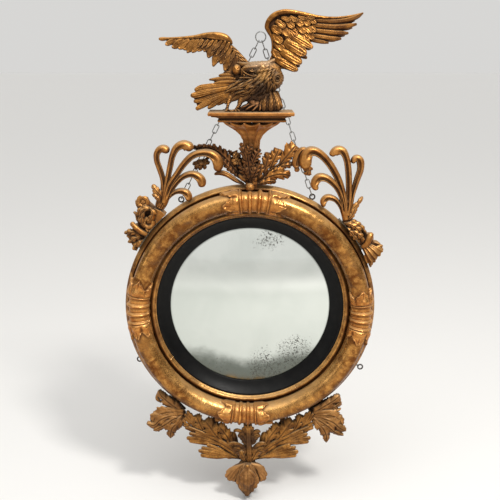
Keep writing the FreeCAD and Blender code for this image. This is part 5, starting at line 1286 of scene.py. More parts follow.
# long gilt stem leaf, bud, pale flower, hanging rosette
strip(cl2, C20([(690, 628, Y1 - 9, 12), (600, 585, Y1 - 11, 24), (500, 520, Y1 - 12, 30), (420, 495, Y1 - 11, 30), (345, 512, Y1 - 6, 12)]),
      lambda a, s: 3.0 * (1 - a ** 2) + 2.2 - 1.7 * np.exp(-((a - 0.15) / 0.13) ** 2), lambda a, s: -2.6 * np.clip(1 - a ** 4, 0, 1), n=60, m=17, cap0=0.4, cap1=1.0)
tube(cl2, C20([(725, 600, Y1 - 14, 16), (690, 565, Y1 - 18, 36), (650, 535, Y1 - 17, 30), (625, 515, Y1 - 14, 10)]), 40, 20)
c = C20([(600, 365, Y1 - 17, 60)])[0]
petal_ring(cl2, (c[0], c[2]), c[3] * 0.15, c[3] * 0.95, 5, -46, c[3] * 0.30, 4.0, 5, a0=0.3, sq=0.75)
ball(cl2, (c[0] - 1, -50.0, c[2]), c[3] * 0.26, (1, 0.8, 1), 14, lambda t, p: 1 + 0.09 * np.sin(6 * p) * np.sin(6 * t))
c = C20([(600, 300, Y1 - 15, 60)])[0]
for k_ in range(7):
    t_ = 2 * math.pi * k_ / 7
    ball(cl2, (c[0] + 6.0 * math.cos(t_), -47.0 - (k_ % 2) * 2, c[2] + 5.4 * math.sin(t_)), 3.6, (1, 0.9, 1), 10)
ball(cl2, (c[0], -50.0, c[2]), 4.0, (1, 0.9, 1), 10)
c = C20([(185, 400, Y1 + 1, 80)])[0]
for k_, (tx_, ty_) in enumerate(((96, 398), (118, 446), (170, 458), (232, 448), (276, 384))):
    acanthus(cl2, C20([(226, 340, Y1 - 1, 14), ((226 * 0.6 + tx_ * 0.4), (340 * 0.6 + ty_ * 0.4), Y1 - 5, 30), ((226 * 0.25 + tx_ * 0.75), (340 * 0.25 + ty_ * 0.75), Y1 - 5, 26), (tx_, ty_, Y1 - 1, 10)]), lobes=2, depth=0.42, camber=2.5, ruffle=1.6, vein=1.8, thick=4.2, seed=140 + k_)
ball(cl2, (c[0] + 2.0, -41.0, c[2] + 3.0), 5.2, (1.2, 0.8, 0.9), 14, lambda t, p: 1 + 0.10 * np.sin(5 * p) * np.sin(5 * t))
strip(cl2, C20([(300, 300, Y1 + 2, 14), (250, 340, Y1, 18), (200, 390, Y1, 16)]), lambda a, s: 3.4 * np.sqrt(np.clip(1 - a ** 2, 0, 1)), lambda a, s: -3.4 * np.sqrt(np.clip(1 - a ** 2, 0, 1)), n=20, m=13, cap0=0.5, cap1=1.0)
cl2.make(gold("gilt_stems", leaf=(0.52, 0.27, 0.075), deep=(0.17, 0.070, 0.018), grime=0.55, ao=0.012, dust=0.6), [], "gilt_dark", wobble=0.25)

lf = Piece("crest_leaf_carved")
LZ = lambda v_: -50.0 + 0.0 * v_
for p_, l_, sd_ in (
        ([(755, 1205, -53, 24), (742, 1050, -57, 84), (724, 900, -60, 104), (708, 790, -63, 84), (697, 700, -66, 56), (690, 620, -68, 16)], 5, 51),
        ([(760, 960, -58, 20), (796, 860, -63, 70), (836, 770, -65, 84), (872, 700, -64, 56), (902, 640, -60, 14)], 5, 52),
        ([(705, 860, -60, 18), (668, 770, -64, 56), (636, 680, -66, 60), (612, 600, -64, 38), (600, 540, -60, 12)], 4, 53),
        ([(700, 800, -62, 16), (716, 700, -68, 50), (742, 620, -70, 50), (776, 560, -68, 14)], 4, 57),
        ([(765, 1200, -50, 18), (815, 1080, -55, 56), (856, 980, -57, 62), (884, 890, -56, 40), (896, 820, -53, 12)], 5, 54),
        ([(740, 1200, -50, 18), (690, 1090, -55, 54), (640, 1000, -57, 62), (606, 930, -56, 44), (586, 860, -53, 12)], 5, 55),
        ([(742, 1150, -56, 14), (700, 1040, -61, 40), (668, 960, -63, 44), (650, 890, -60, 12)], 4, 56),
        ([(758, 1130, -57, 14), (790, 1040, -62, 38), (806, 960, -63, 40), (800, 880, -60, 12)], 4, 58)):
    acanthus(lf, C28(p_), lobes=l_, depth=0.50, sweep=0.75, camber=3.0, ruffle=2.6, vein=2.8, rib=3.0, thick=5.0, seed=sd_, m=27, teeth=0.10)
mass(lf, chainballs([tuple(q) for q in C28([(752, 1200, -47, 30), (738, 1040, -48, 60), (722, 900, -50, 70), (710, 780, -54, 50), (698, 690, -58, 26)])], 12), 1.6, 6, carve(8.0, 0.9, 57))
lf.make(GOLD_DARK, ["crest_leaf"], "gilt_dark", wobble=0.25)

cb_ = Piece("crest_bead_carved")
bx_, bz_ = at(250.2, 187.5, -64.0)
ball(cb_, (float(bx_), -62.5, float(bz_)), 10.2, (1, 1, 1), 40, lambda t, p: 1 + 0.035 * np.sin(9 * p + 3 * np.sin(5 * t)) * np.sin(8 * t))
cb_.make(GOLD_LEAF, ["crest_bead"], "gilt", wobble=0.35)
# ---------------------------------------------------------------- plinth
def slab(piece, x0, x1, y0, y1, z0, z1, r=2.4, seed=5, wob=0.35, nx=90):
    """Board with rounded front edges and a hand-cut waviness."""
    prof = []
    k = 6
    ny = 24
    for i in range(ny):
        prof.append((y1 - (y1 - y0 - r) * i / (ny - 1), z0))
    for i in range(1, k):
        t = math.pi / 2 * i / k
        prof.append((y0 + r - r * math.sin(t), z0 + r - r * math.cos(t)))
    for i in range(4):
        prof.append((y0, z0 + r + (z1 - z0 - 2 * r) * i / 3))
    for i in range(1, k):
        t = math.pi / 2 * i / k
        prof.append((y0 + r - r * math.cos(t), z1 - r + r * math.sin(t)))
    for i in range(ny):
        prof.append((y0 + r + (y1 - y0 - r) * i / (ny - 1), z1))
    for i in range(1, 4):
        prof.append((y1, z1 - (z1 - z0) * i / 4))
    P_ = np.array(prof)
    xs = np.concatenate([[x0, x0 + 0.25 * r, x0 + 0.6 * r], np.linspace(x0 + r, x1 - r, nx), [x1 - 0.6 * r, x1 - 0.25 * r, x1]])
    c = np.array([(y0 + y1) / 2, (z0 + z1) / 2])
    rings = []
    for x in xs:
        e = min(x - x0, x1 - x)
        s = r * (1 - math.sqrt(max(0.0, 1 - (1 - min(e / r, 1.0)) ** 2))) if e < r else 0.0
        Q = P_.copy()
        Q[:, 0] = np.clip(Q[:, 0], y0 + s, y1)
        Q[:, 1] = np.clip(Q[:, 1], z0 + s, z1 - s)
        rings.append(np.stack([np.full(len(Q), x), Q[:, 0], Q[:, 1]], axis=1))
    R = np.array(rings)
    g = fbm(R * np.array([0.45, 1, 1]), 11.0, seed)
    R = R + wob * g[..., None] * np.array([0.0, 0.5, 1.0])
    loft(piece, R)
    return piece


ps = Piece("plinth_slab_moulded")
slab(ps, -94.2, 99.1, -123.9, -24.2, 472.7, 480.8, 2.4, 5, 0.45)
ps.make(GOLD_PLINTH, ["plinth_slab"], "gilt")


def tray(piece, rows, yb=-24.2, n=56, r=3.0, seed=3, wob=0.25):
    """Rows of (x left, x right, y front, z): open-backed moulding turned round three sides, filled."""
    rings = []
    for xa, xb, yf, z in rows:
        pts = []
        q = 5
        for i in range(14):
            pts.append((xa, yb + (yf + r - yb) * i / 13))
        for i in range(1, q):
            t = math.pi / 2 * i / q
            pts.append((xa + r - r * math.cos(t), yf + r - r * math.sin(t)))
        for i in range(n):
            pts.append((xa + r + (xb - xa - 2 * r) * i / (n - 1), yf))
        for i in range(1, q):
            t = math.pi / 2 * i / q
            pts.append((xb - r + r * math.sin(t), yf + r - r * math.cos(t)))
        for i in range(14):
            pts.append((xb, yf + r + (yb - yf - r) * i / 13))
        for i in range(1, 20):
            pts.append((xb + (xa - xb) * i / 20, yb))
        rings.append([(x, y, z) for x, y in pts])
    R = np.array(rings)
    R = R + wob * fbm(R * np.array([0.4, 0.4, 1.0]), 8.0, seed)[..., None] * np.array([0.3, 1.0, 0.6])
    loft(piece, R)
    return piece


pm = Piece("plinth_moulding_moulded")
rows_ = []
XL, XR, PF = -94.4, 99.3, -124.0
UL, UR = -73.3, 82.0
zt, zc, zb = 472.5, 462.7, 457.9
# small bead, cove, fillet, bottom round
for t in np.linspace(0, 1, 7):
    a_ = math.pi * t
    rows_.append((XL + 8.5 - 1.3 * math.sin(a_), XR - 8.5 + 1.3 * math.sin(a_), PF + 7.5 - 1.3 * math.sin(a_), zt - 2.4 * (1 - math.cos(a_)) / 2))
for t in np.linspace(0.0, 1, 12):
    k_ = math.sin(t * math.pi / 2)
    rows_.append((XL + 10 + (UL + 5 - XL - 10) * k_, XR - 10 + (UR - 5 - XR + 10) * k_, PF + 9 + 10.5 * k_, zt - 2.6 - (zt - 2.6 - zc) * (0.35 * t + 0.65 * t * t)))
for dx_, z_ in ((0.3, zc - 0.15), (0.0, zc - 0.6), (-0.3, zc - 1.6), (0.2, zc - 2.4), (1.0, zb + 1.0), (2.2, zb + 0.3), (3.6, zb)):
    rows_.append((UL + dx_ + 0.4, UR - dx_ - 0.4, PF + 14.4 + dx_, z_))
tray(pm, rows_)
pm.make(GOLD_PLINTH, ["plinth_moulding"], "gilt")

# trumpet stem with twelve hollow flutes, back cut flat
pt_ = Piece("plinth_trumpet_carved")
X_AX = float((at(252.1, 141.0, -64.0)[0] + at(251.7, 148.0, -63.0)[0]) / 2)
trows = [(124.0, 68.0), (125.2, 65.0), (126.5, 61.5), (129.0, 50.0), (132.0, 38.0), (136.0, 27.0), (141.0, 20.5), (148.0, 19.0), (154.0, 17.4), (160.0, 16.0), (168.0, 14.5), (176.0, 13.0)]
tz = np.array([float(at(252.0, v_, -44.0 - r_)[1]) for v_, r_ in trows])
tr = np.array([r_ for v_, r_ in trows])
tz = np.minimum(tz, 457.6)
order = np.argsort(tz)
zz_ = np.concatenate([np.linspace(308.0, 400.0, 46), np.linspace(402.0, 457.4, 56)])
zz_ = zz_[zz_ <= 457.4]
rr_ = np.interp(zz_, tz[order], tr[order])
ang_ = np.linspace(0, 2 * np.pi, 384, endpoint=False)
ph_ = np.abs(((ang_ * 12 / (2 * np.pi) + 0.5) % 1.0) * 2 - 1)
# hollow profile of one flute, with a fine arris between
hol = 1 - ph_ ** 2.2
arr = np.exp(-((1 - ph_) / 0.07) ** 2)
rings_ = []
for z_, r_ in zip(zz_, rr_):
    up = smooth01(z_, 418.0, 456.0)
    d_ = 0.105 * r_ + 0.6 + 5.5 * up
    w_ = 1.0 - 0.35 * smooth01(z_, 300.0, 420.0) * 0
    rad = r_ - d_ * hol * w_ + 0.5 * arr
    zdrop = -6.8 * hol * smooth01(z_, 436.0, 457.0)
    x_ = X_AX + rad * np.sin(ang_)
    y_ = -44.0 - rad * np.cos(ang_)
    y_ = np.minimum(y_, -24.2)
    rings_.append(np.stack([x_, y_, np.full_like(x_, z_) + zdrop], axis=1))
Rt = np.array(rings_)
Rt = Rt + 0.28 * fbm(Rt * np.array([1, 1, 0.3]), 7.0, 12)[..., None] * np.array([1.0, 1.0, 0.0])
Rt[..., 1] = np.minimum(Rt[..., 1], -24.2)
loft(pt_, Rt)
slab(pt_, X_AX - 12.8, X_AX + 12.8, -43.5, -14.2, 298.3, 343.5, 1.6, 9, 0.2, nx=20)
pt_.make(GOLD_STEM, ["plinth_trumpet"], "gilt")


# ---------------------------------------------------------------- eagle
EY = -72.0


def fe(piece, conv, pts, y0, y1, thick=3.0, camber=2.2, barbs=0.30, nb=14, roll=0.0, n=40, m=13, rachis=0.9, mid=None):
    """Feather from (x, y, half width) rows, depth running y0 -> y1."""
    k = len(pts)
    rows = []
    for i, p in enumerate(pts):
        t = i / (k - 1)
        y = y0 + (y1 - y0) * t + (mid * math.sin(math.pi * t) if mid else 0.0)
        rows.append((p[0], p[1], y, p[2]))
    rl = None
    if roll:
        rl = [roll * 0.4, roll, roll]
    return feather(piece, conv(rows), thick=thick, camber=camber, barbs=barbs, nb=nb, n=n, m=m, rachis=rachis, roll=rl)


def wing_core(piece, outline, y0, y1, voxel=1.7, smooth=9, amp=0.6, seed=3, shrink=1.2):
    def f(p, nrm):
        back_ = np.clip(nrm[:, 1], 0, 1)
        g = np.abs(noise3(p * np.array([0.35, 1, 1.0]), 7.0, seed + 3))
        return -shrink + amp * fbm(p, 9.0, seed) - back_ * 1.2 * np.exp(-(g / 0.09) ** 2)
    return mass(piece, [prism(outline, y0, y1)], voxel, smooth, f)


# right wing, spread
O4 = [(250 + a / 13.07, 5 + b / 13.07) for a, b in
      [(200, 275), (240, 190), (310, 120), (400, 80), (500, 65), (600, 72), (720, 95), (860, 130), (1000, 150),
       (1150, 155), (1300, 140), (1380, 135), (1400, 150), (1370, 185), (1340, 205), (1345, 240), (1300, 275),
       (1230, 310), (1225, 350), (1190, 380), (1140, 420), (1090, 445), (1010, 455), (960, 480), (900, 490),
       (790, 490), (770, 540), (690, 560), (680, 630), (620, 665), (620, 720), (580, 765), (570, 830), (500, 845),
       (400, 845), (300, 850), (230, 760), (280, 640), (300, 560), (298, 440), (265, 355)]]
wr = Piece("eagle_wing_right_carved")
wing_core(wr, O4, -77.5, -63.5, seed=4)
# rolled leading edge
strip(wr, W4([(288, 640, -73, 12), (300, 520, -74, 15), (286, 420, -76, 20), (246, 345, -78, 25), (224, 282, -80, 30), (252, 200, -82, 33), (322, 130, -83, 34), (420, 92, -83, 33), (520, 86, -82, 30),
              (620, 98, -80, 26), (740, 124, -79, 26), (860, 150, -78, 23), (1000, 167, -77, 20), (1150, 168, -76, 18), (1300, 150, -76, 16), (1420, 122, -75, 12), (1484, 100, -74, 6)]),
      lambda a, s: (6.6 - 3.0 * s) * np.sqrt(np.clip(1 - np.abs(a) ** 2.2, 0, 1)) + 0.25 * np.sin(s * 90 + a * 3),
      lambda a, s: -(7.5 - 3.4 * s) * np.sqrt(np.clip(1 - np.abs(a) ** 2.4, 0, 1)), n=200, m=21, cap0=0.5, cap1=1.0)
PR = [
    ([(800, 196, 30), (980, 212, 31), (1140, 214, 33), (1290, 192, 34), (1400, 156, 30), (1486, 104, 9)], -75.0, -79.0),
    ([(800, 262, 32), (960, 276, 35), (1120, 286, 37), (1270, 276, 36), (1402, 250, 14)], -75.5, -80.0),
    ([(790, 326, 32), (940, 344, 35), (1090, 360, 37), (1200, 368, 34), (1294, 370, 14)], -75.5, -80.0),
    ([(780, 390, 30), (900, 412, 33), (1030, 432, 34), (1130, 442, 30), (1200, 442, 13)], -75.5, -80.0),
    ([(780, 446, 26), (860, 466, 28), (950, 484, 26), (1034, 498, 11)], -75.5, -79.0)]
PR2 = [
    ([(1000, 240, 16), (1150, 248, 17), (1290, 232, 16), (1375, 205, 8)], -72.5, -73.5),
    ([(1000, 306, 16), (1150, 322, 17), (1270, 318, 15), (1344, 300, 8)], -72.5, -73.5),
    ([(950, 372, 16), (1080, 398, 17), (1180, 408, 15), (1244, 402, 8)], -72.5, -73.5),
    ([(880, 436, 15), (980, 460, 16), (1070, 470, 14), (1126, 468, 8)], -72.5, -73.5)]
for i_, (p_, a_, b_) in enumerate(PR):
    fe(wr, W4, p_, a_, b_, thick=4.4, camber=3.4, nb=30, n=100, m=19, roll=-16, barbs=0.30, rachis=2.0)
for i_, (p_, a_, b_) in enumerate(PR2):
    fe(wr, W4, p_, a_, b_, thick=3.4, camber=1.6, nb=26, n=70, m=13, roll=-8, barbs=0.28, rachis=1.0)


def scale_f(piece, conv, rows, y0, y1, h=3.0, seed=1, side=1.0, nv=4, thick=3.6, nn=44, m=27, lip=1.6, belly=0.0, scal=0.16):
    """Broad lapped scale: flat face, raised round rim at the free end, a few cuts fanning from the root."""
    rr = np.random.RandomState(seed)
    off = rr.uniform(-0.12, 0.12, 6)
    k = len(rows)
    pts = [(q[0], q[1], y0 + (y1 - y0) * (i / (k - 1)) ** 0.8, q[2]) for i, q in enumerate(rows)]

    def front(a_, s_):
        A = np.abs(a_)
        f = h * (1 - A ** 4) * (0.45 + 0.55 * s_)
        f = f + lip * np.exp(-((A - 0.84) / 0.11) ** 2) * smooth01(s_, 0.25, 0.7)
        f = f + lip * 1.1 * np.exp(-((s_ - 0.95) / 0.06) ** 2) * (1 - A ** 2)
        f = f + belly * (1 - A ** 2) * np.sin(np.pi * s_)
        f = f - 1.9 * np.exp(-((a_ - 0.05) / 0.05) ** 2) * smooth01(s_, 0.05, 0.3) * (1 - 0.5 * smooth01(s_, 0.7, 0.95))
        for j in range(nv):
            c0 = (j - (nv - 1) / 2) / nv * 1.5 + off[j]
            f = f - 1.1 * np.exp(-((a_ - c0 * (0.5 + 0.6 * s_)) / 0.055) ** 2) * smooth01(s_, 0.15, 0.5) * smooth01(1 - s_, 0.0, 0.2)
        f = f + 0.22 * np.sin(2 * np.pi * (8 * s_ + 2.4 * A)) * A * (1 - A ** 6)
        return f + thick * 0.5 * np.clip(1 - A ** 6, 0, 1) ** 0.5

    def back(a_, s_):
        A = np.abs(a_)
        return h * 0.5 * (1 - A ** 4) * (0.45 + 0.55 * s_) - thick * 0.5 * np.clip(1 - A ** 6, 0, 1) ** 0.5

    def wd(a_, s_):
        return 1 - scal * (np.abs(np.sin(np.pi * (2.2 * s_ + 0.15 * seed))) ** 6) * np.abs(a_) * smooth01(s_, 0.3, 0.6)

    return strip(piece, conv(pts), front, back, n=nn, m=m, cap0=0.55, cap1=0.9, width=wd, roll=[0, 6 * side, 8 * side])


# large curled secondaries
SE = [
    ([(470, 345, 40), (570, 405, 60), (680, 470, 62), (770, 528, 52), (826, 566, 18)], -78, -82, 1.0),
    ([(450, 470, 46), (540, 530, 72), (630, 585, 78), (700, 630, 62), (738, 664, 22)], -80, -85, 1.4),
    ([(400, 600, 42), (490, 650, 66), (570, 700, 72), (640, 742, 56), (680, 770, 20)], -80, -85, 1.4),
    ([(330, 700, 40), (430, 750, 60), (520, 800, 62), (590, 838, 42), (634, 854, 16)], -80, -84, 1.2)]
SE2 = [
    ([(620, 460, 30), (700, 520, 40), (760, 560, 32), (800, 580, 14)], -75, -76),
    ([(600, 610, 28), (660, 650, 34), (720, 680, 28), (750, 700, 12)], -75, -76),
    ([(540, 740, 28), (590, 770, 32), (630, 792, 26), (656, 806, 12)], -75, -76)]
for i_, (p_, a_, b_) in enumerate(SE2):
    fe(wr, W4, p_, a_, b_, thick=4.0, camber=2.4, nb=8, n=44, m=15, roll=-8, barbs=0.32, rachis=1.2)
for i_, (p_, a_, b_, e_) in enumerate(SE[::-1]):
    scale_f(wr, W4, p_, a_, b_, h=3.2, seed=20 + i_, side=-1.4, nv=3, lip=2.0, nn=64, m=31, belly=1.6 * e_)
rs_ = np.random.RandomState(7)
# rows of broad coverts: (root x, root y, direction in degrees, length, half width)
CO = [
    [(300, 590, 48, 150, 52), (330, 700, 40, 130, 46), (300, 760, 30, 140, 40)],
    [(330, 470, 42, 170, 60), (430, 520, 40, 150, 50)],
    [(560, 360, 44, 170, 56), (650, 350, 42, 175, 52), (740, 360, 36, 130, 44), (470, 380, 44, 160, 54)],
    [(300, 390, 34, 165, 56), (620, 270, 44, 150, 50), (710, 270, 42, 140, 46), (780, 290, 34, 110, 38)],
    [(400, 300, 40, 165, 56), (510, 290, 44, 160, 54)],
    [(290, 290, 28, 150, 52), (600, 190, 40, 130, 46), (690, 185, 38, 130, 44), (770, 195, 28, 110, 38), (480, 205, 40, 140, 48)],
    [(350, 205, 30, 150, 46), (420, 165, 20, 130, 36), (530, 152, 20, 120, 32), (640, 150, 16, 120, 28), (740, 160, 12, 110, 24)]]
for r_, row in enumerate(CO):
    for k_, (a_, b_, dg_, L_, w_) in enumerate(row):
        an_ = math.radians(dg_ + 7 * rs_.uniform(-1, 1))
        dx_, dy_ = math.cos(an_), math.sin(an_)
        bow = 10 * rs_.uniform(-1, 1)
        w_ *= 1 + 0.08 * rs_.uniform(-1, 1)
        y_ = -78.4 - 0.45 * r_
        scale_f(wr, W4, [(a_ - dx_ * 12, b_ - dy_ * 12, w_ * 0.55), (a_ + dx_ * L_ * 0.30 - dy_ * bow, b_ + dy_ * L_ * 0.30 + dx_ * bow, w_ * 0.95),
                         (a_ + dx_ * L_ * 0.68 - dy_ * bow, b_ + dy_ * L_ * 0.68 + dx_ * bow, w_), (a_ + dx_ * L_, b_ + dy_ * L_, w_ * 0.5)],
                y_ + 1.6, y_ - 1.6, h=1.4, seed=40 + 7 * r_ + k_, side=-1.0, nv=4, lip=1.1, thick=3.0)
# the same rows seen from behind, shallower
for i_, (p_, a_, b_) in enumerate(PR):
    fe(wr, W4, [(q[0], q[1], q[2] * 0.92) for q in p_], -67.0, -66.0, thick=4.0, camber=-1.6, nb=26, n=60, m=13, roll=6, barbs=0.25)
for i_, (p_, a_, b_, e_) in enumerate(SE):
    fe(wr, W4, [(q[0], q[1], q[2] * 0.92) for q in p_], -65.5, -64.0, thick=4.0, camber=-2.0, nb=9, n=40, m=13, roll=6, barbs=0.3)
for r_, row in enumerate(CO):
    for (a_, b_, dg_, L_, w_) in row:
        dx_, dy_ = math.cos(math.radians(dg_)), math.sin(math.radians(dg_))
        fe(wr, W4, [(a_, b_, w_ * 0.6), (a_ + dx_ * L_ * 0.5, b_ + dy_ * L_ * 0.5, w_ * 0.95), (a_ + dx_ * L_, b_ + dy_ * L_, w_ * 0.5)], -63.6, -61.8, thick=3.0, camber=-1.8, nb=5, n=22, m=9, barbs=0.25)
wr.make(GOLD_WING, ["eagle_wing_right"], "gilt", wobble=0.22)

# left wing, seen edge-on and turned back
O3 = [(155 + a / 14.93, 5 + b / 14.93) for a, b in
      [(90, 495), (200, 495), (400, 485), (560, 455), (720, 430), (800, 415), (940, 425), (1050, 460),
       (1120, 520), (1155, 570), (1130, 610), (1210, 690), (1300, 770), (1380, 850), (1430, 960), (1410, 1080), (1230, 1085), (1050, 1000), (1045, 870), (990, 860),
       (890, 890), (890, 760), (800, 760), (765, 730), (745, 680), (640, 670), (550, 690), (490, 690), (430, 640),
       (360, 620), (260, 580), (185, 555), (165, 530), (100, 535)]]
wl = Piece("eagle_wing_left_carved")
wing_core(wl, O3, -68.0, -55.5, seed=9)
strip(wl, W3([(1150, 575, -62, 14), (1120, 535, -66, 36), (1050, 490, -69, 56), (950, 468, -71, 62), (840, 458, -71, 54), (740, 456, -70, 40), (620, 474, -69, 30),
              (480, 488, -68, 25), (320, 498, -67, 22), (200, 503, -66, 22), (120, 508, -66, 30), (58, 505, -65, 18)]),
      lambda a, s: (7.2 - 3.6 * s) * np.sqrt(np.clip(1 - np.abs(a) ** 2.2, 0, 1)) - 1.3 * np.exp(-((a + 0.35) / 0.10) ** 2) * (s < 0.6) + 0.25 * np.sin(s * 80),
      lambda a, s: -(7.5 - 3.0 * s) * np.sqrt(np.clip(1 - np.abs(a) ** 2.4, 0, 1)), n=160, m=23, cap0=0.9, cap1=1.0)
LW = [
    ([(330, 510, 24), (250, 548, 34), (190, 580, 28), (158, 600, 12)], 1.0),
    ([(450, 510, 28), (370, 560, 42), (310, 610, 40), (255, 640, 17)], 1.2),
    ([(520, 510, 26), (450, 570, 34), (400, 625, 33), (352, 660, 14)], 1.0),
    ([(600, 508, 25), (530, 580, 33), (475, 640, 32), (425, 668, 13)], 1.0),
    ([(660, 506, 25), (590, 590, 33), (530, 665, 31), (480, 716, 13)], 1.0),
    ([(725, 506, 25), (655, 595, 33), (600, 670, 30), (552, 712, 13)], 1.0),
    ([(790, 512, 25), (725, 600, 33), (680, 655, 31), (640, 695, 12)], 1.0),
    ([(850, 526, 28), (790, 605, 36), (755, 660, 32), (738, 704, 12)], 1.0),
    ([(915, 560, 32), (865, 645, 43), (825, 725, 42), (798, 794, 17)], 1.4),
    ([(975, 610, 34), (945, 710, 48), (910, 810, 46), (872, 922, 15)], 1.4),
    ([(1040, 620, 34), (1020, 720, 46), (1000, 810, 42), (988, 888, 15)], 1.2),
    ([(1100, 650, 34), (1090, 770, 46), (1065, 880, 42), (1045, 990, 17)], 1.2),
    ([(1160, 710, 34), (1170, 820, 46), (1150, 930, 42), (1115, 1030, 17)], 1.2),
    ([(1230, 790, 32), (1260, 880, 44), (1262, 970, 40), (1235, 1068, 17)], 1.2),
    ([(1300, 860, 30), (1345, 940, 40), (1360, 1010, 36), (1345, 1080, 15)], 1.0)]
for i_, (p_, c_) in enumerate(LW):
    wk_ = 1.34
    scale_f(wl, W3, [(q[0], q[1], q[2] * (wk_ if j_ < len(p_) - 1 else 0.9)) for j_, q in enumerate(p_)], -67.5 - (i_ % 3) * 0.8, -70.8 - (i_ % 3) * 1.1, h=2.0 * c_, seed=60 + i_, side=1.6, nv=2, lip=0.9, thick=3.6, nn=54, m=23, belly=0.8, scal=0.05)
    fe(wl, W3, [(q[0], q[1], q[2] * 1.1) for q in p_], -57.0, -55.5, thick=3.6, camber=-1.6, nb=10, n=36, m=11, roll=-6, barbs=0.28)
C3 = [[(700, 560, 0.8), (770, 560, 0.85), (840, 566, 0.9), (905, 570, 0.95), (965, 580, 1.0), (1030, 590, 1.0), (1090, 610, 1.0)],
      [(920, 640, 0.95), (985, 650, 1.05), (1055, 660, 1.1), (1120, 680, 1.1), (1180, 730, 1.0)],
      [(1000, 740, 1.0), (1075, 760, 1.1), (1150, 790, 1.1), (1220, 830, 1.05), (1290, 880, 0.95)],
      [(1110, 870, 1.0), (1190, 900, 1.05), (1265, 940, 1.0), (1330, 960, 0.9)]]
for r_, row in enumerate(C3[::-1]):
    for k_, (a_, b_, s_) in enumerate(row):
        ang0 = 2.15 + 0.16 * rs_.uniform(-1, 1) - 0.5 * smooth01(a_, 1000, 1300)
        L_, w_ = 178 * s_, 31 * s_
        dx_, dy_ = math.cos(ang0), math.sin(ang0)
        y_ = -71.5 - 0.6 * r_
        scale_f(wl, W3, [(a_ - dx_ * L_ * 0.35, b_ - dy_ * L_ * 0.35, w_ * 0.6), (a_ + dx_ * L_ * 0.1, b_ + dy_ * L_ * 0.1, w_),
                         (a_ + dx_ * L_ * 0.40, b_ + dy_ * L_ * 0.40, w_ * 0.72), (a_ + dx_ * L_ * 0.72, b_ + dy_ * L_ * 0.72, w_ * 0.12)],
                y_ + 1.6, y_ - 2.4, h=2.2, scal=0.10, seed=90 + 9 * r_ + k_, side=1.0, nv=3, lip=1.0, thick=3.0, nn=34, m=21)
strip(wl, W3([(1120, 600, -66, 26), (1200, 690, -67, 40), (1290, 800, -69, 50), (1370, 900, -71, 56), (1430, 985, -73, 50)]),
      lambda a, s: 5.0 * np.sqrt(np.clip(1 - np.abs(a) ** 2.2, 0, 1)) - 1.6 * np.abs(np.sin(a * 6.0 + 9 * s)) ** 5 + 0.7 * np.sin(s * 34 + 5 * a),
      lambda a, s: -4.0 * np.clip(1 - np.abs(a) ** 4, 0, 1) ** 0.5, n=60, m=33, cap0=0.5, cap1=0.9)
wl.make(GOLD_WING_L, ["eagle_wing_left"], "gilt", wobble=0.22)

# tail fan
O5 = [(185 + a / 13.63, 60 + b / 13.63) for a, b in
      [(110, 480), (150, 420), (210, 365), (290, 345), (420, 335), (380, 280), (420, 268), (500, 245), (490, 215),
       (545, 185), (640, 185), (720, 300), (700, 480), (600, 540), (545, 585), (510, 570), (320, 640), (290, 620), (215, 670), (175, 650),
       (160, 620), (140, 570), (115, 520)]]
tl = Piece("eagle_tail_carved")
wing_core(tl, O5, -73.0, -62.0, seed=12)
TF = [
    ([(650, 320, 24), (500, 345, 34), (340, 362, 42), (220, 384, 44), (135, 418, 24)], -75, -76),
    ([(650, 365, 24), (490, 405, 34), (310, 440, 44), (170, 474, 46), (78, 488, 26)], -77, -80),
    ([(650, 400, 22), (500, 450, 28), (350, 500, 36), (210, 546, 38), (122, 572, 20)], -76, -78),
    ([(650, 436, 22), (500, 496, 30), (360, 556, 38), (240, 620, 40), (152, 676, 24)], -77, -81),
    ([(640, 470, 22), (520, 525, 28), (430, 578, 34), (370, 622, 32), (314, 664, 18)], -77, -81),
    ([(640, 500, 20), (560, 545, 26), (500, 580, 26), (440, 612, 14)], -76, -78),
    ([(640, 530, 18), (590, 560, 22), (545, 598, 12)], -76, -78)]
for i_, (p_, a_, b_) in enumerate(TF):
    scale_f(tl, W5, [(q[0], q[1], q[2] * 1.02) for q in p_], a_, b_, h=2.4, seed=200 + i_, side=1.6, nv=3, lip=1.0, thick=4.4, nn=90, m=27, belly=1.2, scal=0.05)
    fe(tl, W5, [(q[0], q[1], q[2] * 0.92) for q in p_], -62.0, -61.0, thick=3.8, camber=-2.0, nb=22, n=50, m=13, roll=-6, barbs=0.3)
for p_, a_, b_ in (([(720, 300, 24), (620, 300, 30), (500, 306, 32), (395, 322, 13)], -77, -75), ([(700, 262, 22), (600, 250, 32), (470, 262, 34), (330, 267, 11)], -76, -72),
                   ([(680, 215, 20), (590, 205, 30), (520, 208, 28), (462, 212, 11)], -74, -71), ([(660, 180, 18), (600, 172, 26), (560, 170, 22), (530, 176, 9)], -72, -69)):
    fe(tl, W5, p_, a_, b_, thick=4.0, camber=3.0, nb=12, n=50, m=15, roll=8, barbs=0.30, rachis=1.2)
    fe(tl, W5, [(q[0], q[1], q[2] * 0.9) for q in p_], -64.0, -62.0, thick=3.5, camber=-1.6, nb=12, n=36, m=11, barbs=0.28)
tl.make(GOLD_WING, ["eagle_tail"], "gilt", wobble=0.22)


# body, head and legs
def P5(x, y, dep, r):
    """Ball (x, y, z, r mm) from an enlarged-view point, depth and radius in view pixels."""
    q = W5([(x, y, dep, r)])[0]
    return q


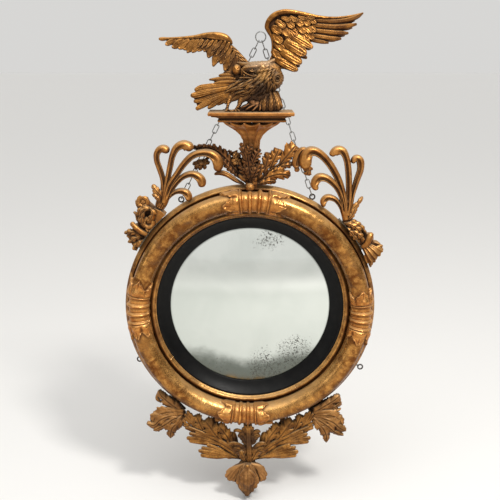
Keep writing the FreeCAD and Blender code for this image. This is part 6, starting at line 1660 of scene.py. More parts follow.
body_b = [P5(600, 400, -69, 66), P5(700, 395, -71, 92), P5(800, 385, -73, 122), P5(910, 365, -75, 145), P5(1020, 330, -76, 160), P5(1120, 285, -76, 165), P5(1195, 245, -75, 158)]
low_b = [P5(640, 470, -72, 46), P5(760, 480, -74, 70), P5(870, 480, -76, 92), P5(960, 480, -77, 108), P5(1050, 500, -77, 100), P5(1110, 470, -77, 110)]
gap_b = [P5(600, 300, -66, 60), P5(690, 250, -64, 74), P5(780, 210, -64, 76), P5(880, 190, -66, 74), P5(980, 170, -68, 70), P5(1100, 160, -70, 70)]
chest_b = [P5(1120, 330, -78, 130), P5(1200, 290, -79, 125), P5(1262, 255, -78, 92)]
neck_b = [P5(1200, 150, -74, 120), P5(1110, 118, -80, 104), P5(1010, 98, -85, 84), P5(920, 100, -89, 66), P5(850, 112, -91, 50)]
beak_b = [P5(850, 112, -91, 48), P5(810, 128, -93, 34), P5(786, 155, -94, 22), P5(780, 190, -94, 11), P5(784, 212, -93, 5)]
jaw_b = [P5(960, 200, -87, 40), P5(880, 222, -89, 22), P5(800, 236, -90, 13), P5(752, 243, -90, 7)]
back_b = [P5(700, 200, -66, 40), P5(760, 120, -66, 56), P5(860, 76, -68, 52), P5(1000, 70, -70, 60), P5(1120, 72, -70, 62), P5(1220, 80, -70, 56)]
allb = body_b + chest_b + neck_b


def skin(x, y, rest=-72.0):
    """Front depth of the body at an enlarged-view point."""
    dep = rest - 20
    for _ in range(3):
        q = W5([(x, y, dep, 1)])[0]
        best = 0.0
        for c in allb:
            d2 = c[3] ** 2 - (q[0] - c[0]) ** 2 - (q[2] - c[2]) ** 2
            if d2 > 0:
                best = min(best, c[1] - math.sqrt(d2))
        if best == 0.0:
            return rest
        dep = best
    return dep


eb = Piece("eagle_body_carved")


def body_cut(p, nrm):
    f_ = fbm(p, 6.0, 31) * 0.8
    # small lapped feathers all round: cells stepped along the body
    u_ = p[:, 0] * 0.80 + p[:, 2] * 0.60
    w_ = np.arctan2(p[:, 1] + 74.0, -p[:, 0] * 0.60 + p[:, 2] * 0.80 - 425.0) * 22.0
    row = np.floor(u_ / 6.2)
    t_ = u_ / 6.2 - row
    cx = (w_ / 6.6 + 0.5 * (row % 2)) % 1.0 - 0.5
    lap = np.sqrt(np.clip(cx ** 2 * 3.2 + (1 - t_) ** 2, 0, 2))
    return 1.5 * f_ + 0.9 * (0.5 - lap) * 1.6 - 0.7 * np.exp(-(cx / 0.08) ** 2) * t_


mass(eb, chainballs(body_b, 16) + chainballs(low_b, 14) + chainballs(gap_b, 14) + chainballs(chest_b, 16) + chainballs(neck_b, 14) + chainballs(back_b, 12), 1.5, 10, body_cut)
mass(eb, chainballs(beak_b, 14), 0.8, 5, lambda p, nrm: 0.12 * fbm(p, 3.0, 5))
tube(eb, jaw_b, 40, 16)
# flat dusty crown and shoulders
strip(eb, W5([(690, 40, -66, 18), (760, 60, -78, 32), (860, 66, -88, 38), (960, 66, -92, 40), (1060, 58, -90, 40), (1150, 38, -84, 36), (1230, 0, -78, 28), (1270, -50, -74, 16)]),
      lambda a, s: 4.5 * np.sqrt(np.clip(1 - a ** 2, 0, 1)) + 0.4 * np.sin(s * 26 + a * 3), lambda a, s: -9.0 * np.clip(1 - a ** 4, 0, 1) ** 0.5, n=80, m=17, cap0=0.6, cap1=1.0, roll=[-24, -24, -24])
# brow over a sunk eye, the eye ball, the pale lines of the beak
tube(eb, W5([(1040, 84, -96, 14), (980, 86, -102, 19), (910, 92, -104, 18), (850, 104, -104, 13), (800, 110, -102, 8)]), 40, 14)
ball(eb, P5(918, 128, -101.5, 17)[:3], P5(918, 128, -101.5, 17)[3], (1, 1, 1), 16)
tube(eb, W5([(955, 150, -100, 8), (920, 156, -103, 10), (885, 148, -104, 8)]), 20, 12)
tube(eb, W5([(772, 118, -96, 6), (800, 158, -99, 8), (845, 190, -99, 8), (905, 214, -98, 7), (960, 222, -98, 5)]), 40, 12)
tube(eb, W5([(745, 246, -94, 6), (800, 243, -96, 8), (860, 244, -97, 8), (910, 246, -97, 6)]), 30, 12)
tube(eb, W5([(800, 190, -96, 10), (812, 214, -97, 12), (800, 232, -96, 8)]), 16, 12)
# cheek and neck feathers, golden; then a swirl on the chest
rs_ = np.random.RandomState(11)
for a_, b_, dx_, dy_, L_, w_ in (
        (1000, 150, -0.9, 0.5, 80, 20), (1060, 140, -0.9, 0.45, 84, 21), (1120, 132, -0.9, 0.4, 80, 20), (1170, 126, -0.85, 0.5, 70, 18),
        (975, 185, -0.9, 0.5, 72, 19), (1035, 180, -0.85, 0.55, 84, 22), (1100, 172, -0.8, 0.6, 88, 22), (1160, 165, -0.75, 0.65, 80, 20), (1215, 150, -0.7, 0.7, 70, 19),
        (960, 220, -0.85, 0.5, 64, 18), (1015, 220, -0.8, 0.6, 80, 21), (1080, 214, -0.75, 0.66, 84, 22), (1145, 205, -0.7, 0.7, 84, 21), (1205, 192, -0.6, 0.8, 74, 20),
        (985, 250, -0.85, 0.4, 60, 16), (1050, 250, -0.8, 0.5, 70, 18), (1115, 246, -0.7, 0.7, 72, 19), (1175, 240, -0.5, 0.85, 76, 19)):
    k_ = 1 + 0.12 * rs_.uniform(-1, 1)
    p0, p1, p2 = (a_ - dx_ * L_ * 0.4, b_ - dy_ * L_ * 0.4), (a_, b_), (a_ + dx_ * L_ * 0.55 * k_, b_ + dy_ * L_ * 0.55 * k_)
    fr_ = [(p[0], p[1], min(skin(*p), -80.0) - l_, w) for p, l_, w in ((p0, -0.5, w_ * 0.7), (p1, 1.2, w_), (p2, 2.4, w_ * 0.45))]
    feather(eb, W5(fr_), thick=2.6, camber=1.8, barbs=0.2, nb=5, n=22, m=11, rachis=0.8)
for k_ in range(16):
    t_ = k_ / 16 * 2 * math.pi
    cx_, cy_ = 1262 + 62 * math.cos(t_) * 0.8, 258 + 62 * math.sin(t_)
    dx_, dy_ = -math.sin(t_ + 0.5), math.cos(t_ + 0.5)
    fr_ = []
    for l_, w in ((-0.5, 12), (0.9, 17), (1.6, 8)):
        q = len(fr_) - 1
        px, py = cx_ + dx_ * 34 * q, cy_ + dy_ * 34 * q
        fr_.append((px, py, min(skin(px, py), -80) - l_, w))
    feather(eb, W5(fr_), thick=2.4, camber=1.6, barbs=0.15, nb=4, n=18, m=9, rachis=0.6)
for k_ in range(9):
    t_ = k_ / 9 * 2 * math.pi
    cx_, cy_ = 1262 + 26 * math.cos(t_), 258 + 28 * math.sin(t_)
    px, py = cx_ - math.sin(t_) * 22, cy_ + math.cos(t_) * 22
    feather(eb, W5([(cx_, cy_, min(skin(cx_, cy_), -85) - 1.0, 11), (px, py, min(skin(px, py), -85) - 1.8, 7)]), thick=2.2, camber=1.4, barbs=0.1, nb=3, n=14, m=9, rachis=0.5)
# belly and thigh feathers running down and back
FB = []
rs_ = np.random.RandomState(23)
for j_, y_ in enumerate(range(262, 560, 36)):
    for x_ in range(610, 1240, 74):
        FB.append((x_ + 37 * (j_ % 2) + rs_.uniform(-16, 16), y_ + rs_.uniform(-12, 12)))
for a_, b_ in FB:
    if skin(a_, b_) > -75:
        continue
    if a_ > 1150 and b_ < 330:
        continue
    k1 = smooth01(a_, 930, 1180)
    tow = math.radians(158 - 50 * k1) + 0.32 * rs_.uniform(-1, 1)
    dx_, dy_ = math.cos(tow), math.sin(tow)
    L_, w_ = 150 * (1 + 0.25 * rs_.uniform(-1, 1)) * (1 - 0.3 * k1), 20 * (1 + 0.2 * rs_.uniform(-1, 1))
    bend = 12 * rs_.uniform(-1, 1)
    fr_ = []
    for e_, l_, w in ((-0.35, -0.8, w_ * 0.7), (0.0, 1.0, w_), (0.3, 1.9, w_ * 0.85), (0.62, 2.6, w_ * 0.25)):
        px, py = a_ + dx_ * L_ * e_ - dy_ * bend * e_, b_ + dy_ * L_ * e_ + dx_ * bend * e_
        s_ = skin(px, py)
        fr_.append((px, py, (s_ if s_ < -73 else -76.0) - l_ * (0.8 + 0.5 * rs_.uniform(0, 1)), w))
    feather(eb, W5(fr_), thick=2.8, camber=1.9, barbs=0.32, nb=8, n=26, m=11, rachis=0.6)
for p_, a_, b_ in (([(780, 380, 30), (700, 440, 36), (640, 500, 30), (590, 560, 13)], -84, -78), ([(860, 400, 32), (780, 460, 38), (700, 520, 34), (620, 566, 14)], -88, -80), ([(900, 470, 30), (840, 520, 34), (780, 556, 30), (720, 580, 12)], -92, -84), ([(700, 440, 26), (640, 490, 30), (590, 526, 26), (548, 548, 10)], -82, -76),
                   ([(940, 410, 32), (870, 470, 38), (800, 530, 34), (730, 580, 14)], -92, -82), ([(1020, 420, 32), (960, 480, 38), (900, 530, 34), (850, 560, 14)], -94, -84),
                   ([(700, 340, 28), (640, 380, 32), (580, 430, 26), (540, 470, 12)], -80, -74)):
    fe(eb, W5, p_, a_, b_, thick=4.0, camber=3.0, nb=9, n=50, m=15, roll=6, barbs=0.35, rachis=1.2)
eb.make(GOLD_BODY, ["eagle_body"], "gilt", wobble=0.25)

# feathered leg
lr = Piece("eagle_leg_right_carved")
mass(lr, chainballs([P5(1140, 420, -78, 70), P5(1160, 520, -79, 78), P5(1172, 630, -80, 86), P5(1178, 690, -80, 90)], 16), 1.6, 8, lambda p, nrm: np.where(p[:, 2] < 483.0, 0.0, 0.4 * fbm(p, 6.0, 3)))
for x0_, x1_, x2_, x3_, yb_, w_, e_ in ((1118, 1078, 1046, 1034, 690, 30, 0), (1130, 1108, 1086, 1078, 712, 31, 5), (1146, 1142, 1130, 1122, 706, 33, 0), (1166, 1174, 1178, 1172, 714, 34, 6),
                                        (1188, 1210, 1226, 1226, 704, 33, 1), (1204, 1240, 1266, 1274, 700, 31, 5), (1214, 1262, 1298, 1316, 668, 28, 0)):
    d_ = -87.0 - 5.5 * (1 - ((x2_ - 1165) / 150.0) ** 2) - e_
    strip(lr, W5([(x0_, 425, d_ + 10, 16), (x1_, 510, d_ + 4, w_ * 0.72), (x2_, 600, d_ - 1, w_), (x3_, yb_ - 34, d_ - 2, w_ * 0.9), (x3_ - 6, yb_, d_ + 1, w_ * 0.4)]),
          lambda a, s: 4.4 * (1 - a ** 2) + 1.6 - 2.1 * np.exp(-((a - 0.1) / 0.14) ** 2) * (0.3 + 0.7 * s) - 1.2 * np.exp(-((a + 0.5) / 0.10) ** 2) * s - 1.2 * np.exp(-((a - 0.6) / 0.10) ** 2) * s + 0.3 * np.sin(34 * s + 6 * np.abs(a)),
          lambda a, s: -3.5 * np.clip(1 - a ** 4, 0, 1), n=60, m=25, cap0=0.6, cap1=1.0, roll=[6, 6, 6])
for x0_, x2_ in ((1090, 1070), (1150, 1150), (1210, 1235), (1240, 1290)):
    strip(lr, W5([(x0_, 420, -62, 22), (x2_, 560, -60, 36), (x2_, 690, -60, 30)]), lambda a, s: 3.0 * (1 - a ** 2), lambda a, s: -3.6 * np.clip(1 - a ** 2, 0, 1) - 1.0, n=40, m=13, cap0=0.5, cap1=1.0)
for i_, v in enumerate(lr.v):
    lr.v[i_] = np.stack([v[:, 0], v[:, 1], np.maximum(v[:, 2], 481.0)], axis=1)
lr.make(GOLD_LEG, ["eagle_leg_right"], "gilt", wobble=0.15)

ll_ = Piece("eagle_leg_left_carved")
tube(ll_, W5([(640, 480, -78, 44), (606, 550, -82, 30), (590, 610, -85, 22), (580, 660, -86, 20), (592, 694, -87, 22)]), 60, 18, ripple=lambda a, s: 0.35 * np.sin(s * 60) * (s > 0.3))
tube(ll_, W5([(800, 500, -80, 60), (762, 560, -84, 40), (744, 610, -86, 30), (720, 650, -88, 24), (690, 690, -88, 22)]), 60, 18, ripple=lambda a, s: 0.35 * np.sin(s * 60) * (s > 0.3))
for pts_ in ([(592, 684, -87, 20), (570, 690, -93, 17), (560, 702, -99, 6)], [(600, 690, -88, 18), (622, 692, -96, 16), (636, 705, -103, 6)], [(690, 684, -88, 20), (660, 692, -94, 16), (640, 704, -98, 6)],
             [(700, 686, -88, 20), (730, 690, -95, 16), (750, 704, -100, 6)], [(690, 690, -90, 18), (694, 692, -99, 15), (700, 705, -104, 6)]):
    tube(ll_, W5(pts_), 24, 14)
for i_, v in enumerate(ll_.v):
    ll_.v[i_] = np.stack([v[:, 0], v[:, 1], np.maximum(v[:, 2], 481.0)], axis=1)
ll_.make(GOLD_LEG, ["eagle_leg_left"], "gilt", wobble=0.12)

rk = Piece("eagle_rock_carved")


def rock_cut(p, nrm):
    c = np.abs(noise3(p, 8.0, 41))
    d = 1.6 * fbm(p, 9.0, 44) - 1.4 * np.exp(-(c / 0.08) ** 2) + 0.5 * fbm(p, 2.6, 46)
    return np.where(p[:, 2] < 483.0, np.minimum(d, 0.0), d)


mass(rk, chainballs([P5(660, 716, -82, 22), P5(730, 706, -84, 40), P5(800, 690, -82, 62), P5(880, 670, -80, 88), P5(968, 640, -78, 112), P5(1050, 640, -77, 105)], 16)
     + chainballs([P5(900, 540, -79, 50), P5(930, 590, -81, 74), P5(950, 640, -83, 88)], 14), 1.4, 5, rock_cut)
for pts_ in ([(960, 610, -95, 16), (900, 640, -101, 15), (850, 672, -104, 13), (820, 694, -103, 5)], [(1000, 620, -95, 16), (960, 660, -102, 15), (930, 690, -105, 12), (915, 702, -104, 5)],
             [(1030, 610, -94, 15), (1030, 660, -101, 14), (1020, 690, -103, 11), (1010, 703, -102, 5)], [(880, 600, -93, 13), (820, 636, -97, 12), (780, 650, -97, 10), (756, 672, -95, 4)]):
    tube(rk, W5(pts_), 40, 14, ripple=lambda a, s: 0.35 * np.abs(np.sin(s * 22)))
for i_, v in enumerate(rk.v):
    rk.v[i_] = np.stack([v[:, 0], v[:, 1], np.maximum(v[:, 2], 481.0)], axis=1)
rk.make(GOLD_DARK, ["eagle_rock"], "gilt", wobble=0.15)

eb2 = Piece("eagle_ball_carved")
c = P5(712, 130, -81, 60)
ball(eb2, c[:3], 10.6, (0.96, 1, 1.06), 36, lambda t, p: 1 + 0.03 * np.sin(5 * p + 2) * np.sin(3 * t) - 0.05 * np.exp(-((t - 1.2) / 0.16) ** 2) * (np.sin(p) > -2))
eb2.make(GOLD_LEAF, ["eagle_ball"], "gilt", wobble=0.2)
# ---------------------------------------------------------------- apron
def C37(pts):
    return mm(crop(140, 380, 6.817, pts))


def fan(piece, conv, base, bend, tips, w, y0, y1, h=2.8, rib=1.5, tail=1.0, seed=1, n=34, curl=0.0, thick=3.4):
    """Hand of carved fingers that share a root: every finger is a hollowed blade with a round tip."""
    rs = np.random.RandomState(seed)
    k = len(tips)
    for i, t in enumerate(tips):
        c = abs(i - (k - 1) / 2) / max(1, (k - 1) / 2)
        yt = y1 + 1.8 * c + 0.5 * rs.uniform(-1, 1)
        q1 = (base[0] + (bend[0] - base[0]) * 0.55 + (t[0] - base[0]) * 0.12, base[1] + (bend[1] - base[1]) * 0.55 + (t[1] - base[1]) * 0.12)
        q2 = (base[0] * 0.18 + bend[0] * 0.30 + t[0] * 0.52, base[1] * 0.18 + bend[1] * 0.30 + t[1] * 0.52)
        ww = w * (1 + 0.10 * rs.uniform(-1, 1))
        rows = [(base[0], base[1], y0, ww * 0.45), (q1[0], q1[1], y0 + (yt - y0) * 0.4, ww * 0.75), (q2[0], q2[1], y0 + (yt - y0) * 0.85, ww), (t[0], t[1], yt + curl, ww * 0.62)]
        side = -1 if i < k / 2 else 1
        strip(piece, conv(rows), lambda a, s: h * (1 - a ** 2) + thick * 0.5 - rib * np.exp(-(a / 0.22) ** 2) * smooth01(s, 0.1, 0.5) * (1 - 0.6 * smooth01(s, 0.8, 1.0)) + 0.8 * np.abs(a) ** 2 * s,
              lambda a, s: h * 0.6 * (1 - a ** 2) - thick * 0.5 * np.clip(1 - a ** 4, 0, 1) ** 0.5, n=n, m=13, cap0=0.4, cap1=1.0, roll=[0, 9 * side, 9 * side])


def mirror_x(pts, c=745.0):
    return [(2 * c - p[0],) + tuple(p[1:]) for p in pts]


for side_ in (0, 1):
    nm_ = ("left", "right")[side_]
    sp = Piece("apron_spray_%s_carved" % nm_)
    sd = 100 + 20 * side_
    # small differences between the two hands: every point is shifted by a few tenths
    rj = np.random.RandomState(sd)
    conv_ = (lambda pts: C37(pts)) if side_ == 0 else (lambda pts: C37(mirror_x(pts, 743.0)))
    J = lambda x, y: (x + rj.uniform(-5, 5), y + rj.uniform(-4, 4))
    # stem
    strip(sp, conv_([(735, 552, -36, 12), (660, 486, -39, 15), (560, 420, -40, 14), (450, 368, -40, 13), (330, 315, -37, 8)]),
          lambda a, s: 3.4 * (1 - a ** 2) + 1.6 - 1.2 * np.exp(-(a / 0.2) ** 2), lambda a, s: -3.5 * np.clip(1 - a ** 4, 0, 1), n=90, m=15, cap0=0.4, cap1=1.0)
    # lower shells
    fan(sp, conv_, (700, 532), (580, 505), [J(455, 436), J(420, 456), J(404, 482), J(412, 508), J(450, 516)], 21, -33, -41, 3.6, 2.0, seed=sd)
    fan(sp, conv_, (600, 452), (470, 405), [J(372, 352), J(340, 362), J(322, 388), J(332, 414), J(372, 418)], 20, -33, -41, 3.6, 2.0, seed=sd + 1)
    fan(sp, conv_, (680, 530), (610, 522), [J(520, 505), J(540, 514), J(590, 524)], 12, -32, -37, 2.4, 1.2, seed=sd + 2)
    fan(sp, conv_, (480, 385), (380, 345), [J(300, 306), J(306, 326), J(340, 338)], 12, -33, -38, 2.4, 1.2, seed=sd + 3)
    fan(sp, conv_, (560, 450), (470, 425), [J(380, 425), J(420, 428), J(470, 440)], 12, -31, -36, 2.4, 1.2, seed=sd + 4)
    # upper leaves
    acanthus(sp, conv_([(655, 480, -33, 16), (610, 400, -38, 40), (570, 345, -40, 42), (535, 300, -38, 20)]), lobes=3, depth=0.35, camber=4.0, ruffle=1.6, vein=2.4, rib=2.2, thick=4.5, seed=sd + 5, teeth=0.12, sweep=0.7)
    acanthus(sp, conv_([(580, 430, -33, 18), (520, 370, -39, 48), (480, 315, -41, 50), (445, 272, -38, 26)]), lobes=3, depth=0.35, camber=4.5, ruffle=1.8, vein=2.6, rib=2.2, thick=4.5, seed=sd + 6, teeth=0.12, sweep=0.7)
    acanthus(sp, conv_([(480, 385, -32, 14), (430, 330, -36, 34), (405, 280, -38, 36), (385, 235, -35, 16)]), lobes=3, depth=0.40, camber=3.5, ruffle=1.8, vein=2.4, rib=2.0, thick=4.5, seed=sd + 7, teeth=0.12, sweep=0.7)
    fan(sp, conv_, (405, 345), (350, 285), [J(300, 250), J(305, 225), J(325, 210), J(350, 222), J(366, 245)], 16, -32, -40, 3.4, 1.8, seed=sd + 8)
    acanthus(sp, conv_([(530, 330, -31, 12), (520, 300, -34, 22), (512, 275, -34, 20), (506, 252, -32, 8)]), lobes=2, depth=0.35, camber=2.5, ruffle=1.0, vein=1.4, rib=1.4, thick=4.0, seed=sd + 9, teeth=0.1)
    fan(sp, conv_, (400, 330), (330, 315), [J(300, 285), J(312, 300)], 12, -33, -37, 2.4, 1.2, seed=sd + 10)
    # barrel leaf next to the middle
    strip(sp, conv_([(655, 500, -33, 26), (634, 440, -38, 40), (626, 395, -40, 40), (618, 352, -36, 30)]),
          lambda a, s: 5.0 * np.sqrt(np.clip(1 - np.abs(a) ** 2.2, 0, 1)) - 1.8 * np.abs(np.sin(a * 5.2)) ** 6 * smooth01(s, 0.0, 0.3),
          lambda a, s: -4.0 * np.clip(1 - a ** 4, 0, 1) ** 0.5, n=50, m=31, cap0=0.5, cap1=0.5)
    # web that joins the roots, behind
    mass(sp, chainballs([tuple(q) for q in conv_([(735, 540, -29, 24), (650, 490, -29, 30), (560, 430, -29, 30), (470, 385, -29, 26), (400, 345, -29, 18)])], 12), 1.6, 6, carve(7.0, 0.8, sd))
    sp.make(GOLD_APRON, ["apron_spray_%s" % nm_], "gilt", wobble=0.28, wseed=sd)

al = Piece("apron_leaf_carved")
strip(al, C37([(748, 556, -50, 22), (746, 500, -55, 20), (744, 440, -58, 18), (742, 380, -59, 17), (740, 310, -57, 26)]),
      lambda a, s: 4.2 * (1 - a ** 2) + 1.8 - 1.8 * np.exp(-(a / 0.2) ** 2), lambda a, s: -4.5 * np.clip(1 - a ** 4, 0, 1), n=90, m=17, cap0=0.4, cap1=0.6)
# three tiers, each a pair of leaves that turn outwards at the top
for (yb_, yt_, xo_, ww_, dep_) in ((560, 452, 105, 30, -52), (450, 360, 70, 26, -54)):
    for s_ in (-1, 1):
        cx_ = 745
        acanthus(al, C37([(cx_ + s_ * 4, yb_, dep_ + 4, 12), (cx_ + s_ * (8 + xo_ * 0.25), yb_ - (yb_ - yt_) * 0.40, dep_, ww_ * 1.15), (cx_ + s_ * (xo_ * 0.55), yt_ + (yb_ - yt_) * 0.25, dep_ - 2, ww_ * 1.2),
                          (cx_ + s_ * xo_, yt_ + 4, dep_ - 2, 12)]), lobes=3, depth=0.35, camber=3.0, ruffle=1.4, vein=2.2, rib=2.0, thick=4.5, seed=130 + s_, teeth=0.1, sweep=0.6)
for s_, x1_, x2_, y_ in ((-1, 600, 716, 436), (1, 862, 778, 436), (-1, 640, 716, 346), (1, 822, 762, 352)):
    strip(al, C37([(x2_, y_ + 26, -54, 12), ((x1_ * 0.35 + x2_ * 0.65), y_ + 4, -58, 15), ((x1_ * 0.7 + x2_ * 0.3), y_ - 4, -60, 14), (x1_, y_ + 2, -57, 6)]),
          lambda a, s: 3.2 * (1 - a ** 2) + 1.0 - 0.9 * np.exp(-(a / 0.2) ** 2), lambda a, s: -4.0 * np.clip(1 - a ** 4, 0, 1), n=46, m=15, cap0=0.5, cap1=1.0, roll=[-30 * s_ * 0, -20, -20])
for t_ in ((700, 322), (716, 306), (738, 300), (760, 304), (776, 320)):
    fan(al, C37, (742, 400), (742, 360), [t_], 15, -52, -58, 2.6, 1.2, seed=int(t_[0]))
acanthus(al, C37([(716, 548, -54, 12), (700, 520, -58, 22), (690, 495, -58, 20), (684, 478, -56, 8)]), lobes=2, depth=0.3, camber=3, ruffle=0.8, vein=1.2, rib=1.2, thick=4, seed=140)
al.make(GOLD_APRON, ["apron_leaf"], "gilt", wobble=0.25)

ab = Piece("apron_bud_carved")


def bud_cut(p, nrm):
    x, z = at(247.6, 470.0, -44.0)
    t = np.arctan2(p[:, 0] - x, -(p[:, 1] + 43.0))
    g = np.abs(((t * 9 / np.pi) % 1.0) - 0.5) * 2
    return 0.6 * fbm(p, 6.0, 8) - 1.5 * np.exp(-((1 - g) / 0.22) ** 2)


mass(ab, chainballs([tuple(q) for q in C37([(742, 562, -42, 34), (736, 600, -42, 70), (732, 650, -42, 86), (730, 700, -42, 66), (731, 750, -43, 34), (730, 785, -44, 10)])], 16), 1.6, 6, bud_cut)
fan(ab, C37, (735, 566), (640, 600), [(590, 634), (585, 662), (604, 684), (634, 690), (664, 700)], 26, -52, -52, 4.0, 2.2, seed=151, thick=4.5)
fan(ab, C37, (750, 566), (830, 598), [(850, 624), (864, 656), (852, 684), (826, 692), (800, 700)], 26, -52, -52, 4.0, 2.2, seed=152, thick=4.5)
fan(ab, C37, (738, 572), (690, 640), [(668, 712), (690, 742), (706, 762)], 24, -58, -60, 3.6, 2.0, seed=153, thick=4.5)
fan(ab, C37, (748, 572), (780, 640), [(800, 712), (784, 740), (760, 764)], 24, -58, -60, 3.6, 2.0, seed=154, thick=4.5)
fan(ab, C37, (742, 580), (732, 660), [(704, 752), (730, 792), (758, 752)], 24, -60, -60, 3.6, 2.0, seed=155, thick=4.5)
fan(ab, C37, (740, 574), (720, 620), [(690, 668), (714, 684), (740, 690), (764, 682), (784, 664)], 22, -61, -66, 3.2, 1.8, seed=156, thick=4.0)
fan(ab, C37, (735, 562), (680, 575), [(612, 612), (632, 600), (660, 592)], 18, -46, -42, 3.0, 1.4, seed=157)
fan(ab, C37, (750, 562), (800, 572), [(846, 604), (826, 594), (800, 588)], 18, -46, -42, 3.0, 1.4, seed=158)
# back half of the bud
fan(ab, C37, (742, 566), (742, 640), [(620, 664), (668, 706), (712, 750), (760, 752), (806, 700), (850, 660)], 28, -30, -26, 2.0, 1.0, seed=159, thick=5.0)
ab.make(GOLD_BUD, ["apron_bud"], "gilt", wobble=0.28)

ad = Piece("apron_bead_carved")
bx_, bz_ = at(247.6, 466.2, -68.0)
ball(ad, (float(bx_), -67.6, float(bz_)), 4.6, (1, 1, 1), 22, lambda t, p: 1 + 0.02 * np.sin(4 * p) * np.sin(5 * t))
ad.make(GOLD_APRON, ["apron_bead"], "gilt", wobble=0.1)

# corner leaves, curled
for side_ in (0, 1):
    nm_ = ("left", "right")[side_]
    ck = Piece("corner_leaf_%s_carved" % nm_)
    sd = 170 + 20 * side_
    if side_ == 0:
        HORN = [[(296, 216, -30, 26), (240, 178, -38, 46), (185, 135, -42, 40), (150, 100, -40, 26), (134, 66, -34, 9)],
                [(280, 190, -28, 16), (240, 150, -32, 30), (200, 125, -33, 26), (160, 110, -30, 10)]]
        BODY = [[(296, 226, -30, 24), (225, 212, -40, 44), (160, 222, -44, 48), (110, 250, -42, 34), (96, 278, -38, 14)],
                [(290, 236, -32, 20), (210, 240, -42, 40), (140, 268, -46, 42), (100, 300, -44, 30), (52, 288, -38, 10)],
                [(290, 240, -32, 20), (230, 262, -42, 40), (180, 296, -44, 40), (130, 322, -42, 26), (98, 334, -38, 9)],
                [(288, 236, -30, 22), (262, 280, -40, 42), (226, 320, -44, 42), (214, 352, -42, 28), (212, 384, -36, 9)],
                [(296, 226, -28, 20), (286, 270, -36, 34), (262, 300, -38, 30), (240, 330, -34, 12)]]
        LIP = [[(298, 210, -40, 14), (250, 206, -47, 16), (190, 196, -49, 15), (140, 205, -47, 12), (100, 236, -42, 6)],
               [(290, 240, -42, 12), (262, 270, -49, 14), (244, 310, -50, 13), (226, 350, -46, 7)],
               [(150, 150, -40, 8), (120, 128, -42, 12), (124, 96, -40, 10), (138, 70, -36, 5)]]
        CORE = [(292, 222, -30, 26), (240, 216, -31, 44), (190, 236, -32, 44), (220, 290, -31, 34)]
    else:
        HORN = [[(1170, 232, -30, 26), (1220, 196, -38, 44), (1280, 160, -42, 42), (1330, 128, -40, 30), (1360, 96, -34, 9)],
                [(1240, 200, -30, 16), (1300, 190, -36, 32), (1345, 168, -36, 26), (1366, 140, -32, 9)]]
        BODY = [[(1172, 240, -30, 24), (1240, 238, -40, 42), (1310, 240, -44, 44), (1354, 262, -42, 32), (1382, 298, -36, 10)],
                [(1178, 246, -32, 20), (1250, 258, -42, 40), (1320, 286, -46, 42), (1364, 322, -44, 30), (1402, 336, -38, 10)],
                [(1178, 250, -32, 20), (1236, 280, -42, 40), (1290, 318, -44, 36), (1330, 350, -42, 24), (1385, 368, -36, 8)],
                [(1180, 248, -30, 22), (1216, 290, -40, 40), (1252, 330, -44, 42), (1270, 372, -42, 28), (1270, 414, -36, 9)],
                [(1172, 244, -28, 20), (1200, 282, -36, 32), (1226, 310, -38, 28), (1244, 336, -34, 10)]]
        LIP = [[(1168, 226, -40, 14), (1220, 220, -47, 16), (1290, 214, -49, 15), (1340, 210, -46, 11), (1372, 192, -42, 6)],
               [(1180, 250, -42, 12), (1222, 290, -49, 14), (1246, 330, -50, 13), (1262, 380, -46, 7)],
               [(1310, 178, -40, 8), (1350, 166, -42, 12), (1362, 130, -40, 10), (1352, 98, -36, 5)]]
        CORE = [(1176, 238, -30, 26), (1230, 240, -31, 42), (1290, 262, -32, 42), (1250, 310, -31, 32)]
    mass(ck, chainballs([tuple(q) for q in C37(CORE)], 14), 1.6, 6, carve(8.0, 0.9, sd))
    for k_, p_ in enumerate(HORN):
        acanthus(ck, C37(p_), lobes=3, depth=0.32, camber=4.5, ruffle=2.0, vein=2.4, rib=2.2, thick=5.0, seed=sd + k_, teeth=0.10, sweep=0.6, tipcurl=2.0)
    for k_, p_ in enumerate(BODY):
        acanthus(ck, C37(p_), lobes=3, depth=0.34, camber=4.0, ruffle=2.2, vein=2.4, rib=2.2, thick=5.0, seed=sd + 5 + k_, teeth=0.10, sweep=0.6, tipcurl=2.5)
    for p_ in LIP:
        strip(ck, C37([(a, b, c + 4.5, d) for a, b, c, d in p_]), lambda a, s: 2.6 * (1 - a ** 2) + 1.0, lambda a, s: -4.0 * np.clip(1 - a ** 4, 0, 1), n=46, m=13, cap0=0.6, cap1=1.0)
    # hollow back
    for k_, p_ in enumerate(BODY[:4] + HORN[:1]):
        acanthus(ck, C37([(a, b, -24.0, d * 0.9) for a, b, c, d in p_]), lobes=3, depth=0.32, camber=1.0, ruffle=1.5, vein=1.6, rib=1.4, thick=5.0, seed=sd + 5 + k_, teeth=0.10, sweep=0.6)
    keep_off_ring(ck, 306.6)
    ck.make(GOLD_CORNER, ["corner_leaf_%s" % nm_], "gilt", wobble=0.3, wseed=sd)


# ---------------------------------------------------------------- plain finishes of the carried-over nodes
def dress(node, mat):
    o = NODES[node]
    o.data.materials.clear()
    o.data.materials.append(mat)


for nm in ("backboard_screws", "strip_screws", "screw_eyes_chain", "screw_eyes_steady"):
    dress(nm, IRON)
for nm in ("crest_strip_left", "crest_strip_right"):
    dress(nm, IRON_STRIP)
for nm in ("chain_links_left", "chain_links_right", "nail_ring"):
    dress(nm, STEEL)
dress("corner_blocks", PINE_DARK)
for nm in ("plinth_tenon", "apron_tenon", "glass_blocks", "wing_dowels"):
    dress(nm, PINE)
dress("backboard_planks", PINE_PLANK)
dress("back_ring_segments", PINE_RING)
for nm, o in NODES.items():
    if not o.hide_render:
        for p in o.data.polygons:
            p.use_smooth = True
        o.data.set_sharp_from_angle(angle=math.radians(35))

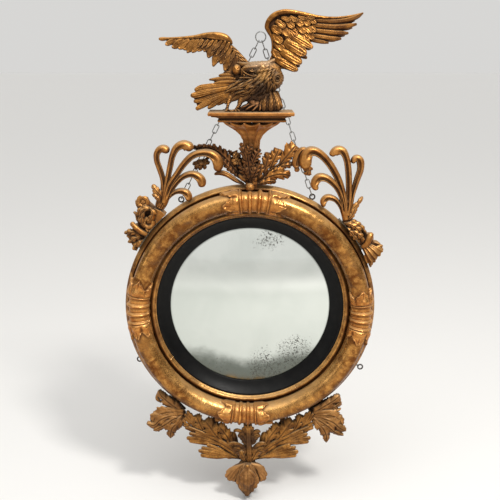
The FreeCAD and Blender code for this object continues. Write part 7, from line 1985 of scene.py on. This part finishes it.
# ---------------------------------------------------------------- floor, light, camera
fm = NT("plain_floor")
fm.bsdf(col(0.84, 0.833, 0.816), 0.9, spec=0.1)
bpy.ops.mesh.primitive_plane_add(size=1, location=(0, 0, -0.5130))
floor = bpy.context.object
floor.name = "floor"
floor.scale = (90, 90, 1)
floor.data.materials.append(fm.mat)

# plain soft studio light: bright behind and in front, dimmer at the sides
world = bpy.data.worlds.new("studio")
bpy.context.scene.world = world
world.use_nodes = True
wt = world.node_tree
wt.nodes.clear()
wo = wt.nodes.new("ShaderNodeOutputWorld")
bg = wt.nodes.new("ShaderNodeBackground")
tc = wt.nodes.new("ShaderNodeTexCoord")
sp = wt.nodes.new("ShaderNodeSeparateXYZ")
wt.links.new(tc.outputs["Generated"], sp.inputs[0])


def wmap(val, a, b, c, d):
    m = wt.nodes.new("ShaderNodeMapRange")
    m.interpolation_type = "SMOOTHSTEP"
    wt.links.new(val, m.inputs["Value"])
    for k, q in (("From Min", a), ("From Max", b), ("To Min", c), ("To Max", d)):
        m.inputs[k].default_value = q
    return m.outputs["Result"]


def wmath(op, a, b):
    m = wt.nodes.new("ShaderNodeMath")
    m.operation = op
    wt.links.new(a, m.inputs[0])
    if isinstance(b, bpy.types.NodeSocket):
        wt.links.new(b, m.inputs[1])
    else:
        m.inputs[1].default_value = b
    return m.outputs[0]


back = wmap(sp.outputs["Y"], 0.10, 0.50, 0.0, 0.620)
front = wmap(sp.outputs["Y"], -0.94, -0.80, 0.69, 0.0)
above = wmap(sp.outputs["Z"], 0.30, 0.90, 0.0, 0.55)
lit = wmath("ADD", wmath("MAXIMUM", wmath("MAXIMUM", back, front), above), 0.06)
mixc = wt.nodes.new("ShaderNodeCombineColor")
wt.links.new(lit, mixc.inputs[0])
wt.links.new(wmath("MULTIPLY", lit, 0.992), mixc.inputs[1])
wt.links.new(wmath("MULTIPLY", lit, 0.972), mixc.inputs[2])
wt.links.new(mixc.outputs[0], bg.inputs["Color"])
bg.inputs["Strength"].default_value = 1.0
wt.links.new(bg.outputs[0], wo.inputs[0])


def lamp(name, loc, aim, size, power, tint=(1, 1, 1)):
    d = bpy.data.lights.new(name, "AREA")
    d.shape, d.size, d.size_y = "RECTANGLE", size[0], size[1]
    d.energy, d.color = power, tint
    o = bpy.data.objects.new(name, d)
    bpy.context.scene.collection.objects.link(o)
    o.location = loc
    o.rotation_euler = (Vector(aim) - Vector(loc)).to_track_quat("-Z", "Y").to_euler()
    return o


lamp("key", (1.3, -2.2, 2.9), (0, 0, 0.1), (0.60, 0.60), 92.0, (1.0, 0.975, 0.94))
lamp("fill", (-2.6, -2.0, 0.9), (0, 0, 0.0), (0.8, 1.6), 8.0, (0.97, 0.985, 1.0))
sun = bpy.data.lights.new("soft_sun", "SUN")
sun.energy, sun.angle = 1.0, math.radians(50)
so = bpy.data.objects.new("soft_sun", sun)
bpy.context.scene.collection.objects.link(so)
so.rotation_euler = (math.radians(22), math.radians(-6), 0)

cam_data = bpy.data.cameras.new("camera")
cam = bpy.data.objects.new("camera", cam_data)
bpy.context.scene.collection.objects.link(cam)
cam.location = (0.0, CAM[1] / 1000.0, CAM[2] / 1000.0)
cam.rotation_euler = (math.pi / 2 - PITCH, 0.0, 0.0)
cam_data.sensor_width = 36.0
cam_data.lens = F_PX / 500.0 * 36.0
bpy.context.scene.camera = cam
bpy.context.scene.view_settings.view_transform = "Standard"
